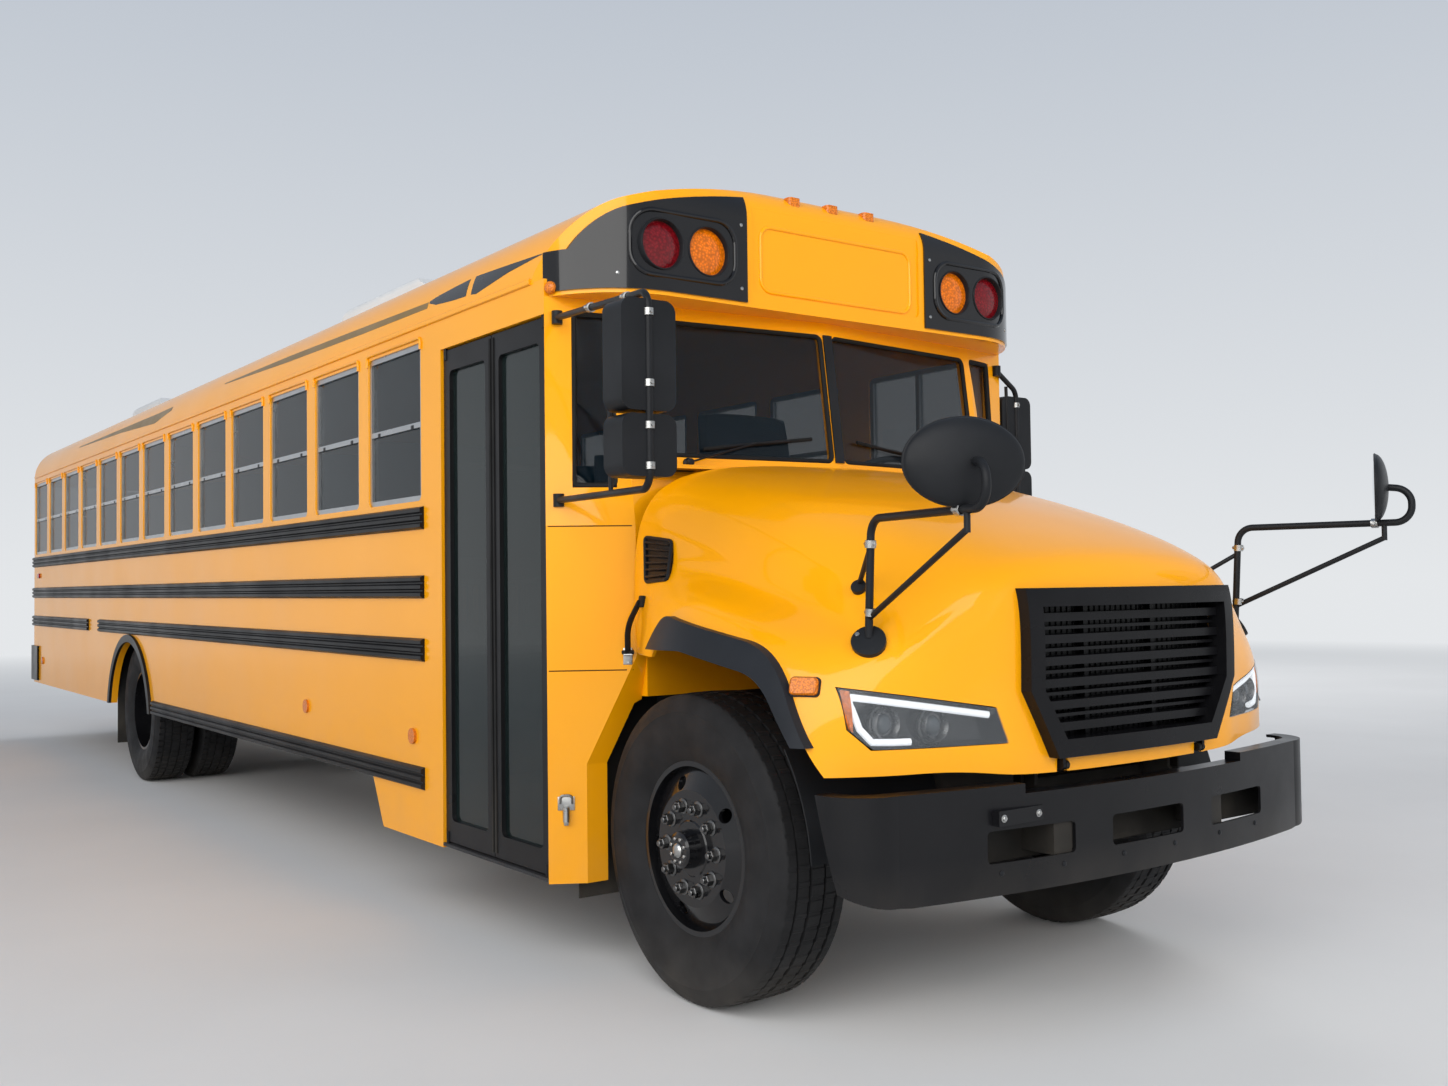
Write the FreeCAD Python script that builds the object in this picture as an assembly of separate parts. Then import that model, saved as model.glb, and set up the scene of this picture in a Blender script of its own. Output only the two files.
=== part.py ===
import FreeCAD, Part
import math
import os

# A conventional school bus: long hollow body on a ladder frame, tilting hood in front of the cab.
# Lengths are in millimetres. X points forward, Y to the left, Z up, and the ground is at Z = 0.
# While a piece is drawn, X is counted from the front axle. Writing it out moves the origin to the
# middle of the overall length.

V = FreeCAD.Vector

# Overall reach
FRONT_REACH = 1420.0
REAR_REACH = 11100.0
WHEELBASE = 7010.0
BODY_HALF = 1219.0
FLOOR_TOP = 1120.0
EAVE_Z = 2540.0
CROWN_Z = 2970.0
EAVE_R = 300.0

# Small distances that many pieces share
CONTACT_GAP = 0.3
OVERSHOOT = 60.0

# Wheels and tyres
TYRE_R = 522.0
TYRE_WIDTH = 285.0
RIM_R = 286.0
RIM_WALL = 12.0
RIM_WIDTH = 224.0
RIM_FLANGE = 18.0
RIM_FLANGE_WIDTH = 8.0
FRONT_TYRE_Y = 888.0
REAR_OUTER_Y = 1010.0
REAR_PAIR_SPACING = 320.0
STUD_COUNT = 10
STUD_CIRCLE_R = 143.0
HUB_R = 110.0
SHAFT_GAP = 0.05

# Frame
RAIL_OUTER = 425.0
RAIL_FLANGE = 75.0
RAIL_WALL = 8.0
RAIL_BOTTOM = 700.0
RAIL_TOP = 950.0
RAIL_FRONT = 900.0
RAIL_REAR = -(REAR_REACH - 200.0)
KINGPIN_Y = 780.0
KINGPIN_R = 20.0
SPINDLE_R = 35.0
REAR_SPINDLE_R = 45.0

# Body shell
BODY_REAR = -(REAR_REACH - 130.0)
WALL = 45.0
INNER_Y = BODY_HALF - WALL
SKIRT_Z = 545.0
FLOOR_PLATE = 40.0
ROOF_REAR_OF_CAP = -760.0
WALL_FRONT = -600.0
WINDOW_PITCH = 717.4
WINDOW_WIDTH = 596.0
FIRST_WINDOW_FRONT = -1704.0
WINDOW_RUN = FIRST_WINDOW_FRONT - WINDOW_WIDTH - (BODY_REAR + WALL)
WINDOW_COUNT = int(WINDOW_RUN / WINDOW_PITCH) + 1
WINDOW_SILL = 1787.0
WINDOW_HEAD = 2473.0
WINDOW_BAR_Z = 2120.0
WINDOW_R = 30.0
SASH_WIDTH = 24.0
SASH_DEPTH = 30.0
GLASS = 6.0
ARCH_R = 622.0
ARCH_Z = 415.0
ARCH_TRIM = 55.0
TRIM_PROUD = 20.0

# Entrance door on the right side
DOOR_REAR = -1500.0
DOOR_FRONT = -600.0
DOOR_HEAD = 2410.0
DOOR_SILL = 350.0
DOOR_GAP = 6.0
DOOR_INSET = 12.0
DOOR_FACE_Y = BODY_HALF - DOOR_INSET
DOOR_THICKNESS = 40.0
DOOR_STILE = 55.0
HINGE_INSET = 20.0
HINGE_PIN_R = 8.0
STEP_COUNT = 3
STEP_TREAD = 200.0
STEP_SHEET = 12.0
STEP_PANEL_Z = 330.0
STEP_INNER_Y = BODY_HALF - 659.0

# Front of the body: plan corners of one half, from the side to the middle
CHAMFER_FRONT = (-430.0, BODY_HALF - 279.0)
SHIELD_MIDDLE_X = -326.0
SHIELD_LEAN = 112.0
SEAM_Z = 1630.0
CAP_BOTTOM = 2475.0
SHIELD_BOTTOM = 1890.0
SHIELD_TOP = 2425.0
SHIELD_POST = 22.0
SHIELD_SIDE_Y = CHAMFER_FRONT[1] - 35.0
COWL_TOP = 1852.0
FIREWALL_BOTTOM = 1000.0
COWL_FOOT_SHARE = 0.43

# Roof cap over the windshield
CAP_FRONT = -345.0
CAP_CORNER_R = 390.0
CAP_BROW_R = 150.0
CAP_BOTTOM_PLATE = 15.0
CAP_SIDE_SPREAD = 2.0
HOUSING_PROUD = 8.0
HOUSING_REAR = -620.0
HOUSING_WALL = 100.0
LAMP_R = 90.0
LAMP_Z = 2662.0
LAMP_POCKET = 40.0
RED_LAMP_Y = BODY_HALF - 353.0
AMBER_LAMP_Y = RED_LAMP_Y - 209.0
HOUSING_INNER_Y = AMBER_LAMP_Y - 181.0
MARKER_HALF = 30.0
MARKER_PITCH = 200.0

# Rear door and rear windows
REAR_DOOR_HALF = 460.0
REAR_DOOR_BOTTOM = FLOOR_TOP + 10.0
REAR_DOOR_TOP = 2440.0
REAR_DOOR_FACE = BODY_REAR + DOOR_INSET
REAR_HINGE_Y = -REAR_DOOR_HALF + HINGE_INSET + DOOR_GAP
REAR_WINDOW_Y = (REAR_DOOR_HALF + 100.0, BODY_HALF - 159.0)

# Stop sign on the left side
STOP_HINGE_X = -900.0
STOP_ARM_Z = 1450.0
STOP_ARM_R = 228.0
STOP_ARM_Y = BODY_HALF + 52.0
STOP_PLATE = 8.0

# Guard rails, as pairs of lower and upper edge
RAIL_BANDS = ((1662.0, 1761.0), (1364.0, 1464.0), (1093.0, 1193.0))
RAIL_START = -1676.0
RIB_COUNT = 3

# Hood
HOOD_REAR = -415.0
HOOD_NOSE = 1050.0
HOOD_LIP = 850.0
HOOD_TOP = 1868.0
FENDER_HALF = 1160.0
HOOD_SKIN = 12.0
HOOD_PIVOT_X = 1036.0
HOOD_PIVOT_Z = 846.0
HOOD_PIN_R = 8.0
HINGE_EYE_R = 14.0
HINGE_ARM_Y = 330.0
HINGE_ARM = 15.0
HINGE_LUG = 12.0
HINGE_NOTCH = 22.0

# Front wheel opening and the edge of its flare, seen from the side: corners (x, z), with the radius
# that rounds each corner between the ends.
OPENING_LINE = ((HOOD_REAR - 2.0 * OVERSHOOT, 1165.0), (-85.0, 1165.0), (48.0, 1290.0),
                (610.0, 1196.0), (820.0, 790.0))
OPENING_RADII = (15.0, 60.0, 270.0)
FLARE_LAP = 20.0
FLARE_PROUD = 28.0
FLARE_FOOT = HOOD_LIP + 85.0
FLARE_EDGE = ((-120.0, 1192.0), (185.0, 1197.0), (587.0, 1131.0), (857.0, 750.0))
FLARE_EDGE_RADII = (300.0, 220.0)

# Grille
GRILLE_TOP = 1385.0
GRILLE_BEND = 1078.0
GRILLE_BOTTOM = 872.0
GRILLE_HALF = 516.0
GRILLE_FOOT_HALF = 400.0
GRILLE_RIM = 56.0
GRILLE_DEPTH = 30.0
GRILLE_PROUD = 40.0
SLAT_COUNT = 6

# Mirrors
MIRROR_TUBE_R = 12.0
MIRROR_BASE = (808.0, 925.0)
MIRROR_FOOT = 16.0
CROSS_ARM_Z = 1594.0
CROSS_HEAD = (FRONT_REACH - 120.0, 1030.0, 1718.0)
CROSS_HEAD_YAW = 28.0
SIDE_MIRROR_Y = BODY_HALF + 126.0
SIDE_HEAD_HALF = 100.0
RIGHT_MIRROR_X = 290.0
LEFT_MIRROR_X = -610.0

# Bumpers
BUMPER_FRONT = 1090.0
BUMPER_BOW = 100.0
BUMPER_SLOT_Z = (590.0, 684.0)
BUMPER_SLOTS = ((-180.0, 180.0), (345.0, 690.0), (-690.0, -345.0))
ACCESSORY_PLATE_Y = (-670.0, -480.0)
ACCESSORY_PLATE_Z = (700.0, 744.0)
ACCESSORY_FACE_X = 1070.0
ACCESSORY_HOLES_Y = (-650.0, -500.0)
ACCESSORY_HOLE_R = 5.5
BUMPER_HALF = 1150.0
BUMPER_END_X = 818.0
BUMPER_END_RAKE = 75.0
BUMPER_CORNER_R = 160.0
BUMPER_BOTTOM = 497.0
BUMPER_TOP = 812.0
BUMPER_STEP = 29.0
BUMPER_STEP_Y = 545.0
BUMPER_TOE = (1000.0, 543.0)
BUMPER_WALL = 10.0
BUMPER_FLANGE = 60.0
REAR_BUMPER_BOTTOM = 570.0
REAR_BUMPER_TOP = 900.0
REAR_BUMPER_HALF = BODY_HALF + 19.0
REAR_BUMPER_END_X = BODY_REAR + 270.0

# Seats
FIRST_SEAT_FRONT = -2050.0
SEAT_PITCH = 715.0
SEAT_DEPTH = 400.0
SEAT_INNER_Y = 180.0
SEAT_OUTER_Y = INNER_Y - 24.0
CUSHION_BOTTOM = 330.0
CUSHION_HEIGHT = 115.0
BACK_BOTTOM = 370.0
BACK_TOP = 1010.0
BACK_THICKNESS = 85.0
BACK_LEAN = 75.0
SEAT_RUN = FIRST_SEAT_FRONT - SEAT_DEPTH - BACK_THICKNESS - BACK_LEAN - (BODY_REAR + WALL)
SEAT_ROWS = int(SEAT_RUN / SEAT_PITCH) + 1

# Roof air units: their rear and front ends at the roof, and how high they stand over its crown
ROOF_UNIT_SPANS = ((-4750.0, -3150.0), (BODY_REAR + 570.0, BODY_REAR + 1970.0))
ROOF_UNIT_HALF = 520.0
ROOF_UNIT_RISE = 250.0
ROOF_UNIT_R = 80.0

# Engine
ENGINE_HALF = 290.0
GEARBOX_REAR = -1150.0
PINION_END = 330.0
DRIVESHAFT_GAP = 2.5

FRONT_AXLE_X = (REAR_REACH - FRONT_REACH) / 2.0
REAR_AXLE_X = -WHEELBASE


def place(axis, a, b, t):
    """A point on a plate that faces along the axis: a and b lie in the plate, t is along the axis."""
    if axis == "x":
        return V(t, a, b)
    if axis == "y":
        return V(a, t, b)
    return V(a, b, t)


def box(x0, x1, y0, y1, z0, z1):
    return Part.makeBox(x1 - x0, y1 - y0, z1 - z0, V(x0, y0, z0))


def extrude(edges_or_wire, axis, length):
    direction = place(axis, 0, 0, length)
    return Part.Face(edges_or_wire).extrude(direction)


def prism(axis, points, t0, t1):
    """A straight-sided plate from a polygon of (a, b) points, from t0 to t1 along the axis."""
    corners = [place(axis, a, b, t0) for a, b in points]
    return extrude(Part.makePolygon(corners + corners[:1]), axis, t1 - t0)


def rounded_plate(axis, a0, a1, b0, b1, t0, t1, r):
    """A rectangular plate with rounded corners."""
    s = r * (1.0 - math.sqrt(0.5))
    corners = [
        ((a1 - r, b0), (a1 - s, b0 + s), (a1, b0 + r)),
        ((a1, b1 - r), (a1 - s, b1 - s), (a1 - r, b1)),
        ((a0 + r, b1), (a0 + s, b1 - s), (a0, b1 - r)),
        ((a0, b0 + r), (a0 + s, b0 + s), (a0 + r, b0)),
    ]
    edges = []
    for number, (start, middle, end) in enumerate(corners):
        points = [place(axis, p[0], p[1], t0) for p in (start, middle, end)]
        following = place(axis, *corners[(number + 1) % 4][0], t0)
        edges.append(Part.Arc(*points).toShape())
        edges.append(Part.LineSegment(points[2], following).toShape())
    return extrude(Part.Wire(edges), axis, t1 - t0)


def rod(start, end, radius):
    axis = end - start
    return Part.makeCylinder(radius, axis.Length, start, axis)


def disc(axis, a, b, t0, t1, radius):
    return rod(place(axis, a, b, t0), place(axis, a, b, t1), radius)


def mirrored(shape):
    """The same piece on the other side of the bus."""
    return shape.mirror(V(0, 0, 0), V(0, 1, 0))


def both_sides(shape):
    return [shape, mirrored(shape)]


def fused(shapes):
    return shapes[0].multiFuse(shapes[1:]).removeSplitter()


def bent_tube(points, bend, radius):
    """A round tube along straight runs joined by arcs of one bend radius."""
    edges = []
    start = points[0]
    for before, corner, after in zip(points, points[1:], points[2:]):
        back = (before - corner).normalize()
        ahead = (after - corner).normalize()
        half_angle = back.getAngle(ahead) / 2.0
        reach = bend / math.tan(half_angle)
        middle = corner + (back + ahead).normalize() * (bend / math.sin(half_angle) - bend)
        arc_start = corner + back * reach
        arc_end = corner + ahead * reach
        edges.append(Part.LineSegment(start, arc_start).toShape())
        edges.append(Part.Arc(arc_start, middle, arc_end).toShape())
        start = arc_end
    edges.append(Part.LineSegment(start, points[-1]).toShape())
    path = Part.Wire(edges)
    section = Part.Wire(Part.makeCircle(radius, points[0], points[1] - points[0]))
    return path.makePipeShell([section], True, False)


def rounded_line(axis, points, radii, t):
    """Edges of an open line of (a, b) points, each inner corner rounded by its own radius."""
    edges = []
    start = points[0]
    for before, corner, after, radius in zip(points, points[1:], points[2:], radii):
        back = V(before[0] - corner[0], before[1] - corner[1], 0).normalize()
        ahead = V(after[0] - corner[0], after[1] - corner[1], 0).normalize()
        half_angle = back.getAngle(ahead) / 2.0
        reach = radius / math.tan(half_angle)
        inward = (back + ahead).normalize() * (radius / math.sin(half_angle) - radius)
        arc = [(corner[0] + d.x, corner[1] + d.y) for d in (back * reach, inward, ahead * reach)]
        edges.append(Part.LineSegment(place(axis, *start, t), place(axis, *arc[0], t)).toShape())
        edges.append(Part.Arc(*[place(axis, a, b, t) for a, b in arc]).toShape())
        start = arc[2]
    edges.append(Part.LineSegment(place(axis, *start, t), place(axis, *points[-1], t)).toShape())
    return edges


def block_under(axis, points, radii, floor_z, t0, t1):
    """All that lies under a rounded line, seen along an axis, down to a level."""
    edges = rounded_line(axis, points, radii, t0)
    down = [points[-1], (points[-1][0], floor_z), (points[0][0], floor_z), points[0]]
    corners = [place(axis, a, b, t0) for a, b in down]
    edges += [Part.LineSegment(p, q).toShape() for p, q in zip(corners, corners[1:])]
    return extrude(Part.Wire(edges), axis, t1 - t0)


def turned(profile_edges, x, z):
    """A ring or disc turned about a line along Y; its profile is drawn with the radius along Z."""
    wire = Part.Wire(profile_edges)
    solid = Part.Face(wire).revolve(V(0, 0, 0), V(0, 1, 0), 360)
    solid.translate(V(x, 0, z))
    return solid


def turned_polygon(points, x, z):
    corners = [V(0, y, r) for y, r in points]
    corners.append(corners[0])
    lines = [Part.LineSegment(p, q).toShape() for p, q in zip(corners, corners[1:])]
    return turned(lines, x, z)


def write(name, pieces):
    solids = []
    for piece in pieces:
        for solid in piece.Solids:
            moved = solid.copy()
            moved.translate(V(FRONT_AXLE_X, 0, 0))
            solids.append(moved)
    shape = solids[0] if len(solids) == 1 else Part.makeCompound(solids)
    shape.exportStep("parts/" + name + ".step")


# Roof, roof cap and lamp housings

def crown_centre():
    """Height of the centre of the wide arc that joins the two eave arcs, and its radius."""
    reach = BODY_HALF - EAVE_R
    rise = CROWN_Z - EAVE_Z
    radius = (reach ** 2 + rise ** 2 - EAVE_R ** 2) / (2.0 * (rise - EAVE_R))
    return CROWN_Z - radius, radius


def roof_block(inset, x0, x1, z_low):
    """Everything under the roof's arched section, set in by a distance, down to a level."""
    centre_z, crown_r = crown_centre()
    eave_y = BODY_HALF - EAVE_R
    towards = V(0, eave_y, EAVE_Z - centre_z).normalize()
    corner_r = EAVE_R - inset
    middle_angle = math.atan2(towards.z, towards.y) / 2.0

    def corner(side, direction_y, direction_z):
        return V(x0, side * (eave_y + corner_r * direction_y), EAVE_Z + corner_r * direction_z)

    edges = []
    for side in (1, -1):
        points = [
            corner(side, 1.0, 0.0),
            corner(side, math.cos(middle_angle), math.sin(middle_angle)),
            corner(side, towards.y, towards.z),
        ]
        edges.append(Part.Arc(*points).toShape())
    crown = Part.Arc(
        corner(1, towards.y, towards.z), V(x0, 0, CROWN_Z - inset), corner(-1, towards.y, towards.z))
    half = BODY_HALF - inset
    down = [V(x0, -half, EAVE_Z), V(x0, -half, z_low), V(x0, half, z_low), V(x0, half, EAVE_Z)]
    lines = [Part.LineSegment(p, q).toShape() for p, q in zip(down, down[1:])]
    wire = Part.Wire(Part.__sortEdges__(edges + [crown.toShape()] + lines))
    return extrude(wire, "x", x1 - x0)


def roof():
    outer = roof_block(0.0, BODY_REAR, ROOF_REAR_OF_CAP, EAVE_Z - WALL)
    inner = roof_block(WALL, BODY_REAR, ROOF_REAR_OF_CAP, EAVE_Z - WALL)
    shell = outer.cut(inner)
    return shell.common(box(BODY_REAR, ROOF_REAR_OF_CAP, -BODY_HALF, BODY_HALF, EAVE_Z, CROWN_Z))


def cap_block(inset, z_low):
    """The roof cap's outer form, set in by a distance: plan, roof section and side view in one."""
    front = CAP_FRONT - inset
    half = BODY_HALF - inset + CAP_SIDE_SPREAD
    r = CAP_CORNER_R - inset
    s = r * (1.0 - math.sqrt(0.5))
    rear = ROOF_REAR_OF_CAP
    plan = [
        Part.LineSegment(V(rear, -half, z_low), V(front - r, -half, z_low)),
        Part.Arc(V(front - r, -half, z_low), V(front - s, -half + s, z_low),
                 V(front, -half + r, z_low)),
        Part.LineSegment(V(front, -half + r, z_low), V(front, half - r, z_low)),
        Part.Arc(V(front, half - r, z_low), V(front - s, half - s, z_low), V(front - r, half, z_low)),
        Part.LineSegment(V(front - r, half, z_low), V(rear, half, z_low)),
        Part.LineSegment(V(rear, half, z_low), V(rear, -half, z_low)),
    ]
    plan_block = extrude(Part.Wire([e.toShape() for e in plan]), "z", CROWN_Z - z_low + OVERSHOOT)
    top = CROWN_Z - inset
    brow = CAP_BROW_R - inset
    t = brow * (1.0 - math.sqrt(0.5))
    y = -half - OVERSHOOT
    view = [
        Part.LineSegment(V(rear, y, z_low), V(front, y, z_low)),
        Part.LineSegment(V(front, y, z_low), V(front, y, top - brow)),
        Part.Arc(V(front, y, top - brow), V(front - t, y, top - t), V(front - brow, y, top)),
        Part.LineSegment(V(front - brow, y, top), V(rear, y, top)),
        Part.LineSegment(V(rear, y, top), V(rear, y, z_low)),
    ]
    view_block = extrude(Part.Wire([e.toShape() for e in view]), "y", -2.0 * y)
    section_block = roof_block(inset, rear, front, z_low)
    return section_block.common(view_block).common(plan_block)


def housing_region():
    """The corners of the cap that the black lamp housings take up."""
    under_roof = roof_block(35.0, HOUSING_REAR, CAP_FRONT + HOUSING_PROUD, CAP_BOTTOM)
    low = CAP_BOTTOM + CAP_BOTTOM_PLATE
    wide = BODY_HALF + HOUSING_PROUD
    high = LAMP_Z + 2.0 * LAMP_R + EAVE_R
    side = box(HOUSING_REAR, CAP_FRONT + HOUSING_PROUD, HOUSING_INNER_Y, wide, low, high)
    edge = box(HOUSING_REAR, CAP_FRONT + HOUSING_PROUD, INNER_Y - WALL, wide, low, EAVE_Z + EAVE_R / 3.0)
    corner = side.common(under_roof).fuse(edge)
    return corner.removeSplitter()


def lamp_places():
    return [AMBER_LAMP_Y, RED_LAMP_Y]


def lamp_pocket(y):
    return disc("x", y, LAMP_Z, CAP_FRONT - LAMP_POCKET, CAP_FRONT + WALL, LAMP_R + 4.0)


def roof_cap():
    shell = cap_block(0.0, CAP_BOTTOM).cut(cap_block(WALL, CAP_BOTTOM + CAP_BOTTOM_PLATE))
    over_wall = box(ROOF_REAR_OF_CAP, WALL_FRONT, -BODY_HALF, BODY_HALF, CAP_BOTTOM, EAVE_Z)
    region = housing_region()
    recess_y = HOUSING_INNER_Y - 30.0
    recess = rounded_plate("x", -recess_y, recess_y, CAP_BOTTOM + 55.0, CROWN_Z - 95.0,
                           CAP_FRONT - 8.0, CAP_FRONT + WALL, 25.0)
    shell = shell.cut(over_wall).cut(region).cut(mirrored(region)).cut(recess)
    return shell


def lamp_housing():
    """One black corner of the cap, hollow from behind, with a pocket for each lamp."""
    over_wall = box(HOUSING_REAR, WALL_FRONT, INNER_Y - WALL, BODY_HALF, CAP_BOTTOM, EAVE_Z)
    hollow = box(HOUSING_REAR, CAP_FRONT - HOUSING_WALL, HOUSING_INNER_Y, INNER_Y - HOUSING_WALL,
                 CAP_BOTTOM, EAVE_Z + 0.7 * EAVE_R)
    housing = cap_block(-HOUSING_PROUD, CAP_BOTTOM).common(housing_region()).cut(hollow).cut(over_wall)
    for y in lamp_places():
        housing = housing.cut(lamp_pocket(y))
    return housing


def rear_lamp_housing():
    face = BODY_REAR - TRIM_PROUD
    plate = rounded_plate("x", AMBER_LAMP_Y - 120.0, RED_LAMP_Y + 120.0, LAMP_Z - 125.0, LAMP_Z + 105.0,
                          face, BODY_REAR, 40.0)
    for y in lamp_places():
        plate = plate.cut(disc("x", y, LAMP_Z, face, BODY_REAR, LAMP_R + 4.0))
    return plate


def warning_lamps():
    """Round lamps with a domed lens, four at each end of the roof."""
    lamps = []
    for y in lamp_places():
        floor_x = CAP_FRONT - LAMP_POCKET
        lens = disc("x", y, LAMP_Z, floor_x, floor_x + 26.0, LAMP_R)
        dome = Part.makeSphere(LAMP_R * 2.6, V(floor_x + 26.0 + 16.0 - LAMP_R * 2.6, y, LAMP_Z))
        dome = dome.common(disc("x", y, LAMP_Z, floor_x + 10.0, floor_x + 60.0, LAMP_R))
        lamps += both_sides(fused([lens, dome]))
        rear = disc("x", y, LAMP_Z, BODY_REAR - TRIM_PROUD - 6.0, BODY_REAR, LAMP_R)
        lamps += both_sides(rear)
    return lamps


def marker_lamps():
    """Small amber lamps over the brow and on the sides, and the rear lamp clusters."""
    lamps = []
    top = cap_block(0.0, CAP_BOTTOM)
    for y in (-MARKER_PITCH, 0.0, MARKER_PITCH):
        x = CAP_FRONT - CAP_BROW_R * 0.35
        lens = rounded_plate("z", x - 24.0, x + 20.0, y - MARKER_HALF, y + MARKER_HALF, CROWN_Z - 105.0,
                             CROWN_Z - 20.0, 14.0)
        lamps.append(lens.cut(top))
    for x, z in ((-1800.0, 767.0), (-3150.0, 809.0), (BODY_REAR + 470.0, 767.0)):
        lamps += both_sides(disc("y", x, z, BODY_HALF, BODY_HALF + 12.0, 34.0))
    lamps += both_sides(rounded_plate("y", BODY_REAR + 225.0, BODY_REAR + 315.0, 1555.0, 1600.0,
                                      BODY_HALF, BODY_HALF + 14.0, 15.0))
    for z, radius in ((1240.0, 75.0), (1450.0, 90.0), (1660.0, 90.0)):
        lamps += both_sides(disc("x", BODY_HALF - 209.0, z, BODY_REAR - 22.0, BODY_REAR, radius))
    return lamps


# Side walls, rear wall, floor and steps

def window_fronts():
    return [FIRST_WINDOW_FRONT - WINDOW_PITCH * i for i in range(WINDOW_COUNT)]


def driver_window():
    return DOOR_REAR + 40.0, DOOR_FRONT - 160.0, WINDOW_SILL - 90.0, WINDOW_HEAD


def side_window_cut(x0, x1, z0, z1):
    return rounded_plate("y", x0, x1, z0, z1, INNER_Y - 1.0, BODY_HALF + 1.0, WINDOW_R)


def wall_plate(outline):
    wall = prism("y", outline, INNER_Y, BODY_HALF)
    for front in window_fronts():
        wall = wall.cut(side_window_cut(front - WINDOW_WIDTH, front, WINDOW_SILL, WINDOW_HEAD))
    return wall.cut(disc("y", REAR_AXLE_X, ARCH_Z, INNER_Y - 1.0, BODY_HALF + 1.0, ARCH_R))


def side_wall_left():
    wall = wall_plate([(BODY_REAR, SKIRT_Z), (WALL_FRONT, SKIRT_Z), (WALL_FRONT, EAVE_Z),
                       (BODY_REAR, EAVE_Z)])
    return wall.cut(side_window_cut(*driver_window()))


def side_wall_right():
    """The wall drops at the steps, and runs on as a header over the entrance door."""
    wall = wall_plate([
        (BODY_REAR, SKIRT_Z), (DOOR_REAR - 760.0, SKIRT_Z), (DOOR_REAR - 640.0, STEP_PANEL_Z),
        (DOOR_REAR, STEP_PANEL_Z), (DOOR_REAR, DOOR_HEAD), (WALL_FRONT, DOOR_HEAD),
        (WALL_FRONT, EAVE_Z), (BODY_REAR, EAVE_Z)])
    for x in door_hinge_x():
        wall = wall.cut(disc("z", x, DOOR_FACE_Y, DOOR_HEAD, DOOR_HEAD + 30.0, HINGE_PIN_R + SHAFT_GAP))
    return mirrored(wall)


def rear_wall():
    x1 = BODY_REAR + WALL
    wall = roof_block(WALL, BODY_REAR, x1, REAR_BUMPER_TOP + 10.0)
    wall = wall.cut(box(BODY_REAR, x1, -REAR_DOOR_HALF, REAR_DOOR_HALF, REAR_DOOR_BOTTOM, REAR_DOOR_TOP))
    window = rounded_plate("x", REAR_WINDOW_Y[0], REAR_WINDOW_Y[1], WINDOW_SILL, WINDOW_HEAD,
                           BODY_REAR, x1, WINDOW_R)
    wall = wall.cut(window).cut(mirrored(window))
    pin = HINGE_PIN_R + SHAFT_GAP
    wall = wall.cut(disc("z", REAR_DOOR_FACE, REAR_HINGE_Y, REAR_DOOR_TOP, REAR_DOOR_TOP + 30.0, pin))
    wall = wall.cut(disc("z", REAR_DOOR_FACE, REAR_HINGE_Y, REAR_DOOR_BOTTOM - 30.0, REAR_DOOR_BOTTOM,
                         pin))
    for y in (-89.0, 89.0):
        for z in (960.0, 1081.0):
            wall = wall.cut(disc("x", y, z, BODY_REAR, x1, 3.5))
    return wall


def floor():
    """The floor plate with its cross sills, cut back round the entrance steps."""
    rear = BODY_REAR + WALL
    front = CHAMFER_FRONT[0] - WALL
    outline = [(rear, -INNER_Y), (DOOR_REAR, -INNER_Y), (DOOR_REAR, -STEP_INNER_Y),
               (DOOR_FRONT, -STEP_INNER_Y), (DOOR_FRONT, INNER_Y), (rear, INNER_Y)]
    z0 = FLOOR_TOP - FLOOR_PLATE
    under_cowl = front_block(WALL, z0, FLOOR_TOP)
    under_cowl = under_cowl.common(box(DOOR_FRONT, front, -INNER_Y, INNER_Y, z0, FLOOR_TOP))
    pieces = [prism("z", outline, z0, FLOOR_TOP), under_cowl]
    sill_width = 60.0
    for number in range(WINDOW_COUNT):
        x = FIRST_WINDOW_FRONT - 300.0 - WINDOW_PITCH * number
        near_axle = abs(x - REAR_AXLE_X) < TYRE_R + sill_width + 40.0
        half = REAR_OUTER_Y - REAR_PAIR_SPACING - TYRE_WIDTH / 2.0 - 20.0 if near_axle else INNER_Y
        pieces.append(box(x, x + sill_width, -half, half, RAIL_TOP, z0))
    front_sill_x = front - 120.0
    pieces.append(box(front_sill_x, front_sill_x + sill_width, -500.0, 500.0, RAIL_TOP, z0))
    return fused(pieces)


def step_well():
    """Three treads and risers between two side plates, open towards the door."""
    rise = (FLOOR_TOP - DOOR_SILL) / STEP_COUNT
    s = STEP_SHEET
    inner = STEP_INNER_Y
    y = inner
    top = FLOOR_TOP
    upper = [(y, top)]
    lower = [(y + s, top)]
    for number in range(STEP_COUNT):
        level = FLOOR_TOP - rise * (number + 1)
        last = number == STEP_COUNT - 1
        edge = BODY_HALF if last else y + STEP_TREAD
        upper.append((y, level - s))
        lower.append((y + s, level))
        upper.append((edge, level - s))
        lower.append((edge + (0.0 if last else s), level))
        y = edge
    outline = upper + lower[::-1]
    well = [prism("x", outline, DOOR_REAR, DOOR_FRONT)]
    deep = INNER_Y - 19.0
    side = [(inner, top)]
    y = inner
    for number in range(STEP_COUNT):
        level = FLOOR_TOP - rise * (number + 1) - s
        side.append((y, level))
        y = min(y + STEP_TREAD, deep) if number < STEP_COUNT - 1 else deep
        side.append((y, level))
    side.append((deep, top))
    well.append(prism("x", side, DOOR_REAR, DOOR_REAR + s))
    well.append(prism("x", side, DOOR_FRONT - s, DOOR_FRONT))
    steps = fused(well)
    for x in door_hinge_x():
        steps = steps.cut(disc("z", x, DOOR_FACE_Y, DOOR_SILL - 2.0 * s, DOOR_SILL + 1.0,
                               HINGE_PIN_R + SHAFT_GAP))
    return mirrored(steps)


# Front of the body

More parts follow.
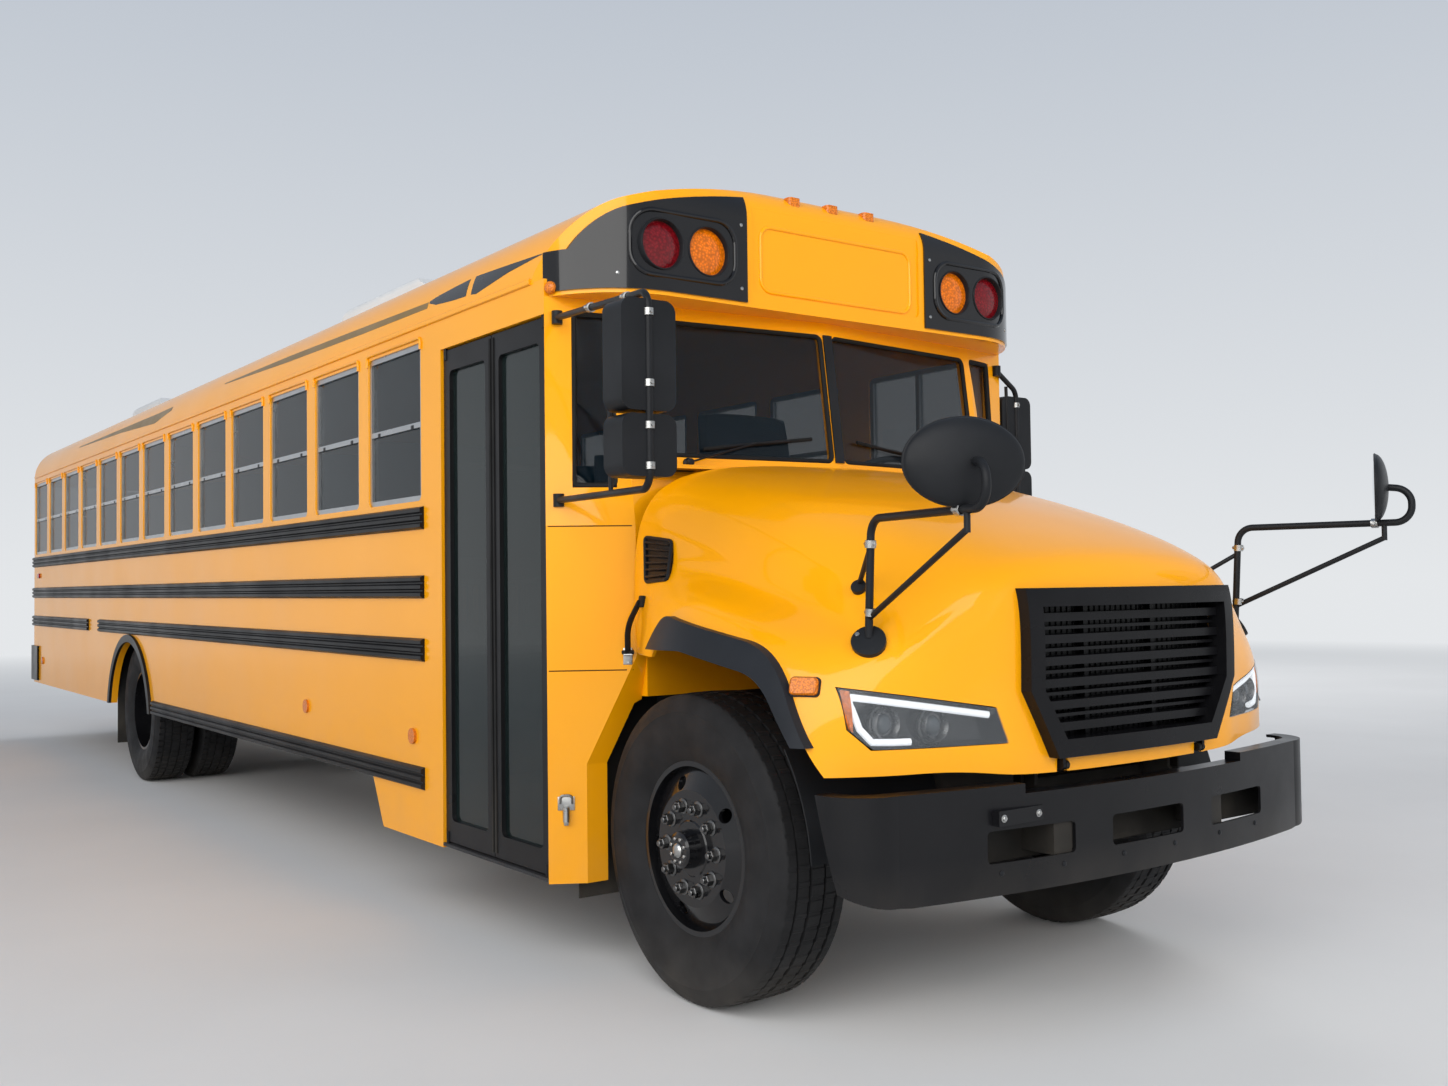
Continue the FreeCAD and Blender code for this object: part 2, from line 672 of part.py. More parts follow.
def offset_line(points, distance):
    """An open line moved to its left by a distance, with mitred corners."""
    moved = []
    for number, point in enumerate(points):
        normals = []
        if number > 0:
            normals.append(left_normal(points[number - 1], point))
        if number < len(points) - 1:
            normals.append(left_normal(point, points[number + 1]))
        nx = sum(n[0] for n in normals) / len(normals)
        ny = sum(n[1] for n in normals) / len(normals)
        square = nx * nx + ny * ny
        moved.append((point[0] + nx / square * distance, point[1] + ny / square * distance))
    return moved


def left_normal(start, end):
    dx = end[0] - start[0]
    dy = end[1] - start[1]
    length = math.hypot(dx, dy)
    return -dy / length, dx / length


def front_plan(lean, inset):
    """Plan of the body's front from the right side to the left, leaning back by a distance."""
    corner_x, corner_y = CHAMFER_FRONT
    right = [(WALL_FRONT, -BODY_HALF), (corner_x - lean, -corner_y), (SHIELD_MIDDLE_X - lean, 0.0)]
    line = right + [(x, -y) for x, y in right[1::-1]]
    return offset_line(line, inset)


def front_block(inset, z0, z1):
    """What lies behind the front of the body between two levels, back to a plane in the cab."""
    total = CAP_BOTTOM - SEAM_Z
    rear = WALL_FRONT - 2.0 * WALL
    wires = []
    for z in (z0, z1):
        lean = SHIELD_LEAN * max(0.0, z - SEAM_Z) / total
        line = front_plan(lean, inset)
        points = [(rear, line[0][1])] + line + [(rear, line[-1][1])]
        corners = [V(x, y, z) for x, y in points]
        wires.append(Part.makePolygon(corners + corners[:1]))
    return Part.makeLoft(wires, True, True)


def chamfer_point(share, y_side=-1.0):
    """A point on the slanted corner panel, from the door post (0) to the hood seam (1)."""
    x = WALL_FRONT + (CHAMFER_FRONT[0] - WALL_FRONT) * share
    y = BODY_HALF + (CHAMFER_FRONT[1] - BODY_HALF) * share
    return x, y_side * y


def shield_cut(side):
    """The opening of one windshield pane, seen from the front."""
    y0, y1 = sorted((side * SHIELD_POST, side * SHIELD_SIDE_Y))
    return rounded_plate("x", y0, y1, SHIELD_BOTTOM, SHIELD_TOP, WALL_FRONT - WALL, HOOD_NOSE, 35.0)


def quarter_cut(side):
    """The opening of the small window in the slanted corner panel."""
    a = chamfer_point(0.30, side)
    b = chamfer_point(0.80, side)
    nx, ny = 0.854, side * 0.52
    far = 160.0
    points = [(a[0] - nx * far, a[1] - ny * far), (a[0] + nx * far, a[1] + ny * far),
              (b[0] + nx * far, b[1] + ny * far), (b[0] - nx * far, b[1] - ny * far)]
    return prism("z", points, SHIELD_BOTTOM - 120.0, SHIELD_TOP)


def lower_corner_panel():
    """The slanted panel between the door and the front wheel, its front edge clear of the tyre."""
    outer_a = chamfer_point(0.0, 1.0)
    band = front_block(0.0, STEP_PANEL_Z, SEAM_Z).cut(front_block(WALL, STEP_PANEL_Z, SEAM_Z))
    keep = box(WALL_FRONT, CHAMFER_FRONT[0], CHAMFER_FRONT[1] - WALL, outer_a[1], STEP_PANEL_Z, SEAM_Z)
    panel = band.common(keep)
    low_x = chamfer_point(COWL_FOOT_SHARE)[0]
    edge = [(low_x, STEP_PANEL_Z), (low_x, 760.0), (CHAMFER_FRONT[0], 1150.0),
            (HOOD_NOSE, 1150.0), (HOOD_NOSE, STEP_PANEL_Z)]
    return panel.cut(prism("y", edge, 0.0, BODY_HALF))


def front_cowl():
    upper = front_block(0.0, SEAM_Z, CAP_BOTTOM).cut(front_block(WALL, SEAM_Z, CAP_BOTTOM))
    upper = upper.common(box(WALL_FRONT, HOOD_NOSE, -BODY_HALF, BODY_HALF, SEAM_Z, CAP_BOTTOM))
    for side in (1, -1):
        upper = upper.cut(shield_cut(side)).cut(quarter_cut(side))
    fx = CHAMFER_FRONT[0]
    fy = CHAMFER_FRONT[1]
    firewall = box(fx - WALL, fx, -fy + WALL, fy - WALL, FIREWALL_BOTTOM, SEAM_Z)
    bridge = box(fx - WALL, fx, -fy, fy, SEAM_Z - WALL, SEAM_Z)
    closing = front_block(0.0, SEAM_Z - WALL, SEAM_Z).common(
        box(fx - WALL, HOOD_NOSE, -fy, fy, SEAM_Z - WALL, SEAM_Z))
    ledge_points = [(x - 12.0, y) for x, y in hood_rear_edge()]
    ledge_points = [(fx - 20.0, -fy + 60.0)] + ledge_points + [(fx - 20.0, fy - 60.0)]
    ledge = prism("z", ledge_points, COWL_TOP - 14.0, COWL_TOP)
    ledge = ledge.cut(front_block(WALL, SEAM_Z, CAP_BOTTOM))
    return fused([upper, firewall, bridge, closing, ledge] + both_sides(lower_corner_panel()))


def window_glass():
    """Windshield panes, quarter windows, side windows, driver's window and the fixed rear windows."""
    middle = WALL / 2.0
    sheet = front_block(middle - GLASS / 2.0, SEAM_Z, CAP_BOTTOM)
    sheet = sheet.cut(front_block(middle + GLASS / 2.0, SEAM_Z, CAP_BOTTOM))
    sheet = sheet.common(box(WALL_FRONT + 1.0, HOOD_NOSE, -BODY_HALF, BODY_HALF, SEAM_Z, CAP_BOTTOM))
    panes = []
    for side in (1, -1):
        panes.append(sheet.common(shield_cut(side)))
        panes.append(sheet.common(quarter_cut(side)))
    y0 = INNER_Y + middle - GLASS / 2.0
    y1 = y0 + GLASS
    rim = SASH_WIDTH
    for front in window_fronts():
        x0 = front - WINDOW_WIDTH + rim
        x1 = front - rim
        lower = box(x0, x1, y0, y1, WINDOW_SILL + rim, WINDOW_BAR_Z - rim / 2.0)
        upper = box(x0, x1, y0, y1, WINDOW_BAR_Z + rim / 2.0, WINDOW_HEAD - rim)
        panes += both_sides(lower) + both_sides(upper)
    x0, x1, z0, z1 = driver_window()
    mid = (x0 + x1) / 2.0
    panes.append(box(x0 + rim, mid - rim / 2.0, y0, y1, z0 + rim, z1 - rim))
    panes.append(box(mid + rim / 2.0, x1 - rim, y0, y1, z0 + rim, z1 - rim))
    rear = rounded_plate("x", REAR_WINDOW_Y[0], REAR_WINDOW_Y[1], WINDOW_SILL, WINDOW_HEAD,
                         BODY_REAR + middle - GLASS / 2.0, BODY_REAR + middle + GLASS / 2.0, WINDOW_R)
    return panes + both_sides(rear)


def sash(x0, x1, z0, z1, bars):
    """One metal window frame that fills its opening, with the bars that divide it."""
    y0 = BODY_HALF - 8.0 - SASH_DEPTH
    y1 = BODY_HALF - 8.0
    rim = SASH_WIDTH
    outer = rounded_plate("y", x0, x1, z0, z1, y0, y1, WINDOW_R)
    frame = outer.cut(box(x0 + rim, x1 - rim, y0, y1, z0 + rim, z1 - rim))
    for bar in bars:
        frame = frame.fuse(bar(y0, y1))
    return frame.removeSplitter()


def window_frames():
    frames = []
    half = SASH_WIDTH / 2.0
    for front in window_fronts():
        rear = front - WINDOW_WIDTH

        def across(y0, y1, x0=rear, x1=front):
            return box(x0 + half, x1 - half, y0, y1, WINDOW_BAR_Z - half, WINDOW_BAR_Z + half)

        frames += both_sides(sash(rear, front, WINDOW_SILL, WINDOW_HEAD, [across]))
    x0, x1, z0, z1 = driver_window()

    def upright(y0, y1):
        middle = (x0 + x1) / 2.0
        return box(middle - half, middle + half, y0, y1, z0 + half, z1 - half)

    frames.append(sash(x0, x1, z0, z1, [upright]))
    return frames


def ribbed_rail(x0, x1, z0, z1):
    """A guard rail with raised ribs along its length."""
    pitch = (z1 - z0) / RIB_COUNT
    base = TRIM_PROUD * 0.45
    outline = [(BODY_HALF, z0)]
    for number in range(RIB_COUNT):
        low = z0 + pitch * number
        outline.append((BODY_HALF + base, low + pitch * 0.08))
        outline.append((BODY_HALF + TRIM_PROUD, low + pitch * 0.28))
        outline.append((BODY_HALF + TRIM_PROUD, low + pitch * 0.72))
        outline.append((BODY_HALF + base, low + pitch * 0.92))
    outline.append((BODY_HALF, z1))
    return prism("x", outline, x0, x1)


def side_trim():
    """Guard rails along both sides and the rims of the rear wheel arches."""
    rails = []
    for number, (z0, z1) in enumerate(RAIL_BANDS):
        lowest = number == len(RAIL_BANDS) - 1
        if lowest:
            rails += both_sides(ribbed_rail(REAR_AXLE_X - 1020.0, RAIL_START, z0, z1))
            rails += both_sides(ribbed_rail(BODY_REAR, REAR_AXLE_X - 1430.0, z0, z1))
        else:
            rails += both_sides(ribbed_rail(BODY_REAR, RAIL_START, z0, z1))
    skirt_front = DOOR_REAR - 180.0
    skirt_rear = REAR_AXLE_X + ARCH_R + ARCH_TRIM + 20.0
    rails += both_sides(ribbed_rail(skirt_rear, skirt_front, SKIRT_Z, SKIRT_Z + 97.0))
    y1 = BODY_HALF + TRIM_PROUD
    arch = disc("y", REAR_AXLE_X, ARCH_Z, BODY_HALF, y1, ARCH_R + ARCH_TRIM)
    arch = arch.cut(disc("y", REAR_AXLE_X, ARCH_Z, BODY_HALF, y1, ARCH_R))
    top = RAIL_BANDS[-1][0]
    reach = ARCH_R + ARCH_TRIM
    keep = box(REAR_AXLE_X - reach, REAR_AXLE_X + reach, BODY_HALF, y1, SKIRT_Z, top)
    rails += both_sides(arch.common(keep))
    return rails


# Doors

def door_hinge_x():
    gap = DOOR_GAP + HINGE_INSET
    return DOOR_REAR + gap, DOOR_FRONT - gap


def entrance_leaf(x0, x1, hinge_x):
    """One glazed leaf of the entrance door, with its hinge pins above and below."""
    y1 = DOOR_FACE_Y
    y0 = y1 - DOOR_THICKNESS
    z0 = DOOR_SILL + 8.0
    z1 = DOOR_HEAD - 8.0
    leaf = box(x0, x1, y0, y1, z0, z1)
    leaf = leaf.cut(entrance_glass_block(x0, x1, y0, y1))
    pins = [
        disc("z", hinge_x, y1, z1 - 40.0, DOOR_HEAD + 22.0, HINGE_PIN_R),
        disc("z", hinge_x, y1, DOOR_SILL - STEP_SHEET, z0 + 40.0, HINGE_PIN_R),
    ]
    return mirrored(fused([leaf] + pins))


def entrance_glass_block(x0, x1, y0, y1):
    z0 = DOOR_SILL + 8.0 + 1.6 * DOOR_STILE
    z1 = DOOR_HEAD - 8.0 - 1.6 * DOOR_STILE
    return rounded_plate("y", x0 + DOOR_STILE, x1 - DOOR_STILE, z0, z1, y0, y1, 25.0)


def entrance_leaf_spans():
    middle = (DOOR_REAR + DOOR_FRONT) / 2.0
    rear_x, front_x = door_hinge_x()
    half_gap = DOOR_GAP / 2.0
    return {
        "rear": (DOOR_REAR + DOOR_GAP, middle - half_gap, rear_x),
        "front": (middle + half_gap, DOOR_FRONT - DOOR_GAP, front_x),
    }


def entrance_glass(x0, x1):
    y = DOOR_FACE_Y - DOOR_THICKNESS / 2.0
    return mirrored(entrance_glass_block(x0, x1, y - GLASS / 2.0, y + GLASS / 2.0))


def rear_door_windows(x0, x1):
    half = REAR_DOOR_HALF - DOOR_GAP - 95.0
    upper = rounded_plate("x", -half, half, WINDOW_SILL, WINDOW_HEAD - 110.0, x0, x1, WINDOW_R)
    lower = rounded_plate("x", -half, half, REAR_DOOR_BOTTOM + 120.0, WINDOW_SILL - 110.0, x0, x1,
                          WINDOW_R)
    return [upper, lower]


def emergency_door():
    """The rear door: hinged at its right edge, opening to the rear."""
    x0 = REAR_DOOR_FACE
    x1 = x0 + DOOR_THICKNESS - 8.0
    half = REAR_DOOR_HALF - DOOR_GAP
    z0 = REAR_DOOR_BOTTOM + DOOR_GAP
    z1 = REAR_DOOR_TOP - DOOR_GAP
    leaf = box(x0, x1, -half, half, z0, z1)
    for window in rear_door_windows(x0, x1):
        leaf = leaf.cut(window)
    pins = [
        disc("z", x0, REAR_HINGE_Y, z1 - 40.0, REAR_DOOR_TOP + 22.0, HINGE_PIN_R),
        disc("z", x0, REAR_HINGE_Y, REAR_DOOR_BOTTOM - 22.0, z0 + 40.0, HINGE_PIN_R),
    ]
    handle = rounded_plate("z", x0 - 45.0, x0 - 30.0, half - 220.0, half - 60.0, 1690.0, 1715.0, 6.0)
    post = box(x0 - 32.0, x0, half - 100.0, half - 76.0, 1692.0, 1713.0)
    return fused([leaf, handle, post] + pins)


def emergency_glass():
    x = REAR_DOOR_FACE + (DOOR_THICKNESS - 8.0) / 2.0
    return rear_door_windows(x - GLASS / 2.0, x + GLASS / 2.0)


def stop_bracket():
    """The fixed hinge bracket of the stop sign, on the left side below the driver's window."""
    y0 = BODY_HALF
    base = rounded_plate("y", STOP_HINGE_X - 50.0, STOP_HINGE_X + 70.0, STOP_ARM_Z - 110.0,
                         STOP_ARM_Z + 110.0, y0, y0 + 14.0, 12.0)
    ears = [base]
    for z in (STOP_ARM_Z - 80.0, STOP_ARM_Z + 60.0):
        ears.append(box(STOP_HINGE_X - 14.0, STOP_HINGE_X + 40.0, y0 + 10.0, STOP_ARM_Y + 14.0, z, z + 20.0))
    pin = rod(V(STOP_HINGE_X, STOP_ARM_Y, STOP_ARM_Z - 80.0), V(STOP_HINGE_X, STOP_ARM_Y, STOP_ARM_Z + 80.0),
              HINGE_PIN_R)
    return fused(ears + [pin])


def stop_arm():
    """A blank eight-sided sign on an arm that turns about the bracket's pin."""
    centre_x = STOP_HINGE_X - 60.0 - STOP_ARM_R
    corner_r = STOP_ARM_R / math.cos(math.pi / 8.0)
    corners = []
    for number in range(8):
        angle = math.pi / 8.0 + number * math.pi / 4.0
        corners.append((centre_x + corner_r * math.cos(angle), STOP_ARM_Z + corner_r * math.sin(angle)))
    y0 = STOP_ARM_Y - STOP_PLATE / 2.0
    y1 = STOP_ARM_Y + STOP_PLATE / 2.0
    plate = prism("y", corners, y0, y1)
    arm = box(centre_x, STOP_HINGE_X, STOP_ARM_Y - 10.0, STOP_ARM_Y + 10.0, STOP_ARM_Z - 40.0,
              STOP_ARM_Z + 40.0)
    barrel = disc("z", STOP_HINGE_X, STOP_ARM_Y, STOP_ARM_Z - 55.0, STOP_ARM_Z + 55.0, 16.0)
    bore = disc("z", STOP_HINGE_X, STOP_ARM_Y, STOP_ARM_Z - 60.0, STOP_ARM_Z + 60.0,
                HINGE_PIN_R + SHAFT_GAP)
    return fused([plate, arm, barrel]).cut(bore)


# Hood and what it carries

# The hood is one smooth surface held by a net of control points. Each line runs from the rear seam
# over the brow and down the nose to the lip. Along is a share of the hood's length from its rear
# seam, across a share of the half width over the fenders, up a share of the height above the lip.
HOOD_NET = (
    ((0.08, 0.00, 1.000), (0.28, 0.00, 0.955), (0.52, 0.00, 0.870), (0.76, 0.00, 0.765),
     (0.93, 0.00, 0.665), (1.01, 0.00, 0.585), (1.01, 0.00, 0.350), (0.995, 0.00, -0.025)),
    ((0.08, 0.30, 0.995), (0.28, 0.29, 0.945), (0.52, 0.27, 0.860), (0.76, 0.26, 0.755),
     (0.93, 0.25, 0.655), (1.005, 0.245, 0.580), (1.00, 0.24, 0.350), (0.99, 0.24, -0.025)),
    ((0.075, 0.56, 0.98), (0.28, 0.54, 0.920), (0.52, 0.52, 0.830), (0.76, 0.50, 0.725),
     (0.915, 0.49, 0.63), (0.99, 0.48, 0.560), (0.99, 0.475, 0.340), (0.98, 0.47, -0.020)),
    ((0.06, 0.74, 0.93), (0.28, 0.71, 0.870), (0.52, 0.68, 0.775), (0.755, 0.635, 0.65),
     (0.90, 0.60, 0.54), (0.955, 0.575, 0.44), (0.955, 0.56, 0.260), (0.955, 0.55, -0.005)),
    ((0.03, 0.81, 0.83), (0.28, 0.80, 0.735), (0.52, 0.78, 0.640), (0.755, 0.745, 0.53),
     (0.875, 0.715, 0.43), (0.925, 0.69, 0.335), (0.93, 0.68, 0.190), (0.93, 0.67, 0.005)),
    ((0.00, 0.82, 0.70), (0.28, 0.815, 0.590), (0.52, 0.805, 0.515), (0.74, 0.80, 0.435),
     (0.845, 0.81, 0.365), (0.89, 0.795, 0.285), (0.895, 0.785, 0.160), (0.895, 0.775, 0.0)),
    ((0.00, 0.825, 0.54), (0.28, 0.905, 0.570), (0.52, 0.91, 0.500), (0.72, 0.90, 0.400),
     (0.81, 0.895, 0.31), (0.855, 0.875, 0.235), (0.86, 0.87, 0.130), (0.86, 0.865, 0.0)),
    ((0.00, 0.825, 0.41), (0.28, 0.995, 0.485), (0.52, 1.0, 0.425), (0.69, 0.99, 0.330),
     (0.77, 0.97, 0.255), (0.815, 0.95, 0.190), (0.825, 0.94, 0.100), (0.83, 0.935, 0.0)),
    ((0.00, 0.82, 0.29), (0.25, 1.0, 0.290), (0.51, 1.0, 0.225), (0.665, 1.0, 0.165),
     (0.735, 0.99, 0.125), (0.775, 0.98, 0.080), (0.79, 0.975, 0.040), (0.80, 0.965, 0.0)),
)


def hood_point(along, across, up):
    x = HOOD_REAR + (HOOD_NOSE - HOOD_REAR) * along
    y = FENDER_HALF * across
    z = HOOD_LIP + (HOOD_TOP - HOOD_LIP) * up
    return V(x, y, z)


def hood_rear_edge():
    """Plan of the hood's rear seam, from the right side to the left."""
    left = [hood_point(*line[0]) for line in HOOD_NET]
    left = [p for p in left if p.z > SEAM_Z + 60.0]
    right = [(p.x, -p.y) for p in left[:0:-1]]
    return right + [(p.x, p.y) for p in left]


def hood_lines():
    half = [[hood_point(*point) for point in line] for line in HOOD_NET]
    other = [[V(p.x, -p.y, p.z) for p in line] for line in half[:0:-1]]
    return other + half


def offset_net(lines, distance):
    """The control net moved outwards along its own normals."""
    rows = len(lines)
    columns = len(lines[0])
    moved = []
    for i in range(rows):
        line = []
        for j in range(columns):
            across = lines[min(i + 1, rows - 1)][j] - lines[max(i - 1, 0)][j]
            along = lines[i][min(j + 1, columns - 1)] - lines[i][max(j - 1, 0)]
            normal = along.cross(across).normalize()
            line.append(lines[i][j] + normal * distance)
        moved.append(line)
    return moved


def net_surface(lines):
    def knots(count):
        values = list(range(count - 2))
        repeats = [4] + [1] * (len(values) - 2) + [4]
        return values, repeats

    u_values, u_repeats = knots(len(lines))
    v_values, v_repeats = knots(len(lines[0]))
    surface = Part.BSplineSurface()
    surface.buildFromPolesMultsKnots(lines, u_repeats, v_repeats, u_values, v_values, False, False, 3, 3)
    return surface


def hood_layer(outer, inner):
    """A shell that follows the hood between two distances from its surface."""
    lines = hood_lines()
    top = net_surface(offset_net(lines, outer))
    bottom = net_surface(offset_net(lines, inner))
    sides = []
    u0, u1, v0, v1 = top.bounds()
    for pick in ("u", "v"):
        for value in ((u0, u1) if pick == "u" else (v0, v1)):
            curves = [s.uIso(value) if pick == "u" else s.vIso(value) for s in (top, bottom)]
            sides.append(Part.makeRuledSurface(curves[0].toShape(), curves[1].toShape()))
    shell = Part.Shell([top.toShape(), bottom.toShape()] + sides)
    shell.sewShape()
    solid = Part.Solid(shell)
    if solid.Volume < 0:
        solid.reverse()
    return solid


def hood_height(x, y):
    """Height of the hood's outer surface over a point in plan."""
    line = Part.makeLine(V(x, y, HOOD_LIP), V(x, y, HOOD_TOP + OVERSHOOT))
    surface = net_surface(hood_lines()).toShape()
    return line.distToShape(surface)[1][0][0].z


def grille_outline(inset):
    half = GRILLE_HALF - inset
    foot = GRILLE_FOOT_HALF - inset * 0.6
    top = GRILLE_TOP - inset
    bottom = GRILLE_BOTTOM + inset
    return [(-half, top), (-half, GRILLE_BEND), (-foot, bottom), (foot, bottom), (half, GRILLE_BEND),
            (half, top)]


def headlamp_outline(inset):
    """Front view of the left lamp: a slanted shape that narrows towards the grille."""
    i = inset
    return [(1045.0 - i, 1108.0 - i), (602.0 + i, 1036.0 - i), (560.0 + i, 926.0 + i),
            (972.0 - i, 924.0 + i), (1034.0 - i, 985.0)]


def hood_hinge_lug(side):
    """The hood's own half of its hinge: a plate with the pin."""
    y0 = HINGE_ARM_Y + HINGE_ARM + 3.0
    y1 = y0 + HINGE_LUG
    reach = HINGE_EYE_R - 2.0
    plate = box(HOOD_PIVOT_X - reach, HOOD_PIVOT_X + reach, y0, y1, HOOD_PIVOT_Z,
                GRILLE_BOTTOM + GRILLE_RIM / 2.0)
    eye = disc("y", HOOD_PIVOT_X, HOOD_PIVOT_Z, y0, y1, HINGE_EYE_R)
    pin = disc("y", HOOD_PIVOT_X, HOOD_PIVOT_Z, HINGE_ARM_Y - 3.0, y1, HOOD_PIN_R)
    lug = fused([plate, eye, pin])
    return lug if side > 0 else mirrored(lug)


def hood():
    skin = hood_layer(0.0, -HOOD_SKIN)
    wide = FENDER_HALF + 100.0
    for side in (1, -1):
        y0, y1 = sorted((side * (FENDER_HALF - 400.0), side * wide))
        skin = skin.cut(block_under("y", OPENING_LINE, OPENING_RADII, HOOD_LIP - 2.0 * OVERSHOOT, y0, y1))
        lamp = prism("x", headlamp_outline(0.0), 600.0, HOOD_NOSE + 100.0)
        skin = skin.cut(lamp if side > 0 else mirrored(lamp))
    skin = skin.cut(prism("x", grille_outline(0.0), 800.0, HOOD_NOSE + 100.0))
    notch = box(HOOD_PIVOT_X - HINGE_NOTCH, HOOD_NOSE + HINGE_NOTCH, HINGE_ARM_Y - 8.0,
                HINGE_ARM_Y + HINGE_ARM + HINGE_LUG + 11.0, HOOD_LIP - OVERSHOOT, GRILLE_BOTTOM)
    return skin.cut(notch).cut(mirrored(notch))


def grille():
    """Surround and slats, with the hood's hinge lugs at its foot."""
    ring = prism("x", grille_outline(CONTACT_GAP), 800.0, HOOD_NOSE + 100.0)
    ring = ring.cut(prism("x", grille_outline(GRILLE_RIM), 800.0, HOOD_NOSE + 100.0))
    surround = hood_layer(GRILLE_PROUD, -GRILLE_DEPTH).common(ring)
    opening = prism("x", grille_outline(GRILLE_RIM - 4.0), 800.0, HOOD_NOSE + 100.0)
    bars = []
    low = GRILLE_BOTTOM + GRILLE_RIM
    pitch = (GRILLE_TOP - GRILLE_RIM - low) / SLAT_COUNT
    for number in range(SLAT_COUNT):
        z = low + pitch * (number + 0.5)
        bars.append(box(HOOD_NOSE - 70.0, HOOD_NOSE - 12.0, -GRILLE_HALF, GRILLE_HALF, z - 13.0, z + 13.0))
        thin = z + pitch / 2.0
        bars.append(box(HOOD_NOSE - 66.0, HOOD_NOSE - 30.0, -GRILLE_HALF, GRILLE_HALF, thin - 5.0,
                        thin + 5.0))
    bars = [bar.common(opening) for bar in bars[:-1]]
    for y in (-170.0, 170.0):
        bars.append(box(HOOD_NOSE - 80.0, HOOD_NOSE - 60.0, y - 10.0, y + 10.0, low - 20.0,
                        GRILLE_TOP - GRILLE_RIM + 20.0))
    return fused([surround, hood_hinge_lug(1), hood_hinge_lug(-1)] + bars)


def headlamp():
    lamp = prism("x", headlamp_outline(CONTACT_GAP), 600.0, HOOD_NOSE + 100.0)
    return hood_layer(3.0, -70.0).common(lamp)


def fender_flare():
    """The rubber band round the wheel opening: it laps over the hood's edge and hangs inside it."""
    y0 = FENDER_HALF - 140.0
    y1 = FENDER_HALF + 100.0
    low = HOOD_LIP - 2.0 * OVERSHOOT
    outer = offset_line(OPENING_LINE[1:], FLARE_LAP)
    radii = [radius + FLARE_LAP for radius in OPENING_RADII[1:]]
    band = block_under("y", outer, radii, low, y0, y1)
    band = band.cut(block_under("y", FLARE_EDGE, FLARE_EDGE_RADII, low, y0, y1))
    band = band.common(box(outer[0][0], HOOD_NOSE, y0, y1, FLARE_FOOT, HOOD_TOP))
    return hood_layer(FLARE_PROUD, CONTACT_GAP).common(band)


def hood_foot(x, y, radius):
    """A round plate that lies on the hood, with the height of its middle."""
    z = hood_height(x, y)
    surface = net_surface(hood_lines())
    normal = surface.normal(*surface.parameter(V(x, y, z)))
    if normal.z < 0:
        normal = -normal
    middle = V(x, y, z)
    through = rod(middle - normal * OVERSHOOT, middle + normal * OVERSHOOT, radius)
    return hood_layer(MIRROR_FOOT, CONTACT_GAP).common(through), z


def crossover_mirror():
    """Bent stand on the fender, its brace and stay, and the oval convex mirror at its end."""
    base_x, base_y = MIRROR_BASE
    hook_x = FRONT_REACH - MIRROR_TUBE_R
    head_x, head_y, head_z = CROSS_HEAD
    foot, base_z = hood_foot(base_x, base_y, 52.0)
    arm_y = head_y + 35.0
    stand = bent_tube([V(base_x, base_y, base_z + MIRROR_FOOT), V(base_x + 20.0, base_y + 2.0, CROSS_ARM_Z),
                       V(hook_x, arm_y, CROSS_ARM_Z), V(hook_x, arm_y, head_z - 10.0),
                       V(head_x + 30.0, head_y, head_z)], 55.0, MIRROR_TUBE_R)
    share = (head_x + 20.0 - base_x) / (hook_x - base_x)
    brace_end = V(head_x + 20.0, base_y + (arm_y - base_y) * share, CROSS_ARM_Z - 52.0)
    brace = rod(V(base_x + 3.0, base_y, base_z + 72.0), brace_end, 9.0)
    link = rod(brace_end - V(0, 0, 9.0), V(brace_end.x, brace_end.y, CROSS_ARM_Z), 9.0)
    stay_foot, stay_z = hood_foot(base_x - 122.0, base_y - 77.0, 24.0)
    stay = rod(V(base_x + 6.0, base_y + 1.0, CROSS_ARM_Z - 100.0),
               V(base_x - 122.0, base_y - 77.0, stay_z + MIRROR_FOOT), 8.0)
    head = Part.makeSphere(100.0, V(0, 0, 0), V(1, 0, 0), 0.0, 86.0, 360.0)
    scale = FreeCAD.Matrix()
    scale.scale(V(0.42, 1.65, 1.18))
    head = head.transformGeometry(scale)
    head.rotate(V(0, 0, 0), V(0, 0, 1), CROSS_HEAD_YAW)
    head.translate(V(head_x, head_y, head_z))
    return fused([stand, foot, brace, link, stay, stay_foot, head])


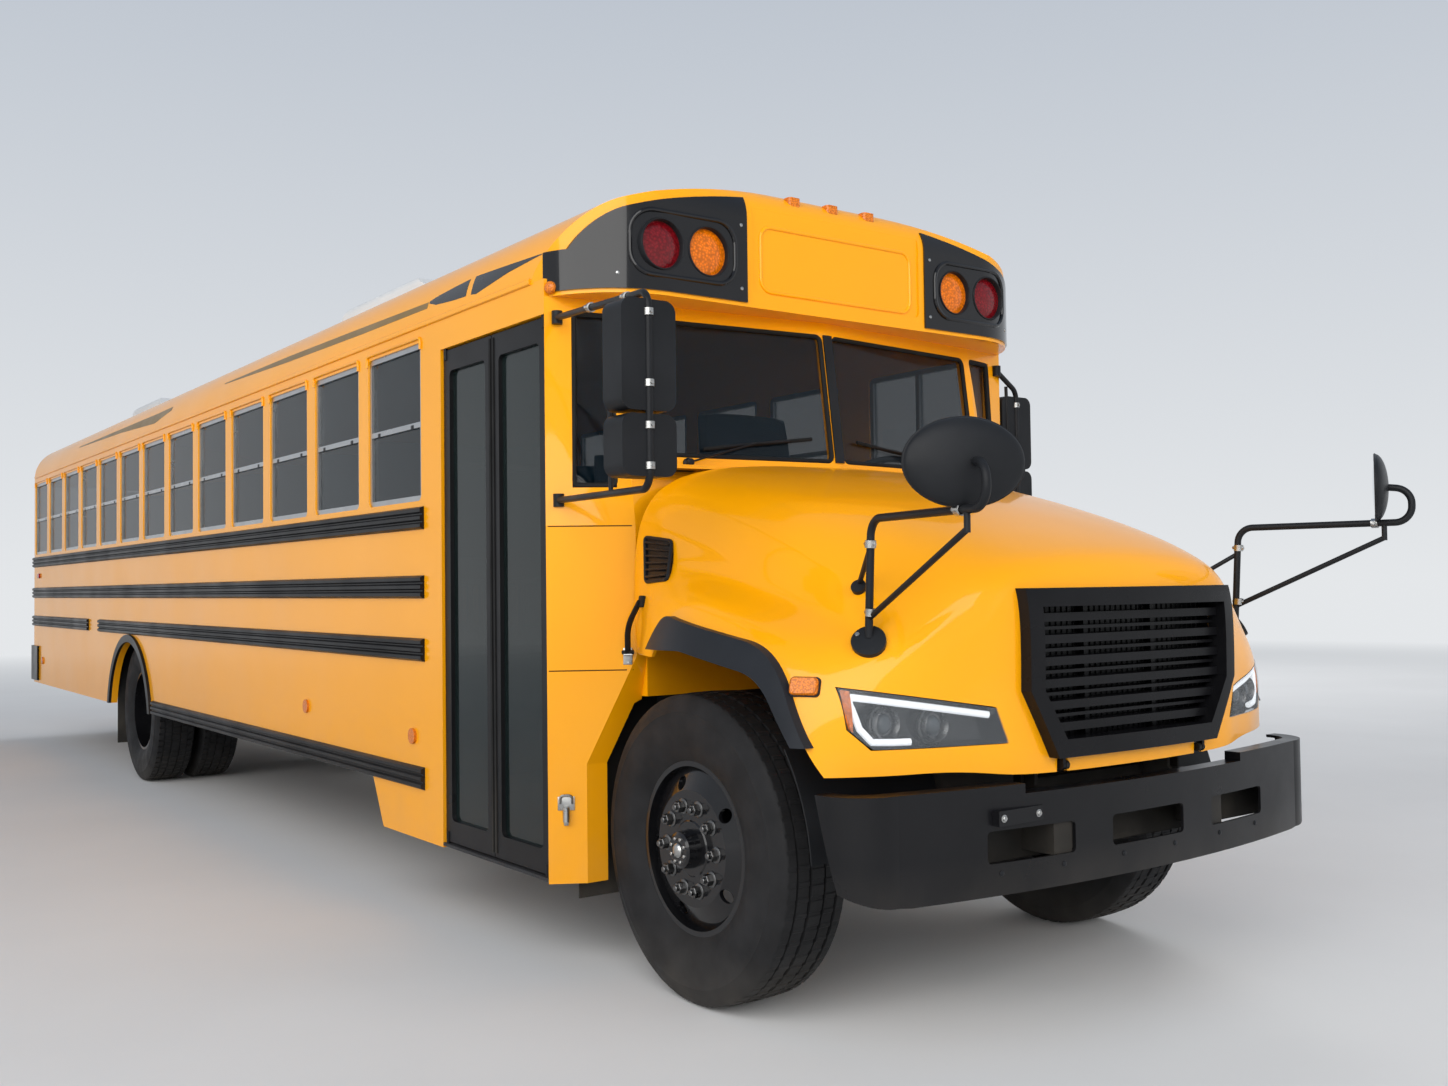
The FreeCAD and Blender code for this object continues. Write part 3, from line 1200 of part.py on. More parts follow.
def side_mirror(tube_x):
    """A tube loop from the corner post with a tall flat mirror over a shorter one."""
    root_x, root_y = chamfer_point(0.13, 1.0)
    top = 2315.0
    bottom = 1705.0
    y = SIDE_MIRROR_Y
    r = MIRROR_TUBE_R
    loop = bent_tube([V(root_x, root_y - 4.0, 2395.0), V(tube_x, y, top), V(tube_x, y, bottom),
                      V(root_x, root_y - 4.0, bottom + 18.0)], 55.0, r)
    share = 0.62
    brace_x = root_x + (tube_x - root_x) * share
    brace_y = root_y + (y - root_y) * share
    brace = rod(V(brace_x, brace_y, bottom + 6.0), V(brace_x - 15.0, brace_y - 4.0, top + 20.0), 8.0)
    depth = 110.0
    x1 = tube_x + 2.0
    heads = []
    for z0, z1 in ((1945.0, 2290.0), (1742.0, 1935.0)):
        head = box(x1 - depth, x1, y - SIDE_HEAD_HALF, y + SIDE_HEAD_HALF, z0, z1)
        edges = [e for e in head.Edges if abs(e.tangentAt(e.FirstParameter).x) > 0.9]
        heads.append(head.makeFillet(38.0, edges))
    pad_low = disc("z", root_x, root_y - 6.0, bottom - 6.0, bottom + 42.0, 20.0)
    pad_high = disc("z", root_x, root_y - 6.0, 2372.0, 2420.0, 20.0)
    pads = [pad.cut(front_block(0.0, SEAM_Z, CAP_BOTTOM)) for pad in (pad_low, pad_high)]
    loop = loop.cut(front_block(0.0, SEAM_Z, CAP_BOTTOM))
    return fused([loop, brace] + heads + pads)


# Bumpers

def bumper_plan(inset, front, half, end_x, corner_r, bow, z0, z1):
    """Everything behind the bumper's bowed face between two levels, set in by a distance."""
    r = corner_r - inset
    s = r * (1.0 - math.sqrt(0.5))
    sign = 1.0 if front > end_x else -1.0
    face = front - sign * (inset + bow)
    side = half - inset
    start = face - sign * r
    edges = [
        Part.LineSegment(V(end_x, side, z0), V(start, side, z0)),
        Part.Arc(V(start, side, z0), V(face - sign * s, side - s, z0), V(face, side - r, z0)),
        Part.Arc(V(face, side - r, z0), V(face + sign * bow, 0, z0), V(face, -side + r, z0)),
        Part.Arc(V(face, -side + r, z0), V(face - sign * s, -side + s, z0), V(start, -side, z0)),
        Part.LineSegment(V(start, -side, z0), V(end_x, -side, z0)),
        Part.LineSegment(V(end_x, -side, z0), V(end_x, side, z0)),
    ]
    return extrude(Part.Wire([e.toShape() for e in edges]), "z", z1 - z0)


def channel_bumper(front, half, end_x, corner_r, bow, z0, z1):
    """A pressed channel that wraps round the corners, open to the middle of the bus."""
    shape = (front, half, end_x, corner_r, bow)
    band = bumper_plan(0.0, *shape, z0, z1).cut(bumper_plan(BUMPER_FLANGE, *shape, z0, z1))
    hollow = bumper_plan(BUMPER_WALL, *shape, z0 + BUMPER_WALL, z1 - BUMPER_WALL)
    return band.cut(hollow)


def front_bumper():
    """Bowed face with three slots, raked ends and a flat plate for an accessory."""
    shape = (BUMPER_FRONT, BUMPER_HALF, BUMPER_END_X, BUMPER_CORNER_R, BUMPER_BOW)
    bumper = channel_bumper(*shape, BUMPER_BOTTOM, BUMPER_TOP)
    x0 = BUMPER_FRONT - BUMPER_BOW - BUMPER_WALL
    x1 = BUMPER_FRONT + 1.0
    middle_top = BUMPER_TOP - BUMPER_STEP
    middle = box(BUMPER_END_X, x1, -BUMPER_STEP_Y, BUMPER_STEP_Y, BUMPER_BOTTOM, BUMPER_TOP)
    lower = channel_bumper(*shape, BUMPER_BOTTOM, middle_top).common(middle)
    step = bumper_plan(0.0, *shape, middle_top - BUMPER_WALL, BUMPER_TOP)
    step = step.cut(bumper_plan(BUMPER_FLANGE, *shape, middle_top - BUMPER_WALL, BUMPER_TOP))
    step = step.common(box(BUMPER_END_X, x1, BUMPER_STEP_Y, BUMPER_STEP_Y + BUMPER_WALL, BUMPER_BOTTOM,
                           BUMPER_TOP))
    bumper = fused([bumper.cut(middle), lower] + both_sides(step))
    for y0, y1 in BUMPER_SLOTS:
        bumper = bumper.cut(rounded_plate("x", y0, y1, BUMPER_SLOT_Z[0], BUMPER_SLOT_Z[1], x0, x1, 15.0))
    plate = box(BUMPER_FRONT - BUMPER_BOW, ACCESSORY_FACE_X, *ACCESSORY_PLATE_Y, *ACCESSORY_PLATE_Z)
    plate = plate.cut(bumper_plan(BUMPER_WALL / 2.0, *shape, *ACCESSORY_PLATE_Z))
    bumper = bumper.fuse(plate)
    z = sum(ACCESSORY_PLATE_Z) / 2.0
    for y in ACCESSORY_HOLES_Y:
        bumper = bumper.cut(disc("x", y, z, x0, x1, ACCESSORY_HOLE_R))
    low = BUMPER_BOTTOM - 1.0
    toe_x, toe_z = BUMPER_TOE
    rake = prism("y", [(BUMPER_END_X - 1.0, BUMPER_TOP), (BUMPER_END_X, BUMPER_TOP),
                       (BUMPER_END_X + BUMPER_END_RAKE, toe_z), (toe_x, low), (BUMPER_END_X - 1.0, low)],
                 -BUMPER_HALF - 1.0, BUMPER_HALF + 1.0)
    return bumper.cut(rake)


def rear_bumper():
    bumper = channel_bumper(-REAR_REACH, REAR_BUMPER_HALF, REAR_BUMPER_END_X, 100.0, 0.5,
                            REAR_BUMPER_BOTTOM, REAR_BUMPER_TOP)
    half = BODY_HALF + CONTACT_GAP
    body = box(BODY_REAR - CONTACT_GAP, REAR_BUMPER_END_X + OVERSHOOT, -half, half,
               REAR_BUMPER_BOTTOM, REAR_BUMPER_TOP)
    return bumper.cut(body)


# Frame and running gear

def rail_section(y_outer, x0, x1):
    y_inner = y_outer - RAIL_FLANGE
    wall = RAIL_WALL
    points = [(y_outer, RAIL_BOTTOM), (y_outer, RAIL_TOP), (y_inner, RAIL_TOP),
              (y_inner, RAIL_TOP - wall), (y_outer - wall, RAIL_TOP - wall),
              (y_outer - wall, RAIL_BOTTOM + wall), (y_inner, RAIL_BOTTOM + wall),
              (y_inner, RAIL_BOTTOM)]
    return prism("x", points, x0, x1)


def hinge_arm():
    """A plate from the rail's front end up to the hood's hinge pin."""
    y0 = HINGE_ARM_Y
    y1 = y0 + HINGE_ARM
    over = HOOD_PIVOT_Z - HINGE_EYE_R + 2.0
    points = [(RAIL_FRONT - 80.0, RAIL_BOTTOM + 20.0), (RAIL_FRONT + 80.0, RAIL_BOTTOM + 20.0),
              (BUMPER_FRONT - BUMPER_BOW - BUMPER_FLANGE - 8.0, BUMPER_TOP - 40.0),
              (BUMPER_FRONT - BUMPER_BOW - BUMPER_FLANGE - 8.0, over), (HOOD_PIVOT_X, over),
              (HOOD_PIVOT_X, HOOD_PIVOT_Z + HINGE_EYE_R - 2.0),
              (RAIL_FRONT - 40.0, HOOD_PIVOT_Z + HINGE_EYE_R - 2.0), (RAIL_FRONT - 80.0, RAIL_BOTTOM + 100.0)]
    plate = prism("y", points, y0, y1)
    eye = disc("y", HOOD_PIVOT_X, HOOD_PIVOT_Z, y0, y1, HINGE_EYE_R)
    bore = disc("y", HOOD_PIVOT_X, HOOD_PIVOT_Z, y0 - 1.0, y1 + 1.0, HOOD_PIN_R + SHAFT_GAP)
    foot = box(RAIL_FRONT - 80.0, RAIL_FRONT - 20.0, y0, RAIL_OUTER - RAIL_FLANGE + 10.0,
               RAIL_TOP - 200.0, RAIL_TOP - 100.0)
    foot_plate = box(RAIL_FRONT - 80.0, RAIL_FRONT - 20.0, y0, RAIL_OUTER - RAIL_WALL, RAIL_BOTTOM,
                     RAIL_BOTTOM + 40.0)
    return fused([plate, eye, foot, foot_plate]).cut(bore)


def chassis_frame():
    pieces = both_sides(rail_section(RAIL_OUTER, RAIL_REAR, RAIL_FRONT))
    web_inner = RAIL_OUTER - RAIL_WALL
    cross_x = [RAIL_REAR + 60.0, REAR_AXLE_X - 1300.0, REAR_AXLE_X - 620.0, REAR_AXLE_X + 620.0,
               REAR_AXLE_X + 2100.0, REAR_AXLE_X + 3600.0, -1500.0]
    for x in cross_x:
        pieces.append(box(x, x + 60.0, -web_inner, web_inner, RAIL_TOP - RAIL_WALL - 70.0,
                          RAIL_TOP - RAIL_WALL))
    pieces.append(box(RAIL_FRONT - 140.0, RAIL_FRONT - 80.0, -web_inner, web_inner, RAIL_BOTTOM + RAIL_WALL,
                      RAIL_BOTTOM + 70.0))
    front_horn = box(RAIL_FRONT - 60.0, BUMPER_FRONT - BUMPER_WALL, RAIL_OUTER - RAIL_FLANGE, RAIL_OUTER,
                     BUMPER_BOTTOM + 90.0, RAIL_BOTTOM + 60.0)
    front_horn = front_horn.common(bumper_plan(BUMPER_WALL, BUMPER_FRONT, BUMPER_HALF, BUMPER_END_X,
                                               BUMPER_CORNER_R, BUMPER_BOW, BUMPER_BOTTOM, BUMPER_TOP))
    rear_horn = box(-REAR_REACH + BUMPER_WALL + CONTACT_GAP, RAIL_REAR + 60.0, RAIL_OUTER - RAIL_FLANGE,
                    RAIL_OUTER, RAIL_BOTTOM - 60.0, REAR_BUMPER_TOP - BUMPER_WALL - 30.0)
    pieces += both_sides(front_horn) + both_sides(rear_horn) + both_sides(hinge_arm())
    return fused(pieces)


def leaf_spring(axle_x, length, axle_top):
    """A bowed leaf pack under each rail with its hangers and its seat on the axle."""
    y0 = RAIL_OUTER - RAIL_FLANGE + 2.0
    y1 = RAIL_OUTER - 2.0
    half = length / 2.0
    thick = 52.0
    low = axle_top + 22.0
    high = RAIL_BOTTOM - thick - 10.0
    arcs = []
    for lift, reverse in ((0.0, False), (thick, True)):
        a = V(axle_x - half, y0, high + lift)
        b = V(axle_x, y0, low + lift)
        c = V(axle_x + half, y0, high + lift)
        points = (c, b, a) if reverse else (a, b, c)
        arcs.append(Part.Arc(*points).toShape())
    ends = [Part.LineSegment(V(axle_x + half, y0, high), V(axle_x + half, y0, high + thick)).toShape(),
            Part.LineSegment(V(axle_x - half, y0, high + thick), V(axle_x - half, y0, high)).toShape()]
    pack = extrude(Part.Wire([arcs[0], ends[0], arcs[1], ends[1]]), "y", y1 - y0)
    hangers = [box(axle_x + s * (half - 30.0) - 30.0, axle_x + s * (half - 30.0) + 30.0, y0, y1,
                   high + 20.0, RAIL_BOTTOM) for s in (-1, 1)]
    seat = box(axle_x - 60.0, axle_x + 60.0, y0, y1, axle_top - 20.0, low + 20.0)
    return fused([pack, seat] + hangers)


def front_axle():
    """Dropped beam between the kingpin eyes, with its two springs."""
    z = TYRE_R
    half = KINGPIN_Y - 30.0
    beam = prism("x", [(-half, z - 42.0), (-half, z + 38.0), (-640.0, z + 38.0), (-520.0, z - 52.0),
                       (520.0, z - 52.0), (640.0, z + 38.0), (half, z + 38.0), (half, z - 42.0),
                       (640.0, z - 42.0), (520.0, z - 122.0), (-520.0, z - 122.0), (-640.0, z - 42.0)],
                 -45.0, 45.0)
    pieces = [beam]
    pieces += both_sides(leaf_spring(0.0, 1300.0, z - 52.0))
    pieces += both_sides(disc("z", 0.0, KINGPIN_Y, z - 50.0, z + 50.0, 45.0))
    axle = fused(pieces)
    for side in (1, -1):
        axle = axle.cut(disc("z", 0.0, side * KINGPIN_Y, z - 60.0, z + 60.0, KINGPIN_R + SHAFT_GAP))
    return axle


def knuckle():
    """The left steering knuckle: kingpin, fork, block, spindle and the brake's back plate."""
    z = TYRE_R
    pieces = [disc("z", 0.0, KINGPIN_Y, z - 88.0, z + 88.0, KINGPIN_R)]
    for z0 in (z - 90.0, z + 55.0):
        pieces.append(box(-42.0, 42.0, KINGPIN_Y - 40.0, KINGPIN_Y + 95.0, z0, z0 + 35.0))
    pieces.append(box(-60.0, 60.0, KINGPIN_Y + 52.0, KINGPIN_Y + 95.0, z - 90.0, z + 90.0))
    pieces.append(disc("y", 0.0, z, KINGPIN_Y + 90.0, KINGPIN_Y + 212.0, SPINDLE_R))
    return fused(pieces)


def tyre(y_middle, x):
    """A road tyre as one closed ring."""
    half = TYRE_WIDTH / 2.0
    r = TYRE_R
    bead = RIM_WIDTH / 2.0 - RIM_FLANGE_WIDTH - CONTACT_GAP
    seat = RIM_R + 1.0 + CONTACT_GAP
    bead_top = RIM_R + RIM_FLANGE + 4.0

    def at(y, radius):
        return V(0, y_middle + y, radius)

    edges = [Part.LineSegment(at(-bead, seat), at(bead, seat)).toShape()]
    for side in (1, -1):
        edges.append(Part.LineSegment(at(side * bead, seat), at(side * bead, bead_top)).toShape())
        wall = Part.Arc(at(side * bead, bead_top), at(side * half, (RIM_R + r) / 2.0 + 4.0),
                        at(side * (half - 10.0), r - 34.0))
        shoulder = Part.Arc(at(side * (half - 10.0), r - 34.0), at(side * (half - 16.0), r - 11.0),
                            at(side * (half - 34.0), r - 3.0))
        edges += [wall.toShape(), shoulder.toShape()]
    tread = Part.Arc(at(half - 34.0, r - 3.0), at(0, r), at(-half + 34.0, r - 3.0))
    edges.append(tread.toShape())
    wire = Part.__sortEdges__(edges)
    return turned(wire, x, TYRE_R)


def rim_barrel(y_middle):
    """Half section of a rim as (y, radius) points: the barrel with its two flanges."""
    half = RIM_WIDTH / 2.0
    r = RIM_R
    top = r + RIM_FLANGE
    inner = half - RIM_FLANGE_WIDTH
    return [(y_middle - half, top), (y_middle - half, r - RIM_WALL),
            (y_middle + half, r - RIM_WALL), (y_middle + half, top),
            (y_middle + inner, top), (y_middle + inner, r + 1.0),
            (y_middle - inner, r + 1.0), (y_middle - inner, top)]


def hand_holes(y0, y1, x, circle_r, radius):
    holes = []
    for number in range(STUD_COUNT // 2):
        angle = (number + 0.5) * 4.0 * math.pi / STUD_COUNT
        holes.append(disc("y", x + circle_r * math.cos(angle), TYRE_R + circle_r * math.sin(angle), y0, y1,
                          radius))
    return holes


def studs(y0, y1, x):
    nuts = []
    for number in range(STUD_COUNT):
        angle = number * 2.0 * math.pi / STUD_COUNT
        nuts.append(disc("y", x + STUD_CIRCLE_R * math.cos(angle), TYRE_R + STUD_CIRCLE_R * math.sin(angle),
                         y0, y1, 16.0))
    return nuts


def front_wheel():
    """The left front wheel: rim, domed disc, hub and nuts, bored for the spindle."""
    y = FRONT_TYRE_Y
    face = y + 118.0
    barrel = turned_polygon(rim_barrel(y), 0.0, TYRE_R)
    disc_section = [(y + 60.0, RIM_R - 4.0), (y + 60.0, RIM_R - 18.0), (face - 40.0, 250.0),
                    (face - 12.0, 190.0), (face - 12.0, 80.0), (face, 80.0), (face, 195.0),
                    (face - 28.0, 258.0), (y + 76.0, RIM_R - 4.0)]
    web = turned_polygon(disc_section, 0.0, TYRE_R)
    hub_section = [(KINGPIN_Y + 105.0, 0.0), (KINGPIN_Y + 105.0, HUB_R + 40.0), (face - 12.0, HUB_R + 40.0),
                   (face - 12.0, HUB_R), (face + 4.0, HUB_R - 20.0), (face + 4.0, 66.0),
                   (face + 48.0, 60.0), (face + 54.0, 50.0), (face + 54.0, 0.0)]
    hub = turned_polygon(hub_section, 0.0, TYRE_R)
    bore = disc("y", 0.0, TYRE_R, y - RIM_WIDTH, KINGPIN_Y + 214.0, SPINDLE_R + SHAFT_GAP)
    wheel = fused([barrel, web, hub] + studs(face - 10.0, face + 28.0, 0.0))
    for hole in hand_holes(y, face + 10.0, 0.0, 222.0, 24.0):
        wheel = wheel.cut(hole)
    return wheel.cut(bore)


def rear_wheels():
    """The left twin wheels as one piece: two rims back to back on one hub."""
    outer = REAR_OUTER_Y
    inner = outer - REAR_PAIR_SPACING
    middle = (outer + inner) / 2.0
    x = REAR_AXLE_X
    parts = [turned_polygon(rim_barrel(outer), x, TYRE_R), turned_polygon(rim_barrel(inner), x, TYRE_R)]
    reach = 70.0
    for side in (1, -1):
        rim_y = outer if side > 0 else inner
        near = middle
        far = rim_y - side * (RIM_WIDTH / 2.0 - 34.0)
        section = [(near, 90.0), (near, 205.0), (far - side * 8.0, RIM_R - 4.0),
                   (far + side * 10.0, RIM_R - 4.0), (near + side * 14.0, 198.0), (near + side * 14.0, 90.0)]
        parts.append(turned_polygon(section, x, TYRE_R))
    hub = [(middle - reach, 0.0), (middle - reach, HUB_R + 40.0), (middle + 14.0, HUB_R + 40.0),
           (middle + 14.0, HUB_R), (middle + 90.0, HUB_R - 8.0), (middle + 90.0, 74.0),
           (middle + 108.0, 66.0), (middle + 108.0, 0.0)]
    parts.append(turned_polygon(hub, x, TYRE_R))
    bore = disc("y", x, TYRE_R, inner - RIM_WIDTH, middle + 62.0, REAR_SPINDLE_R + SHAFT_GAP)
    wheel = fused(parts + studs(middle + 10.0, middle + 48.0, x))
    return wheel.cut(bore)


def rear_axle():
    z = TYRE_R
    x = REAR_AXLE_X
    middle = REAR_OUTER_Y - REAR_PAIR_SPACING / 2.0
    inner_face = middle - 80.0
    pieces = [disc("y", x, z, -inner_face, inner_face, 68.0)]
    pieces += both_sides(disc("y", x, z, inner_face, middle + 60.0, REAR_SPINDLE_R))
    bowl = Part.makeSphere(195.0, V(x, 0, z)).common(box(x - 150.0, x + 200.0, -160.0, 160.0, z - 190.0,
                                                         z + 190.0))
    nose = rod(V(x + 150.0, 0, z + 10.0), V(x + PINION_END, 0, z + 22.0), 80.0)
    pieces += [bowl, nose]
    pieces += both_sides(leaf_spring(x, 1400.0, z + 60.0 - 40.0))
    return fused(pieces)


def driveshaft():
    start = V(GEARBOX_REAR - DRIVESHAFT_GAP, 0, 770.0)
    end = V(REAR_AXLE_X + PINION_END + DRIVESHAFT_GAP, 0, TYRE_R + 24.0)
    return rod(start, end, 48.0)


def engine_block():
    """Engine and gearbox as plain blocks between the rails, with a mount on each rail."""
    block = box(-250.0, 640.0, -ENGINE_HALF, ENGINE_HALF, 810.0, 1440.0)
    gearbox = box(GEARBOX_REAR, -240.0, -180.0, 180.0, 660.0, 930.0)
    mount = box(120.0, 210.0, ENGINE_HALF - 10.0, RAIL_OUTER - 10.0, RAIL_TOP, RAIL_TOP + 30.0)
    return fused([block, gearbox] + both_sides(mount))


def radiator():
    return box(700.0, 770.0, -400.0, 400.0, RAIL_TOP, 1350.0)


def exhaust():
    r = 42.0
    pipe_y = -(RAIL_OUTER + 62.0)
    under = RAIL_BOTTOM - 62.0
    line = [V(-150.0, -240.0, 810.0), V(-150.0, -240.0, under), V(-800.0, -240.0, under),
            V(-1150.0, pipe_y, under), V(-2700.0, pipe_y, under), V(-3050.0, -600.0, under),
            V(REAR_AXLE_X + 1000.0, -600.0, under), V(REAR_AXLE_X + 640.0, pipe_y, RAIL_BOTTOM + 100.0),
            V(REAR_AXLE_X - 640.0, pipe_y, RAIL_BOTTOM + 100.0), V(REAR_AXLE_X - 1100.0, -600.0, under),
            V(RAIL_REAR + 300.0, -600.0, under), V(RAIL_REAR + 40.0, -600.0, 490.0),
            V(-REAR_REACH + 40.0, -600.0, 490.0)]
    pipe = bent_tube(line, 90.0, r)
    muffler = rod(V(-4350.0, -600.0, under), V(-3150.0, -600.0, under), 125.0)
    hangers = [box(x, x + 40.0, -600.0, -RAIL_OUTER, under + 30.0, RAIL_BOTTOM + 60.0)
               for x in (-3000.0, REAR_AXLE_X + 1200.0, REAR_AXLE_X - 1300.0)]
    return fused([pipe, muffler] + hangers)


def fuel_tank():
    tank = rounded_plate("x", RAIL_OUTER + 50.0, BODY_HALF - 154.0, SKIRT_Z + 5.0, RAIL_TOP - 30.0,
                         -4700.0, -3300.0, 70.0)
    brackets = [box(x, x + 60.0, RAIL_OUTER, RAIL_OUTER + 60.0, RAIL_BOTTOM + 30.0, RAIL_TOP - 100.0)
                for x in (-4500.0, -3560.0)]
    return fused([tank] + brackets)


def mud_flaps():
    """Rubber flaps under the floor, one behind each tyre or pair of tyres."""
    top = FLOOR_TOP - FLOOR_PLATE
    rear_x = REAR_AXLE_X - TYRE_R - 90.0
    inner = REAR_OUTER_Y - REAR_PAIR_SPACING - TYRE_WIDTH / 2.0
    rear = box(rear_x - 8.0, rear_x, inner, INNER_Y - 5.0, 230.0, top)
    front = box(DOOR_FRONT, DOOR_FRONT + 6.0, FRONT_TYRE_Y - TYRE_WIDTH / 2.0, BODY_HALF - 124.0, 262.0,
                top)
    return both_sides(rear) + both_sides(front)


# Inside and on the roof

def seat_rows():
    return [FIRST_SEAT_FRONT - SEAT_PITCH * i for i in range(SEAT_ROWS)]


def driver_seat_place():
    return -1100.0, 300.0, 820.0


def seats():
    """Cushion and back of every passenger seat, and the driver's."""
    pads = []
    z0 = FLOOR_TOP + CUSHION_BOTTOM
    z1 = z0 + CUSHION_HEIGHT
    for x in seat_rows():
        rear = x - SEAT_DEPTH
        pads += both_sides(box(rear, x, SEAT_INNER_Y, SEAT_OUTER_Y, z0, z1))
        low = FLOOR_TOP + BACK_BOTTOM
        back = prism("y", [(rear - 15.0, low), (rear - 15.0 - BACK_THICKNESS, low),
                           (rear - BACK_LEAN - BACK_THICKNESS, FLOOR_TOP + BACK_TOP),
                           (rear - BACK_LEAN - 10.0, FLOOR_TOP + BACK_TOP)], SEAT_INNER_Y, SEAT_OUTER_Y)
        pads += both_sides(back)
    x, y0, y1 = driver_seat_place()
    pads.append(box(x - 480.0, x, y0, y1, FLOOR_TOP + 400.0, FLOOR_TOP + 510.0))
    pads.append(prism("y", [(x - 490.0, FLOOR_TOP + 430.0), (x - 600.0, FLOOR_TOP + 430.0),
                            (x - 700.0, FLOOR_TOP + 1150.0), (x - 620.0, FLOOR_TOP + 1150.0)], y0, y1))
    return pads


def seat_frames():
    """Pan, aisle legs and wall rail under every seat, a back post, and the driver's pedestal."""
    frames = []
    z1 = FLOOR_TOP + CUSHION_BOTTOM - CONTACT_GAP
    z0 = z1 - 25.0
    for x in seat_rows():
        rear = x - SEAT_DEPTH
        pan = box(rear - 60.0, x - 20.0, SEAT_INNER_Y + 20.0, INNER_Y, z0, z1)
        legs = [box(at, at + 30.0, SEAT_INNER_Y + 40.0, SEAT_INNER_Y + 70.0, FLOOR_TOP, z0)
                for at in (rear + 20.0, x - 90.0)]
        post = box(rear - 60.0, rear - 16.0, SEAT_INNER_Y + 60.0, SEAT_OUTER_Y - 60.0, z0,
                   FLOOR_TOP + BACK_BOTTOM - CONTACT_GAP)
        frames += both_sides(fused([pan, post] + legs))
    x, y0, y1 = driver_seat_place()
    pedestal = box(x - 380.0, x - 100.0, y0 + 110.0, y1 - 110.0, FLOOR_TOP, FLOOR_TOP + 360.0)
    plate = box(x - 590.0, x - 30.0, y0 + 20.0, y1 - 20.0, FLOOR_TOP + 360.0, FLOOR_TOP + 400.0 - CONTACT_GAP)
    heel = box(x - 590.0, x - 500.0, y0 + 60.0, y1 - 60.0, FLOOR_TOP + 380.0,
               FLOOR_TOP + 430.0 - CONTACT_GAP)
    frames.append(fused([pedestal, plate, heel]))
    return frames


def dashboard():
    """Instrument shelf against the firewall with the steering column and wheel."""
    x = CHAMFER_FRONT[0] - WALL
    shelf = prism("y", [(x, 1380.0), (x, SEAM_Z - WALL - 5.0), (x - 75.0, 1790.0), (x - 230.0, 1750.0),
                        (x - 250.0, 1560.0), (x - 130.0, 1380.0)], -CHAMFER_FRONT[1] / 2.0,
                  CHAMFER_FRONT[1] - 90.0)
    y = 560.0
    low = V(x - 200.0, y, 1640.0)
    high = V(x - 330.0, y, 1840.0)
    axis = (high - low).normalize()
    column = rod(low, high, 28.0)
    ring = Part.makeTorus(215.0, 15.0, high, axis)
    hub = Part.makeCylinder(48.0, 30.0, high - axis * 22.0, axis)
    side = axis.cross(V(0, 1, 0)).normalize()
    spokes = [rod(high, high + V(0, 1, 0) * 214.0, 10.0), rod(high, high - V(0, 1, 0) * 214.0, 10.0),
              rod(high, high + side * 214.0 * (-1.0 if side.z > 0 else 1.0), 10.0)]
    return fused([shelf, column, hub, ring] + spokes)


def roof_units():
    """Two low air units on the roof, each under a rounded fairing with sloped ends."""
    units = []
    under = roof_block(0.0, BODY_REAR, ROOF_REAR_OF_CAP, FLOOR_TOP)
    low = CROWN_Z - ROOF_UNIT_RISE
    floor_z = low - OVERSHOOT
    top = CROWN_Z + ROOF_UNIT_RISE
    for x0, x1 in ROOF_UNIT_SPANS:
        view = [(x0, low), (x0 + 110.0, top), (x1 - 420.0, top), (x1 - 60.0, top - 150.0), (x1, low)]
        section = [(-ROOF_UNIT_HALF, low), (-ROOF_UNIT_HALF + 70.0, top), (ROOF_UNIT_HALF - 70.0, top),
                   (ROOF_UNIT_HALF, low)]
        body = block_under("y", view, (ROOF_UNIT_R, 300.0, 120.0), floor_z, -ROOF_UNIT_HALF, ROOF_UNIT_HALF)
        body = body.common(block_under("x", section, (ROOF_UNIT_R, ROOF_UNIT_R), floor_z, x0, x1))
        units.append(body.cut(under))
    return units


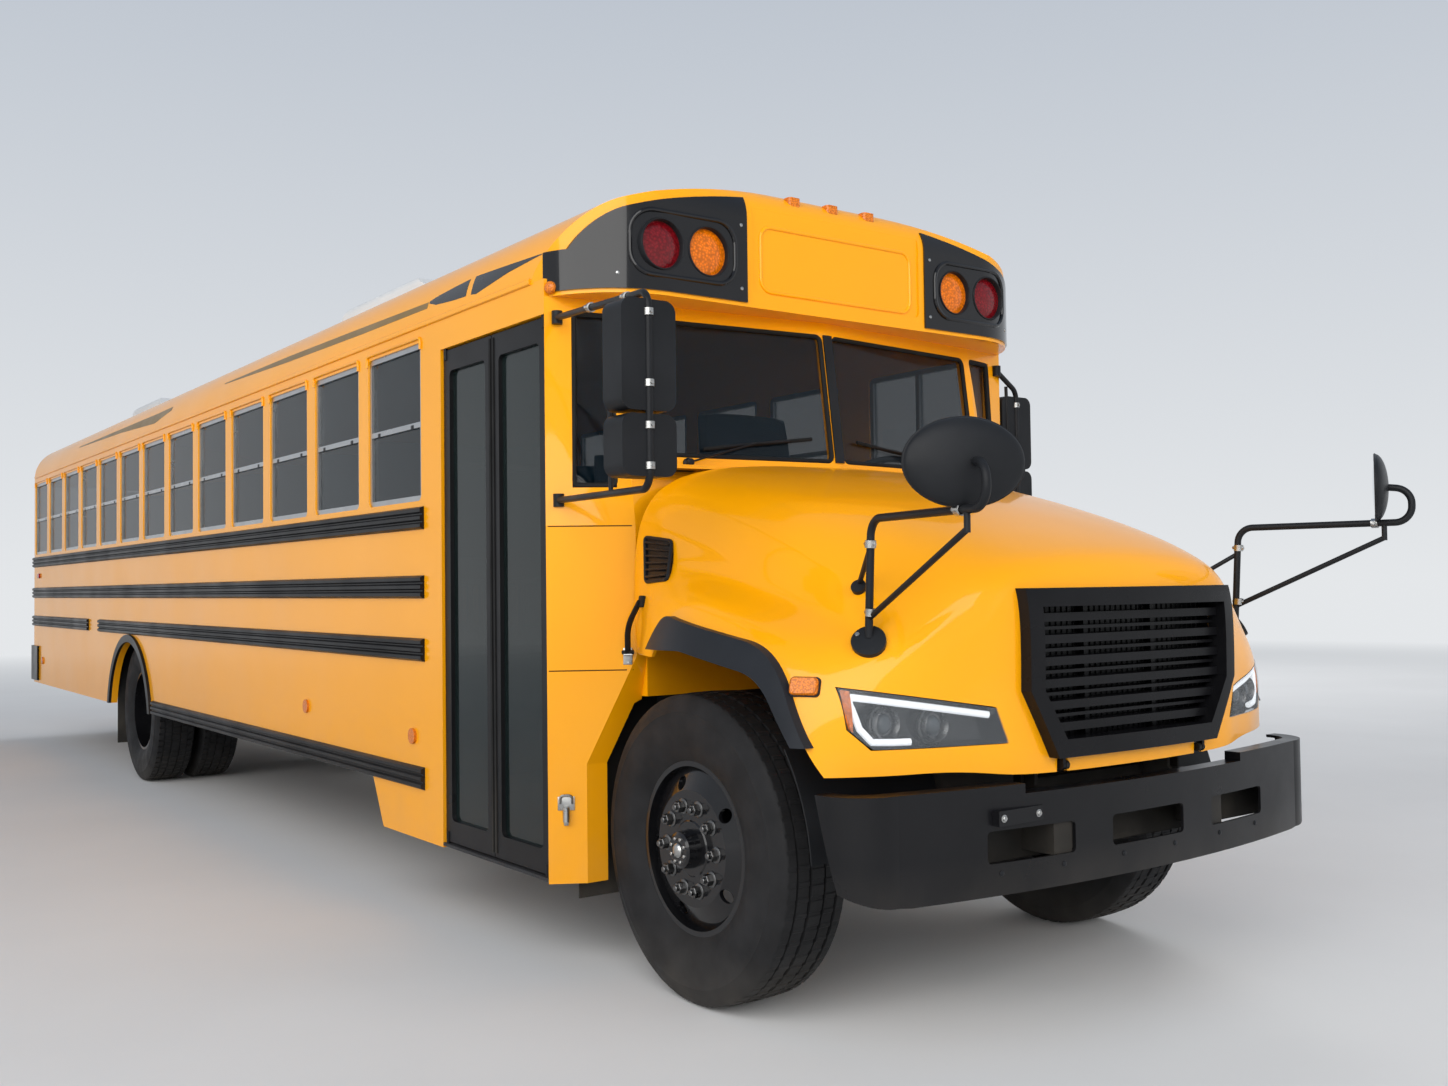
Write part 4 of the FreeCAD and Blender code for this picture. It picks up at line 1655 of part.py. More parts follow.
def build():
    os.makedirs("parts", exist_ok=True)
    spans = entrance_leaf_spans()
    left_wheel = front_wheel()
    left_twins = rear_wheels()
    left_knuckle = knuckle()
    front_tyre = tyre(FRONT_TYRE_Y, 0.0)
    twin_tyres = [tyre(REAR_OUTER_Y, REAR_AXLE_X), tyre(REAR_OUTER_Y - REAR_PAIR_SPACING, REAR_AXLE_X)]
    nodes = {
        "chassis_frame": [chassis_frame()],
        "front_axle": [front_axle()],
        "knuckle_left": [left_knuckle],
        "knuckle_right": [mirrored(left_knuckle)],
        "wheel_front_left": [left_wheel],
        "wheel_front_right": [mirrored(left_wheel)],
        "tyre_front_left": [front_tyre],
        "tyre_front_right": [mirrored(front_tyre)],
        "rear_axle": [rear_axle()],
        "wheels_rear_left": [left_twins],
        "wheels_rear_right": [mirrored(left_twins)],
        "tyres_rear_left": twin_tyres,
        "tyres_rear_right": [mirrored(t) for t in twin_tyres],
        "driveshaft": [driveshaft()],
        "engine_block": [engine_block()],
        "radiator": [radiator()],
        "exhaust": [exhaust()],
        "fuel_tank": [fuel_tank()],
        "mud_flaps": mud_flaps(),
        "front_bumper": [front_bumper()],
        "rear_bumper": [rear_bumper()],
        "floor": [floor()],
        "step_well": [step_well()],
        "side_wall_left": [side_wall_left()],
        "side_wall_right": [side_wall_right()],
        "rear_wall": [rear_wall()],
        "roof": [roof()],
        "roof_cap": [roof_cap()],
        "lamp_housings": both_sides(lamp_housing()) + both_sides(rear_lamp_housing()),
        "warning_lamps": warning_lamps(),
        "marker_lamps": marker_lamps(),
        "front_cowl": [front_cowl()],
        "window_glass": window_glass(),
        "window_frames": window_frames(),
        "side_trim": side_trim(),
        "entrance_leaf_rear": [entrance_leaf(*spans["rear"])],
        "entrance_leaf_front": [entrance_leaf(*spans["front"])],
        "entrance_glass_rear": [entrance_glass(*spans["rear"][:2])],
        "entrance_glass_front": [entrance_glass(*spans["front"][:2])],
        "emergency_door": [emergency_door()],
        "emergency_glass": emergency_glass(),
        "stop_bracket": [stop_bracket()],
        "stop_arm": [stop_arm()],
        "hood": [hood()],
        "grille": [grille()],
        "headlamps": both_sides(headlamp()),
        "fender_flares": both_sides(fender_flare()),
        "crossover_mirrors": both_sides(crossover_mirror()),
        "side_mirrors": [mirrored(side_mirror(RIGHT_MIRROR_X)), side_mirror(LEFT_MIRROR_X)],
        "seats": seats(),
        "seat_frames": seat_frames(),
        "dashboard": [dashboard()],
        "roof_units": roof_units(),
    }
    for name, pieces in nodes.items():
        write(name, pieces)


build()
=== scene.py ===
"""School bus: finishes for the CAD pieces, and the fine pieces that the CAD model leaves out.

Lengths are in metres. Places are given with x from the front axle, y to the left and z up, and at()
turns them into the row frame.
"""
import math

import bmesh
import bpy
from mathutils import Matrix, Vector
from mathutils.bvhtree import BVHTree


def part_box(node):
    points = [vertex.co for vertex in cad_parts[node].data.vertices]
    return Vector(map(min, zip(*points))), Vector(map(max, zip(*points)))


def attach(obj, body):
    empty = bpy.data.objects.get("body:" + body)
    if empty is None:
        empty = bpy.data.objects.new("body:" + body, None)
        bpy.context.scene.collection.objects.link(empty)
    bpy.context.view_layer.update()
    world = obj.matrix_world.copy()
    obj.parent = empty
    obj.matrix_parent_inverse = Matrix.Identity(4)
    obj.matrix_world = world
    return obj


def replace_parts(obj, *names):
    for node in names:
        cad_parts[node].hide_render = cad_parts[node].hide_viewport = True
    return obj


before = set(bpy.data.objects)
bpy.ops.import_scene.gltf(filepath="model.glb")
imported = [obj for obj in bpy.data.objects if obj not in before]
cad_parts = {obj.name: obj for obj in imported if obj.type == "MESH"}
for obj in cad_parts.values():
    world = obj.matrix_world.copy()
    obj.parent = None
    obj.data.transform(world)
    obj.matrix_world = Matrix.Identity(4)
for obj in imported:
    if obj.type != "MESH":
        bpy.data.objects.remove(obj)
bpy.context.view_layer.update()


def centre(node, axis):
    low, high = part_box(node)
    return (low[axis] + high[axis]) / 2.0


# Places shared by several pieces
AXLE = centre("wheel_front_right", 0)
REAR_AXLE = centre("wheels_rear_right", 0) - AXLE
AXLE_Z = centre("wheel_front_right", 2)
TYRE_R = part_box("tyre_front_right")[1][2] - AXLE_Z
FRONT_TYRE_Y = -centre("tyre_front_right", 1)
TYRE_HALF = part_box("tyre_front_right")[1][1] + FRONT_TYRE_Y
REAR_OUTER_Y = -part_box("tyres_rear_right")[0][1] - TYRE_HALF
REAR_INNER_Y = -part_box("tyres_rear_right")[1][1] + TYRE_HALF
WALL_Y = -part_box("side_wall_right")[0][1]
SIDES = ((-1.0, "right"), (1.0, "left"))
UP = Vector((0.0, 0.0, 1.0))
FORWARD = Vector((1.0, 0.0, 0.0))

# Where rays towards the bus start
AHEAD_X = 2.0
BEHIND_X = -13.0
BESIDE_Y = 3.0

# Camera, from the photograph: place, turn about Z, climb and roll in degrees, lens and film in mm
CAMERA_AT = (3.7465, -3.6088, 1.4059)
CAMERA_TURN = (53.666, 1.7845, -0.7248)
CAMERA_LENS = 33.5
CAMERA_SENSOR = 36.0

# Light
AMBIENT = 0.62
BACKDROP = (0.78, 0.8, 0.82)
ZENITH = (0.26, 0.33, 0.44)
ZENITH_FROM = 0.8
LAMP_COLOUR = (1.0, 0.98, 0.95)
FLOOR = (0.7, 0.7, 0.7)
FLOOR_FADE = (7.5, 26.0)
FLOOR_HALF = 90.0


def at(x, y, z):
    """The row frame's point for a place measured from the front axle."""
    return Vector((x + AXLE, y, z))


def spread(first, last, count):
    """Evenly spaced values from first to last."""
    return [first + (last - first) * number / (count - 1) for number in range(count)]


def turns(count, first=0.0):
    """The angles of evenly spaced spokes, from a share of one spacing."""
    return [2.0 * math.pi * (number + first) / count for number in range(count)]


# Materials


# The colour sockets of a mix node, which has several of each name
MIX_FIRST = 6
MIX_SECOND = 7
MIX_RESULT = 2


class Tree:
    """The node tree of a material or the world, with short calls for the nodes that recur."""

    def __init__(self, owner, shader="Principled BSDF", space="Object"):
        owner.use_nodes = True
        self.owner = owner
        self.nodes, self.links = owner.node_tree.nodes, owner.node_tree.links
        self.shader = self.nodes[shader]
        self.place = self.nodes.new("ShaderNodeTexCoord").outputs[space]

    def put(self, socket, value):
        """Gives a socket a plain value or another node's output."""
        if isinstance(value, bpy.types.NodeSocket):
            self.links.new(value, socket)
        else:
            socket.default_value = value

    def node(self, kind, output, inputs, operation=None):
        """Adds a node, fills its inputs and gives one of its outputs."""
        node = self.nodes.new("ShaderNode" + kind)
        if kind == "Mix":
            node.data_type = "RGBA"
        if operation:
            node.operation = operation
        for key, value in inputs.items():
            self.put(node.inputs[key], value)
        return node.outputs[output]

    def feed(self, **sockets):
        for key, value in sockets.items():
            self.put(self.shader.inputs[key.replace("_", " ")], value)

    def noise(self, scale, detail=4.0, stretch=None):
        """Noise from 0 to 1; stretch scales each axis first, which draws streaks."""
        place = self.place
        if stretch:
            place = self.node("Mapping", "Vector", {"Vector": place, "Scale": stretch})
        return self.node("TexNoise", "Fac", {"Vector": place, "Scale": scale, "Detail": detail})

    def ramp(self, value, low, high, to_low, to_high):
        return self.node("MapRange", "Result", {"Value": value, "From Min": low, "From Max": high,
                                                "To Min": to_low, "To Max": to_high})

    def clouds(self, scale, detail, to_low, to_high):
        """Soft noise that runs from to_low to to_high."""
        return self.ramp(self.noise(scale, detail), 0.3, 0.7, to_low, to_high)

    def height(self):
        return self.node("SeparateXYZ", "Z", {"Vector": self.place})

    def mix(self, factor, *colours):
        """Mixes two colours; each is a tuple or another node's output."""
        first, second = ((*colour, 1.0) if isinstance(colour, tuple) else colour for colour in colours)
        return self.node("Mix", MIX_RESULT, {"Factor": factor, MIX_FIRST: first, MIX_SECOND: second})

    def varied(self, value, colour, low, high):
        """The colour darkened by low where value is 0 and lightened by high where it is 1."""
        return self.mix(value, shade(colour, low), shade(colour, high))

    def bump(self, value, strength, depth):
        return self.node("Bump", "Normal", {"Height": value, "Strength": strength, "Distance": depth})


def material_tree(name):
    return Tree(bpy.data.materials.new(name))


def shade(colour, factor):
    return tuple(min(1.0, channel * factor) for channel in colour)


def finish(name, colour, roughness, mottle, smear, grain, dust=None, stretch=None, **sockets):
    """A finish with colour that varies, roughness that smears and a fine grain.

    mottle and smear are (scale, amount), grain is (scale, strength, depth), and dust is
    (low, high, amount): a film of road dust, strongest below low and gone above high.
    """
    tree = material_tree(name)
    tone = tree.varied(tree.clouds(mottle[0], 4.0, 0.0, 1.0), colour, 1.0 - mottle[1], 1.0 + mottle[1])
    if dust:
        low, high, amount = dust
        patches = tree.ramp(tree.noise(5.0, 8.0), 0.35, 0.65, 0.3, 1.0)
        film = tree.node("Math", "Value", {0: tree.ramp(tree.height(), low, high, amount, 0.0), 1: patches},
                         operation="MULTIPLY")
        tone = tree.mix(film, tone, ROAD_DUST)
    scale, strength, depth = grain
    tree.feed(Base_Color=tone, Normal=tree.bump(tree.noise(scale, 3.0, stretch), strength, depth),
              Roughness=tree.clouds(smear[0], 6.0, roughness - smear[1], roughness + smear[1]),
              **{"Specular_IOR_Level": DULL, **sockets})
    return tree.owner


def lens_finish(name, colour, facets, **sockets):
    """A moulded lamp lens: small pillow facets under a glossy face, each painted lighter at its middle and
    darker at its edges (painted highlight and shade).
    """
    tree = material_tree(name)
    facet = tree.node("TexVoronoi", "Distance", {"Vector": tree.place, "Scale": facets})
    # The lens colour is painted lighter at each facet's middle and darker towards its edges: painted highlight
    # and shade on the facets
    tree.feed(Base_Color=tree.varied(tree.ramp(facet, 0.0, 0.7, 0.0, 1.0), colour, 1.25, 0.55),
              Normal=tree.bump(facet, 0.5, 0.003), Roughness=tree.clouds(30.0, 4.0, 0.1, 0.2),
              Coat_Weight=0.4, Coat_Roughness=0.04, Specular_IOR_Level=0.2, **sockets)
    return tree.owner


def glass_finish(name, colour, alpha):
    """Tinted glass that lets part of the view through, with faint water marks."""
    tree = material_tree(name)
    tree.feed(Base_Color=tree.varied(tree.clouds(0.9, 4.0, 0.0, 1.0), colour, 0.8, 1.3), Alpha=alpha,
              Roughness=tree.ramp(tree.noise(6.0, 8.0), 0.35, 0.75, 0.015, 0.06),
              Normal=tree.bump(tree.noise(1.1, 1.0), 0.05, 0.01), Specular_IOR_Level=0.5, IOR=1.5)
    return tree.owner


DULL = 0.15
ROAD_DUST = (0.3, 0.26, 0.21)
YELLOW = (0.9, 0.365, 0.0)

# Each finish with the name of its material slot; what only the solids wear has none
FINISH = {
    "yellow": ("bus_yellow", finish(
        "bus_yellow_paint", YELLOW, 0.38, (0.8, 0.035), (1.7, 0.05), (260.0, 0.05, 0.0004),
        (0.45, 0.95, 0.08), Coat_Weight=0.55, Coat_Roughness=0.06)),
    "gloss": ("gloss_black", finish(
        "gloss_black_paint", (0.006, 0.006, 0.007), 0.16, (2.0, 0.2), (3.0, 0.05), (200.0, 0.05, 0.0004),
        Coat_Weight=0.6, Coat_Roughness=0.04)),
    "bumper": ("bumper_black", finish(
        "bumper_black_paint", (0.005, 0.005, 0.006), 0.34, (3.0, 0.25), (4.0, 0.09), (420.0, 0.18, 0.0006),
        (0.48, 0.62, 0.05), Coat_Weight=0.2, Coat_Roughness=0.2)),
    "rail": ("rail_black", finish(
        "guard_rail_black", (0.008, 0.008, 0.009), 0.36, (2.0, 0.25), (3.0, 0.08), (300.0, 0.12, 0.0005),
        (0.5, 0.8, 0.05))),
    "flare": ("trim_plastic", finish(
        "moulded_flare_plastic", (0.014, 0.016, 0.02), 0.42, (4.0, 0.2), (6.0, 0.07),
        (900.0, 0.35, 0.0005))),
    "trim": ("trim_plastic", finish(
        "black_trim_plastic", (0.013, 0.014, 0.016), 0.4, (5.0, 0.2), (6.0, 0.08), (1100.0, 0.3, 0.0004))),
    "door": ("door_black", finish(
        "door_frame_black", (0.01, 0.01, 0.011), 0.33, (3.0, 0.2), (4.0, 0.08), (500.0, 0.12, 0.0004))),
    "grille": ("grille_black", finish(
        "grille_black", (0.006, 0.006, 0.007), 0.3, (4.0, 0.25), (5.0, 0.08), (700.0, 0.2, 0.0004))),
    "rubber": ("rubber_black", finish(
        "black_rubber", (0.012, 0.012, 0.012), 0.68, (6.0, 0.2), (9.0, 0.08), (600.0, 0.4, 0.0006),
        (0.3, 0.8, 0.15))),
    "tyre": ("tyre", finish(
        "tyre_rubber", (0.016, 0.016, 0.017), 0.62, (9.0, 0.25), (12.0, 0.1), (520.0, 0.45, 0.0008),
        (0.02, 0.25, 0.12))),
    "wheel": ("wheel_black", finish(
        "wheel_black_enamel", (0.006, 0.006, 0.007), 0.2, (5.0, 0.2), (6.0, 0.08), (260.0, 0.08, 0.0005),
        Coat_Weight=0.6, Coat_Roughness=0.08)),
    "frame": ("frame_black", finish(
        "chassis_black", (0.01, 0.01, 0.01), 0.52, (4.0, 0.3), (5.0, 0.12), (180.0, 0.3, 0.001),
        (0.2, 1.0, 0.18))),
    "iron": (None, finish(
        "forged_axle_black", (0.014, 0.013, 0.013), 0.55, (9.0, 0.35), (8.0, 0.12), (120.0, 0.6, 0.0015),
        (0.2, 0.9, 0.25))),
    "steel": ("steel", finish(
        "bare_steel", (0.42, 0.42, 0.41), 0.32, (20.0, 0.12), (30.0, 0.1), (420.0, 0.25, 0.0005),
        stretch=(1.0, 1.0, 14.0), Metallic=1.0)),
    "dark_steel": ("steel", finish(
        "oiled_steel", (0.14, 0.14, 0.14), 0.3, (30.0, 0.2), (30.0, 0.1), (500.0, 0.2, 0.0004),
        Metallic=1.0)),
    "chrome": ("steel", finish(
        "bright_chrome", (0.8, 0.81, 0.83), 0.1, (12.0, 0.04), (18.0, 0.05), (300.0, 0.05, 0.0003),
        Metallic=1.0)),
    "engine": (None, finish(
        "engine_grey_enamel", (0.1, 0.11, 0.12), 0.5, (7.0, 0.2), (6.0, 0.1), (90.0, 0.5, 0.002))),
    "radiator": (None, finish(
        "radiator_core", (0.05, 0.05, 0.055), 0.45, (9.0, 0.2), (9.0, 0.1), (140.0, 0.8, 0.003),
        stretch=(1.0, 1.0, 12.0), Metallic=0.6)),
    "floor_rubber": (None, finish(
        "ribbed_floor_rubber", (0.035, 0.035, 0.037), 0.6, (5.0, 0.2), (7.0, 0.1), (60.0, 0.5, 0.002),
        stretch=(0.2, 9.0, 1.0))),
    "alloy": ("window_alloy", finish(
        "window_alloy", (0.46, 0.47, 0.48), 0.34, (8.0, 0.06), (12.0, 0.08), (350.0, 0.2, 0.0004),
        stretch=(0.05, 1.0, 8.0), Metallic=1.0)),
    "dash": ("dash_plastic", finish(
        "dash_plastic", (0.022, 0.023, 0.025), 0.6, (5.0, 0.15), (6.0, 0.08), (800.0, 0.5, 0.0008))),
    "white": ("unit_white", finish(
        "roof_unit_white", (0.72, 0.73, 0.73), 0.38, (2.0, 0.04), (3.0, 0.08), (300.0, 0.1, 0.0004))),
    "seat_steel": ("seat_steel", finish(
        "seat_frame_grey", (0.05, 0.05, 0.055), 0.4, (9.0, 0.15), (9.0, 0.08), (300.0, 0.2, 0.0005))),
    "vinyl": ("seat_vinyl", finish(
        "seat_vinyl", (0.02, 0.026, 0.04), 0.48, (4.0, 0.15), (6.0, 0.08), (420.0, 0.6, 0.0009))),
    "red_paint": ("sign_red", finish(
        "sign_red_sheeting", (0.52, 0.01, 0.012), 0.35, (3.0, 0.06), (5.0, 0.06), (700.0, 0.35, 0.0006))),
    "white_paint": ("unit_white", finish(
        "white_sheeting", (0.8, 0.8, 0.78), 0.35, (3.0, 0.04), (5.0, 0.06), (700.0, 0.35, 0.0006))),
    # The dark bands on the roof's rounded edge: painted reflection, black behind the cap and dim yellow-brown
    # further back
    "reflection_dark": ("gloss_black", finish(
        "roof_stripe_black", (0.008, 0.008, 0.009), 0.28, (3.0, 0.2), (4.0, 0.06), (300.0, 0.06, 0.0003),
        Coat_Weight=0.5, Coat_Roughness=0.06)),
    "reflection_dim": ("gloss_black", finish(
        "roof_stripe_grey", (0.2, 0.13, 0.045), 0.35, (3.0, 0.15), (4.0, 0.06), (300.0, 0.08, 0.0003))),
    "seam": ("bus_yellow", finish(
        "panel_seam", (0.09, 0.035, 0.002), 0.7, (8.0, 0.25), (6.0, 0.1), (300.0, 0.2, 0.0004))),
    "amber": ("lamp_amber", lens_finish(
        "amber_lens", (0.72, 0.16, 0.002), 95.0, Emission_Color=(0.9, 0.22, 0.0, 1.0),
        Emission_Strength=0.12)),
    "red": ("lamp_warning", lens_finish(
        "red_lens", (0.16, 0.004, 0.008), 95.0, Emission_Color=(0.5, 0.0, 0.01, 1.0),
        Emission_Strength=0.04)),
    "marker": ("lamp_amber", lens_finish("marker_lens", (0.85, 0.22, 0.01), 180.0)),
    "red_marker": ("lamp_warning", lens_finish("red_marker_lens", (0.45, 0.01, 0.012), 180.0)),
    "eye": ("headlamp", finish(
        "projector_glass", (0.05, 0.06, 0.07), 0.06, (9.0, 0.2), (9.0, 0.02), (60.0, 0.05, 0.0005),
        Coat_Weight=1.0, Coat_Roughness=0.02)),
    "clear_lens": ("headlamp", glass_finish("headlamp_cover", (0.25, 0.27, 0.29), 0.16)),
    "shield": (None, glass_finish("windshield_glass", (0.003, 0.01, 0.016), 0.3)),
    "tinted": (None, glass_finish("side_window_glass", (0.004, 0.011, 0.016), 0.62)),
    "door_glass": (None, glass_finish("door_glass", (0.008, 0.014, 0.014), 0.8)),
    "mirror": ("steel", finish(
        "mirror_glass", (0.62, 0.66, 0.7), 0.03, (1.0, 0.02), (1.0, 0.01), (3.0, 0.02, 0.001),
        Metallic=1.0)),
    "light_bar": ("headlamp", finish(
        "light_bar_white", (0.9, 0.92, 0.95), 0.3, (9.0, 0.03), (9.0, 0.05), (200.0, 0.1, 0.0003),
        Emission_Color=(0.9, 0.95, 1.0, 1.0), Emission_Strength=0.55)),
}

CLOTHES = {
    "yellow": ("side_wall_left", "side_wall_right", "rear_wall", "roof", "roof_cap", "front_cowl",
               "emergency_door", "hood"),
    "frame": ("chassis_frame", "driveshaft", "fuel_tank"),
    "iron": ("front_axle", "rear_axle", "knuckle_left", "knuckle_right"),
    "wheel": ("wheel_front_left", "wheel_front_right", "wheels_rear_left", "wheels_rear_right"),
    "tyre": ("tyre_front_left", "tyre_front_right", "tyres_rear_left", "tyres_rear_right"),
    "bumper": ("front_bumper", "rear_bumper"),
    "floor_rubber": ("floor", "step_well"),
    "door": ("entrance_leaf_rear", "entrance_leaf_front"),
    "door_glass": ("entrance_glass_rear", "entrance_glass_front"),
    "trim": ("stop_bracket", "crossover_mirrors", "side_mirrors"),
    "engine": ("engine_block",), "radiator": ("radiator",), "steel": ("exhaust",), "rubber": ("mud_flaps",),
    "gloss": ("lamp_housings",), "alloy": ("window_frames",), "rail": ("side_trim",),
    "tinted": ("emergency_glass",), "red_paint": ("stop_arm",), "grille": ("grille",),
    "clear_lens": ("headlamps",), "flare": ("fender_flares",), "vinyl": ("seats",),
    "seat_steel": ("seat_frames",), "dash": ("dashboard",), "white": ("roof_units",),
}

# Where a node's second finish starts
SHIELD_REAR_X = AXLE - 0.62
RED_LAMP_Y = 0.76
REAR_MARKERS_X = AXLE - 10.6


def clothe(node, *finishes, second=None):
    """Gives a CAD node its finishes; second says which faces wear the second one, by their centre."""
    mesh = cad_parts[node].data
    mesh.materials.clear()
    for name in finishes:
        mesh.materials.append(FINISH[name][1])
    for face in mesh.polygons:
        face.material_index = int(second(face.center)) if second else 0


for finish_name, nodes in CLOTHES.items():
    for node in nodes:
        clothe(node, finish_name)
clothe("window_glass", "tinted", "shield", second=lambda spot: spot.x > SHIELD_REAR_X)
clothe("warning_lamps", "amber", "red", second=lambda spot: abs(spot.y) > RED_LAMP_Y)
clothe("marker_lamps", "marker", "red_marker", second=lambda spot: spot.x < REAR_MARKERS_X)


# Finding places on the solids

TREES = {}


def touch(node, start, direction):
    """Where a ray from start meets a CAD node, and the surface's normal there."""
    if node not in TREES:
        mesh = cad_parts[node].data
        TREES[node] = BVHTree.FromPolygons([vertex.co.copy() for vertex in mesh.vertices],
                                           [tuple(face.vertices) for face in mesh.polygons])
    point, normal, _, _ = TREES[node].ray_cast(start, direction.normalized())
    if point is None:
        raise ValueError(f"no {node} in front of {tuple(start)}")
    return point, normal if normal.dot(direction) < 0 else -normal


def from_front(node, y, z):
    return touch(node, at(AHEAD_X, y, z), -FORWARD)


def from_behind(node, y, z):
    return touch(node, at(BEHIND_X, y, z), FORWARD)


def from_side(node, x, side, z):
    return touch(node, at(x, side * BESIDE_Y, z), Vector((0.0, -side, 0.0)))


def touch_plane(node, spot, inside, direction):
    """Where a ray from spot meets the flat face that a ray from inside meets, also past its edge."""
    point, normal = touch(node, inside, direction)
    ahead = direction.normalized()
    return spot + ahead * ((point - spot).dot(normal) / ahead.dot(normal)), normal


def facing(point, normal, up=UP):
    """A frame at point: X level along the surface, Y up it and Z out of it."""
    out = normal.normalized()
    along = up.cross(out).normalized()
    return Matrix.Translation(point) @ Matrix((along, out.cross(along), out)).transposed().to_4x4()


# Building shapes


def side_of(axis):
    """A direction square to the axis."""
    return axis.cross(UP if abs(axis.z) < 0.9 else FORWARD).normalized()


class Shape:
    """Collects the faces of one piece, which wears one finish and rides on one body."""

    def __init__(self, name, finish_name, body="bus_body", angle=35.0):
        self.name, self.finish_name, self.body, self.angle = name, finish_name, body, angle
        self.mesh = bmesh.new()

    def skin(self, rings, loop=False, ends=(True, True)):
        """Joins rings of points, all the same length, and closes the ends that ask for it."""
        rows = [[self.mesh.verts.new(point) for point in ring] for ring in rings]
        count = len(rows[0])
        for near, far in zip(rows, rows[1:] + (rows[:1] if loop else [])):
            for number in range(count):
                after = (number + 1) % count
                self.mesh.faces.new((near[number], near[after], far[after], far[number]))
        for row, closed in ((rows[0], ends[0]), (rows[-1], ends[1])):
            if closed and not loop:
                self.mesh.faces.new(row)

    def tube(self, points, radius, sides=10, flat=1.0):
        """A rod along points; flat squeezes it along its second axis."""
        rings = []
        side = None
        for number, point in enumerate(points):
            ahead = (points[min(number + 1, len(points) - 1)] - points[max(number - 1, 0)]).normalized()
            side = side_of(ahead) if side is None else side
            side = (side - ahead * side.dot(ahead)).normalized()
            over = ahead.cross(side)
            rings.append([point + (side * math.cos(turn) + over * math.sin(turn) * flat) * radius
                          for turn in turns(sides)])
        self.skin(rings)

    def lathe(self, profile, middle, axis, steps=40, loop=False, place=Matrix()):
        """Turns (radius, distance along the axis) points about an axis through middle, all in a frame."""
        side = side_of(axis)
        over = axis.cross(side)
        self.skin([[place @ (middle + axis * along + (side * math.cos(turn) + over * math.sin(turn)) * radius)
                    for turn in turns(steps)] for radius, along in profile], loop)

    def block(self, matrix, size, edge=0.002, middle=(0.0, 0.0, 0.0)):
        """A box of size in the frame of matrix, with its edges rounded off."""
        place = matrix @ Matrix.Translation(middle) @ Matrix.Diagonal((*size, 1.0))
        corners = bmesh.ops.create_cube(self.mesh, size=1.0, matrix=place)["verts"]
        edges = list({one for corner in corners for one in corner.link_edges})
        bmesh.ops.bevel(self.mesh, geom=edges, offset=edge, segments=2, profile=0.5, affect="EDGES")

    def plate(self, matrix, outline, low, high, edge):
        """An outline in the frame's X and Y, thick from low to high along its Z, with a chamfered front."""
        flat = [Vector((x, y, 0.0)) for x, y in outline]
        middle = sum(flat, Vector()) / len(flat)
        smaller = [spot + (middle - spot).normalized() * edge for spot in flat]
        self.skin([[matrix @ (spot + UP * level) for spot in ring]
                   for ring, level in ((flat, low), (flat, high - edge), (smaller, high))])

    def film(self, rows, lift, sink=0.002):
        """A thin layer over a surface: rows of (point, normal), raised by lift and sunk a little below."""
        last_row, last = len(rows) - 1, len(rows[0]) - 1
        above, below = ([[self.mesh.verts.new(point + normal * level) for point, normal in row] for row in rows]
                        for level in (lift, -sink))
        for layer in (above, below):
            for first, second in zip(layer, layer[1:]):
                for number in range(last):
                    self.mesh.faces.new((first[number], first[number + 1], second[number + 1], second[number]))
        rim = [(0, j) for j in range(last)] + [(i, last) for i in range(last_row)]
        rim += [(last_row, j) for j in range(last, 0, -1)] + [(i, 0) for i in range(last_row, 0, -1)]
        for (i, j), (k, m) in zip(rim, rim[1:] + rim[:1]):
            self.mesh.faces.new((above[i][j], above[k][m], below[k][m], below[i][j]))

    def nut(self, matrix, radius, height, sides=6):
        """A chamfered nut or bolt head standing on the frame's X and Y plane."""
        self.skin([[matrix @ Vector((radius * share * math.cos(turn), radius * share * math.sin(turn),
                                     height * level)) for turn in turns(sides)]
                   for share, level in ((1.0, 0.0), (1.0, 0.85), (0.86, 1.0))])

    def done(self):
        """Makes the object, finishes it and lets it ride on its body."""
        bmesh.ops.remove_doubles(self.mesh, verts=self.mesh.verts, dist=0.000002)
        bmesh.ops.recalc_face_normals(self.mesh, faces=self.mesh.faces)
        mesh = bpy.data.meshes.new(self.name)
        self.mesh.to_mesh(mesh)
        self.mesh.free()
        slot, material = FINISH[self.finish_name]
        mesh.materials.append(material)
        mesh.shade_smooth()
        mesh.set_sharp_from_angle(angle=math.radians(self.angle))
        piece = bpy.data.objects.new(self.name, mesh)
        bpy.context.collection.objects.link(piece)
        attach(piece, self.body)
        return piece


def all_done(*shapes):
    for shape in shapes:
        shape.done()


def smooth_path(points, bend=0.03, steps=5):
    """The corners of a path rounded by short curves."""
    path = [points[0]]
    for before, corner, after in zip(points, points[1:], points[2:]):
        reach = min(bend, (before - corner).length / 2.2, (after - corner).length / 2.2)
        start = corner + (before - corner).normalized() * reach
        end = corner + (after - corner).normalized() * reach
        for share in spread(0.0, 1.0, steps + 1):
            path.append(start * (1 - share) ** 2 + corner * 2 * share * (1 - share) + end * share ** 2)
    return path + [points[-1]]


def in_frame(place, *spots):
    """Points given in a frame's own X, Y and Z."""
    return [place @ Vector(spot) for spot in spots]


def rounded(width, height, radius, steps=5):
    """A rounded rectangle as a list of (x, y) points."""
    points = []
    for quarter, (x, y) in enumerate(((1, 1), (-1, 1), (-1, -1), (1, -1))):
        for step in range(steps + 1):
            turn = math.pi / 2.0 * (quarter + step / steps)
            points.append((x * (width / 2.0 - radius) + radius * math.cos(turn),
                           y * (height / 2.0 - radius) + radius * math.sin(turn)))
    return points


def corners_of(x0, x1, y0, y1):
    """The four corners of a rectangle, in turn."""
    return (x0, y0), (x1, y0), (x1, y1), (x0, y1)


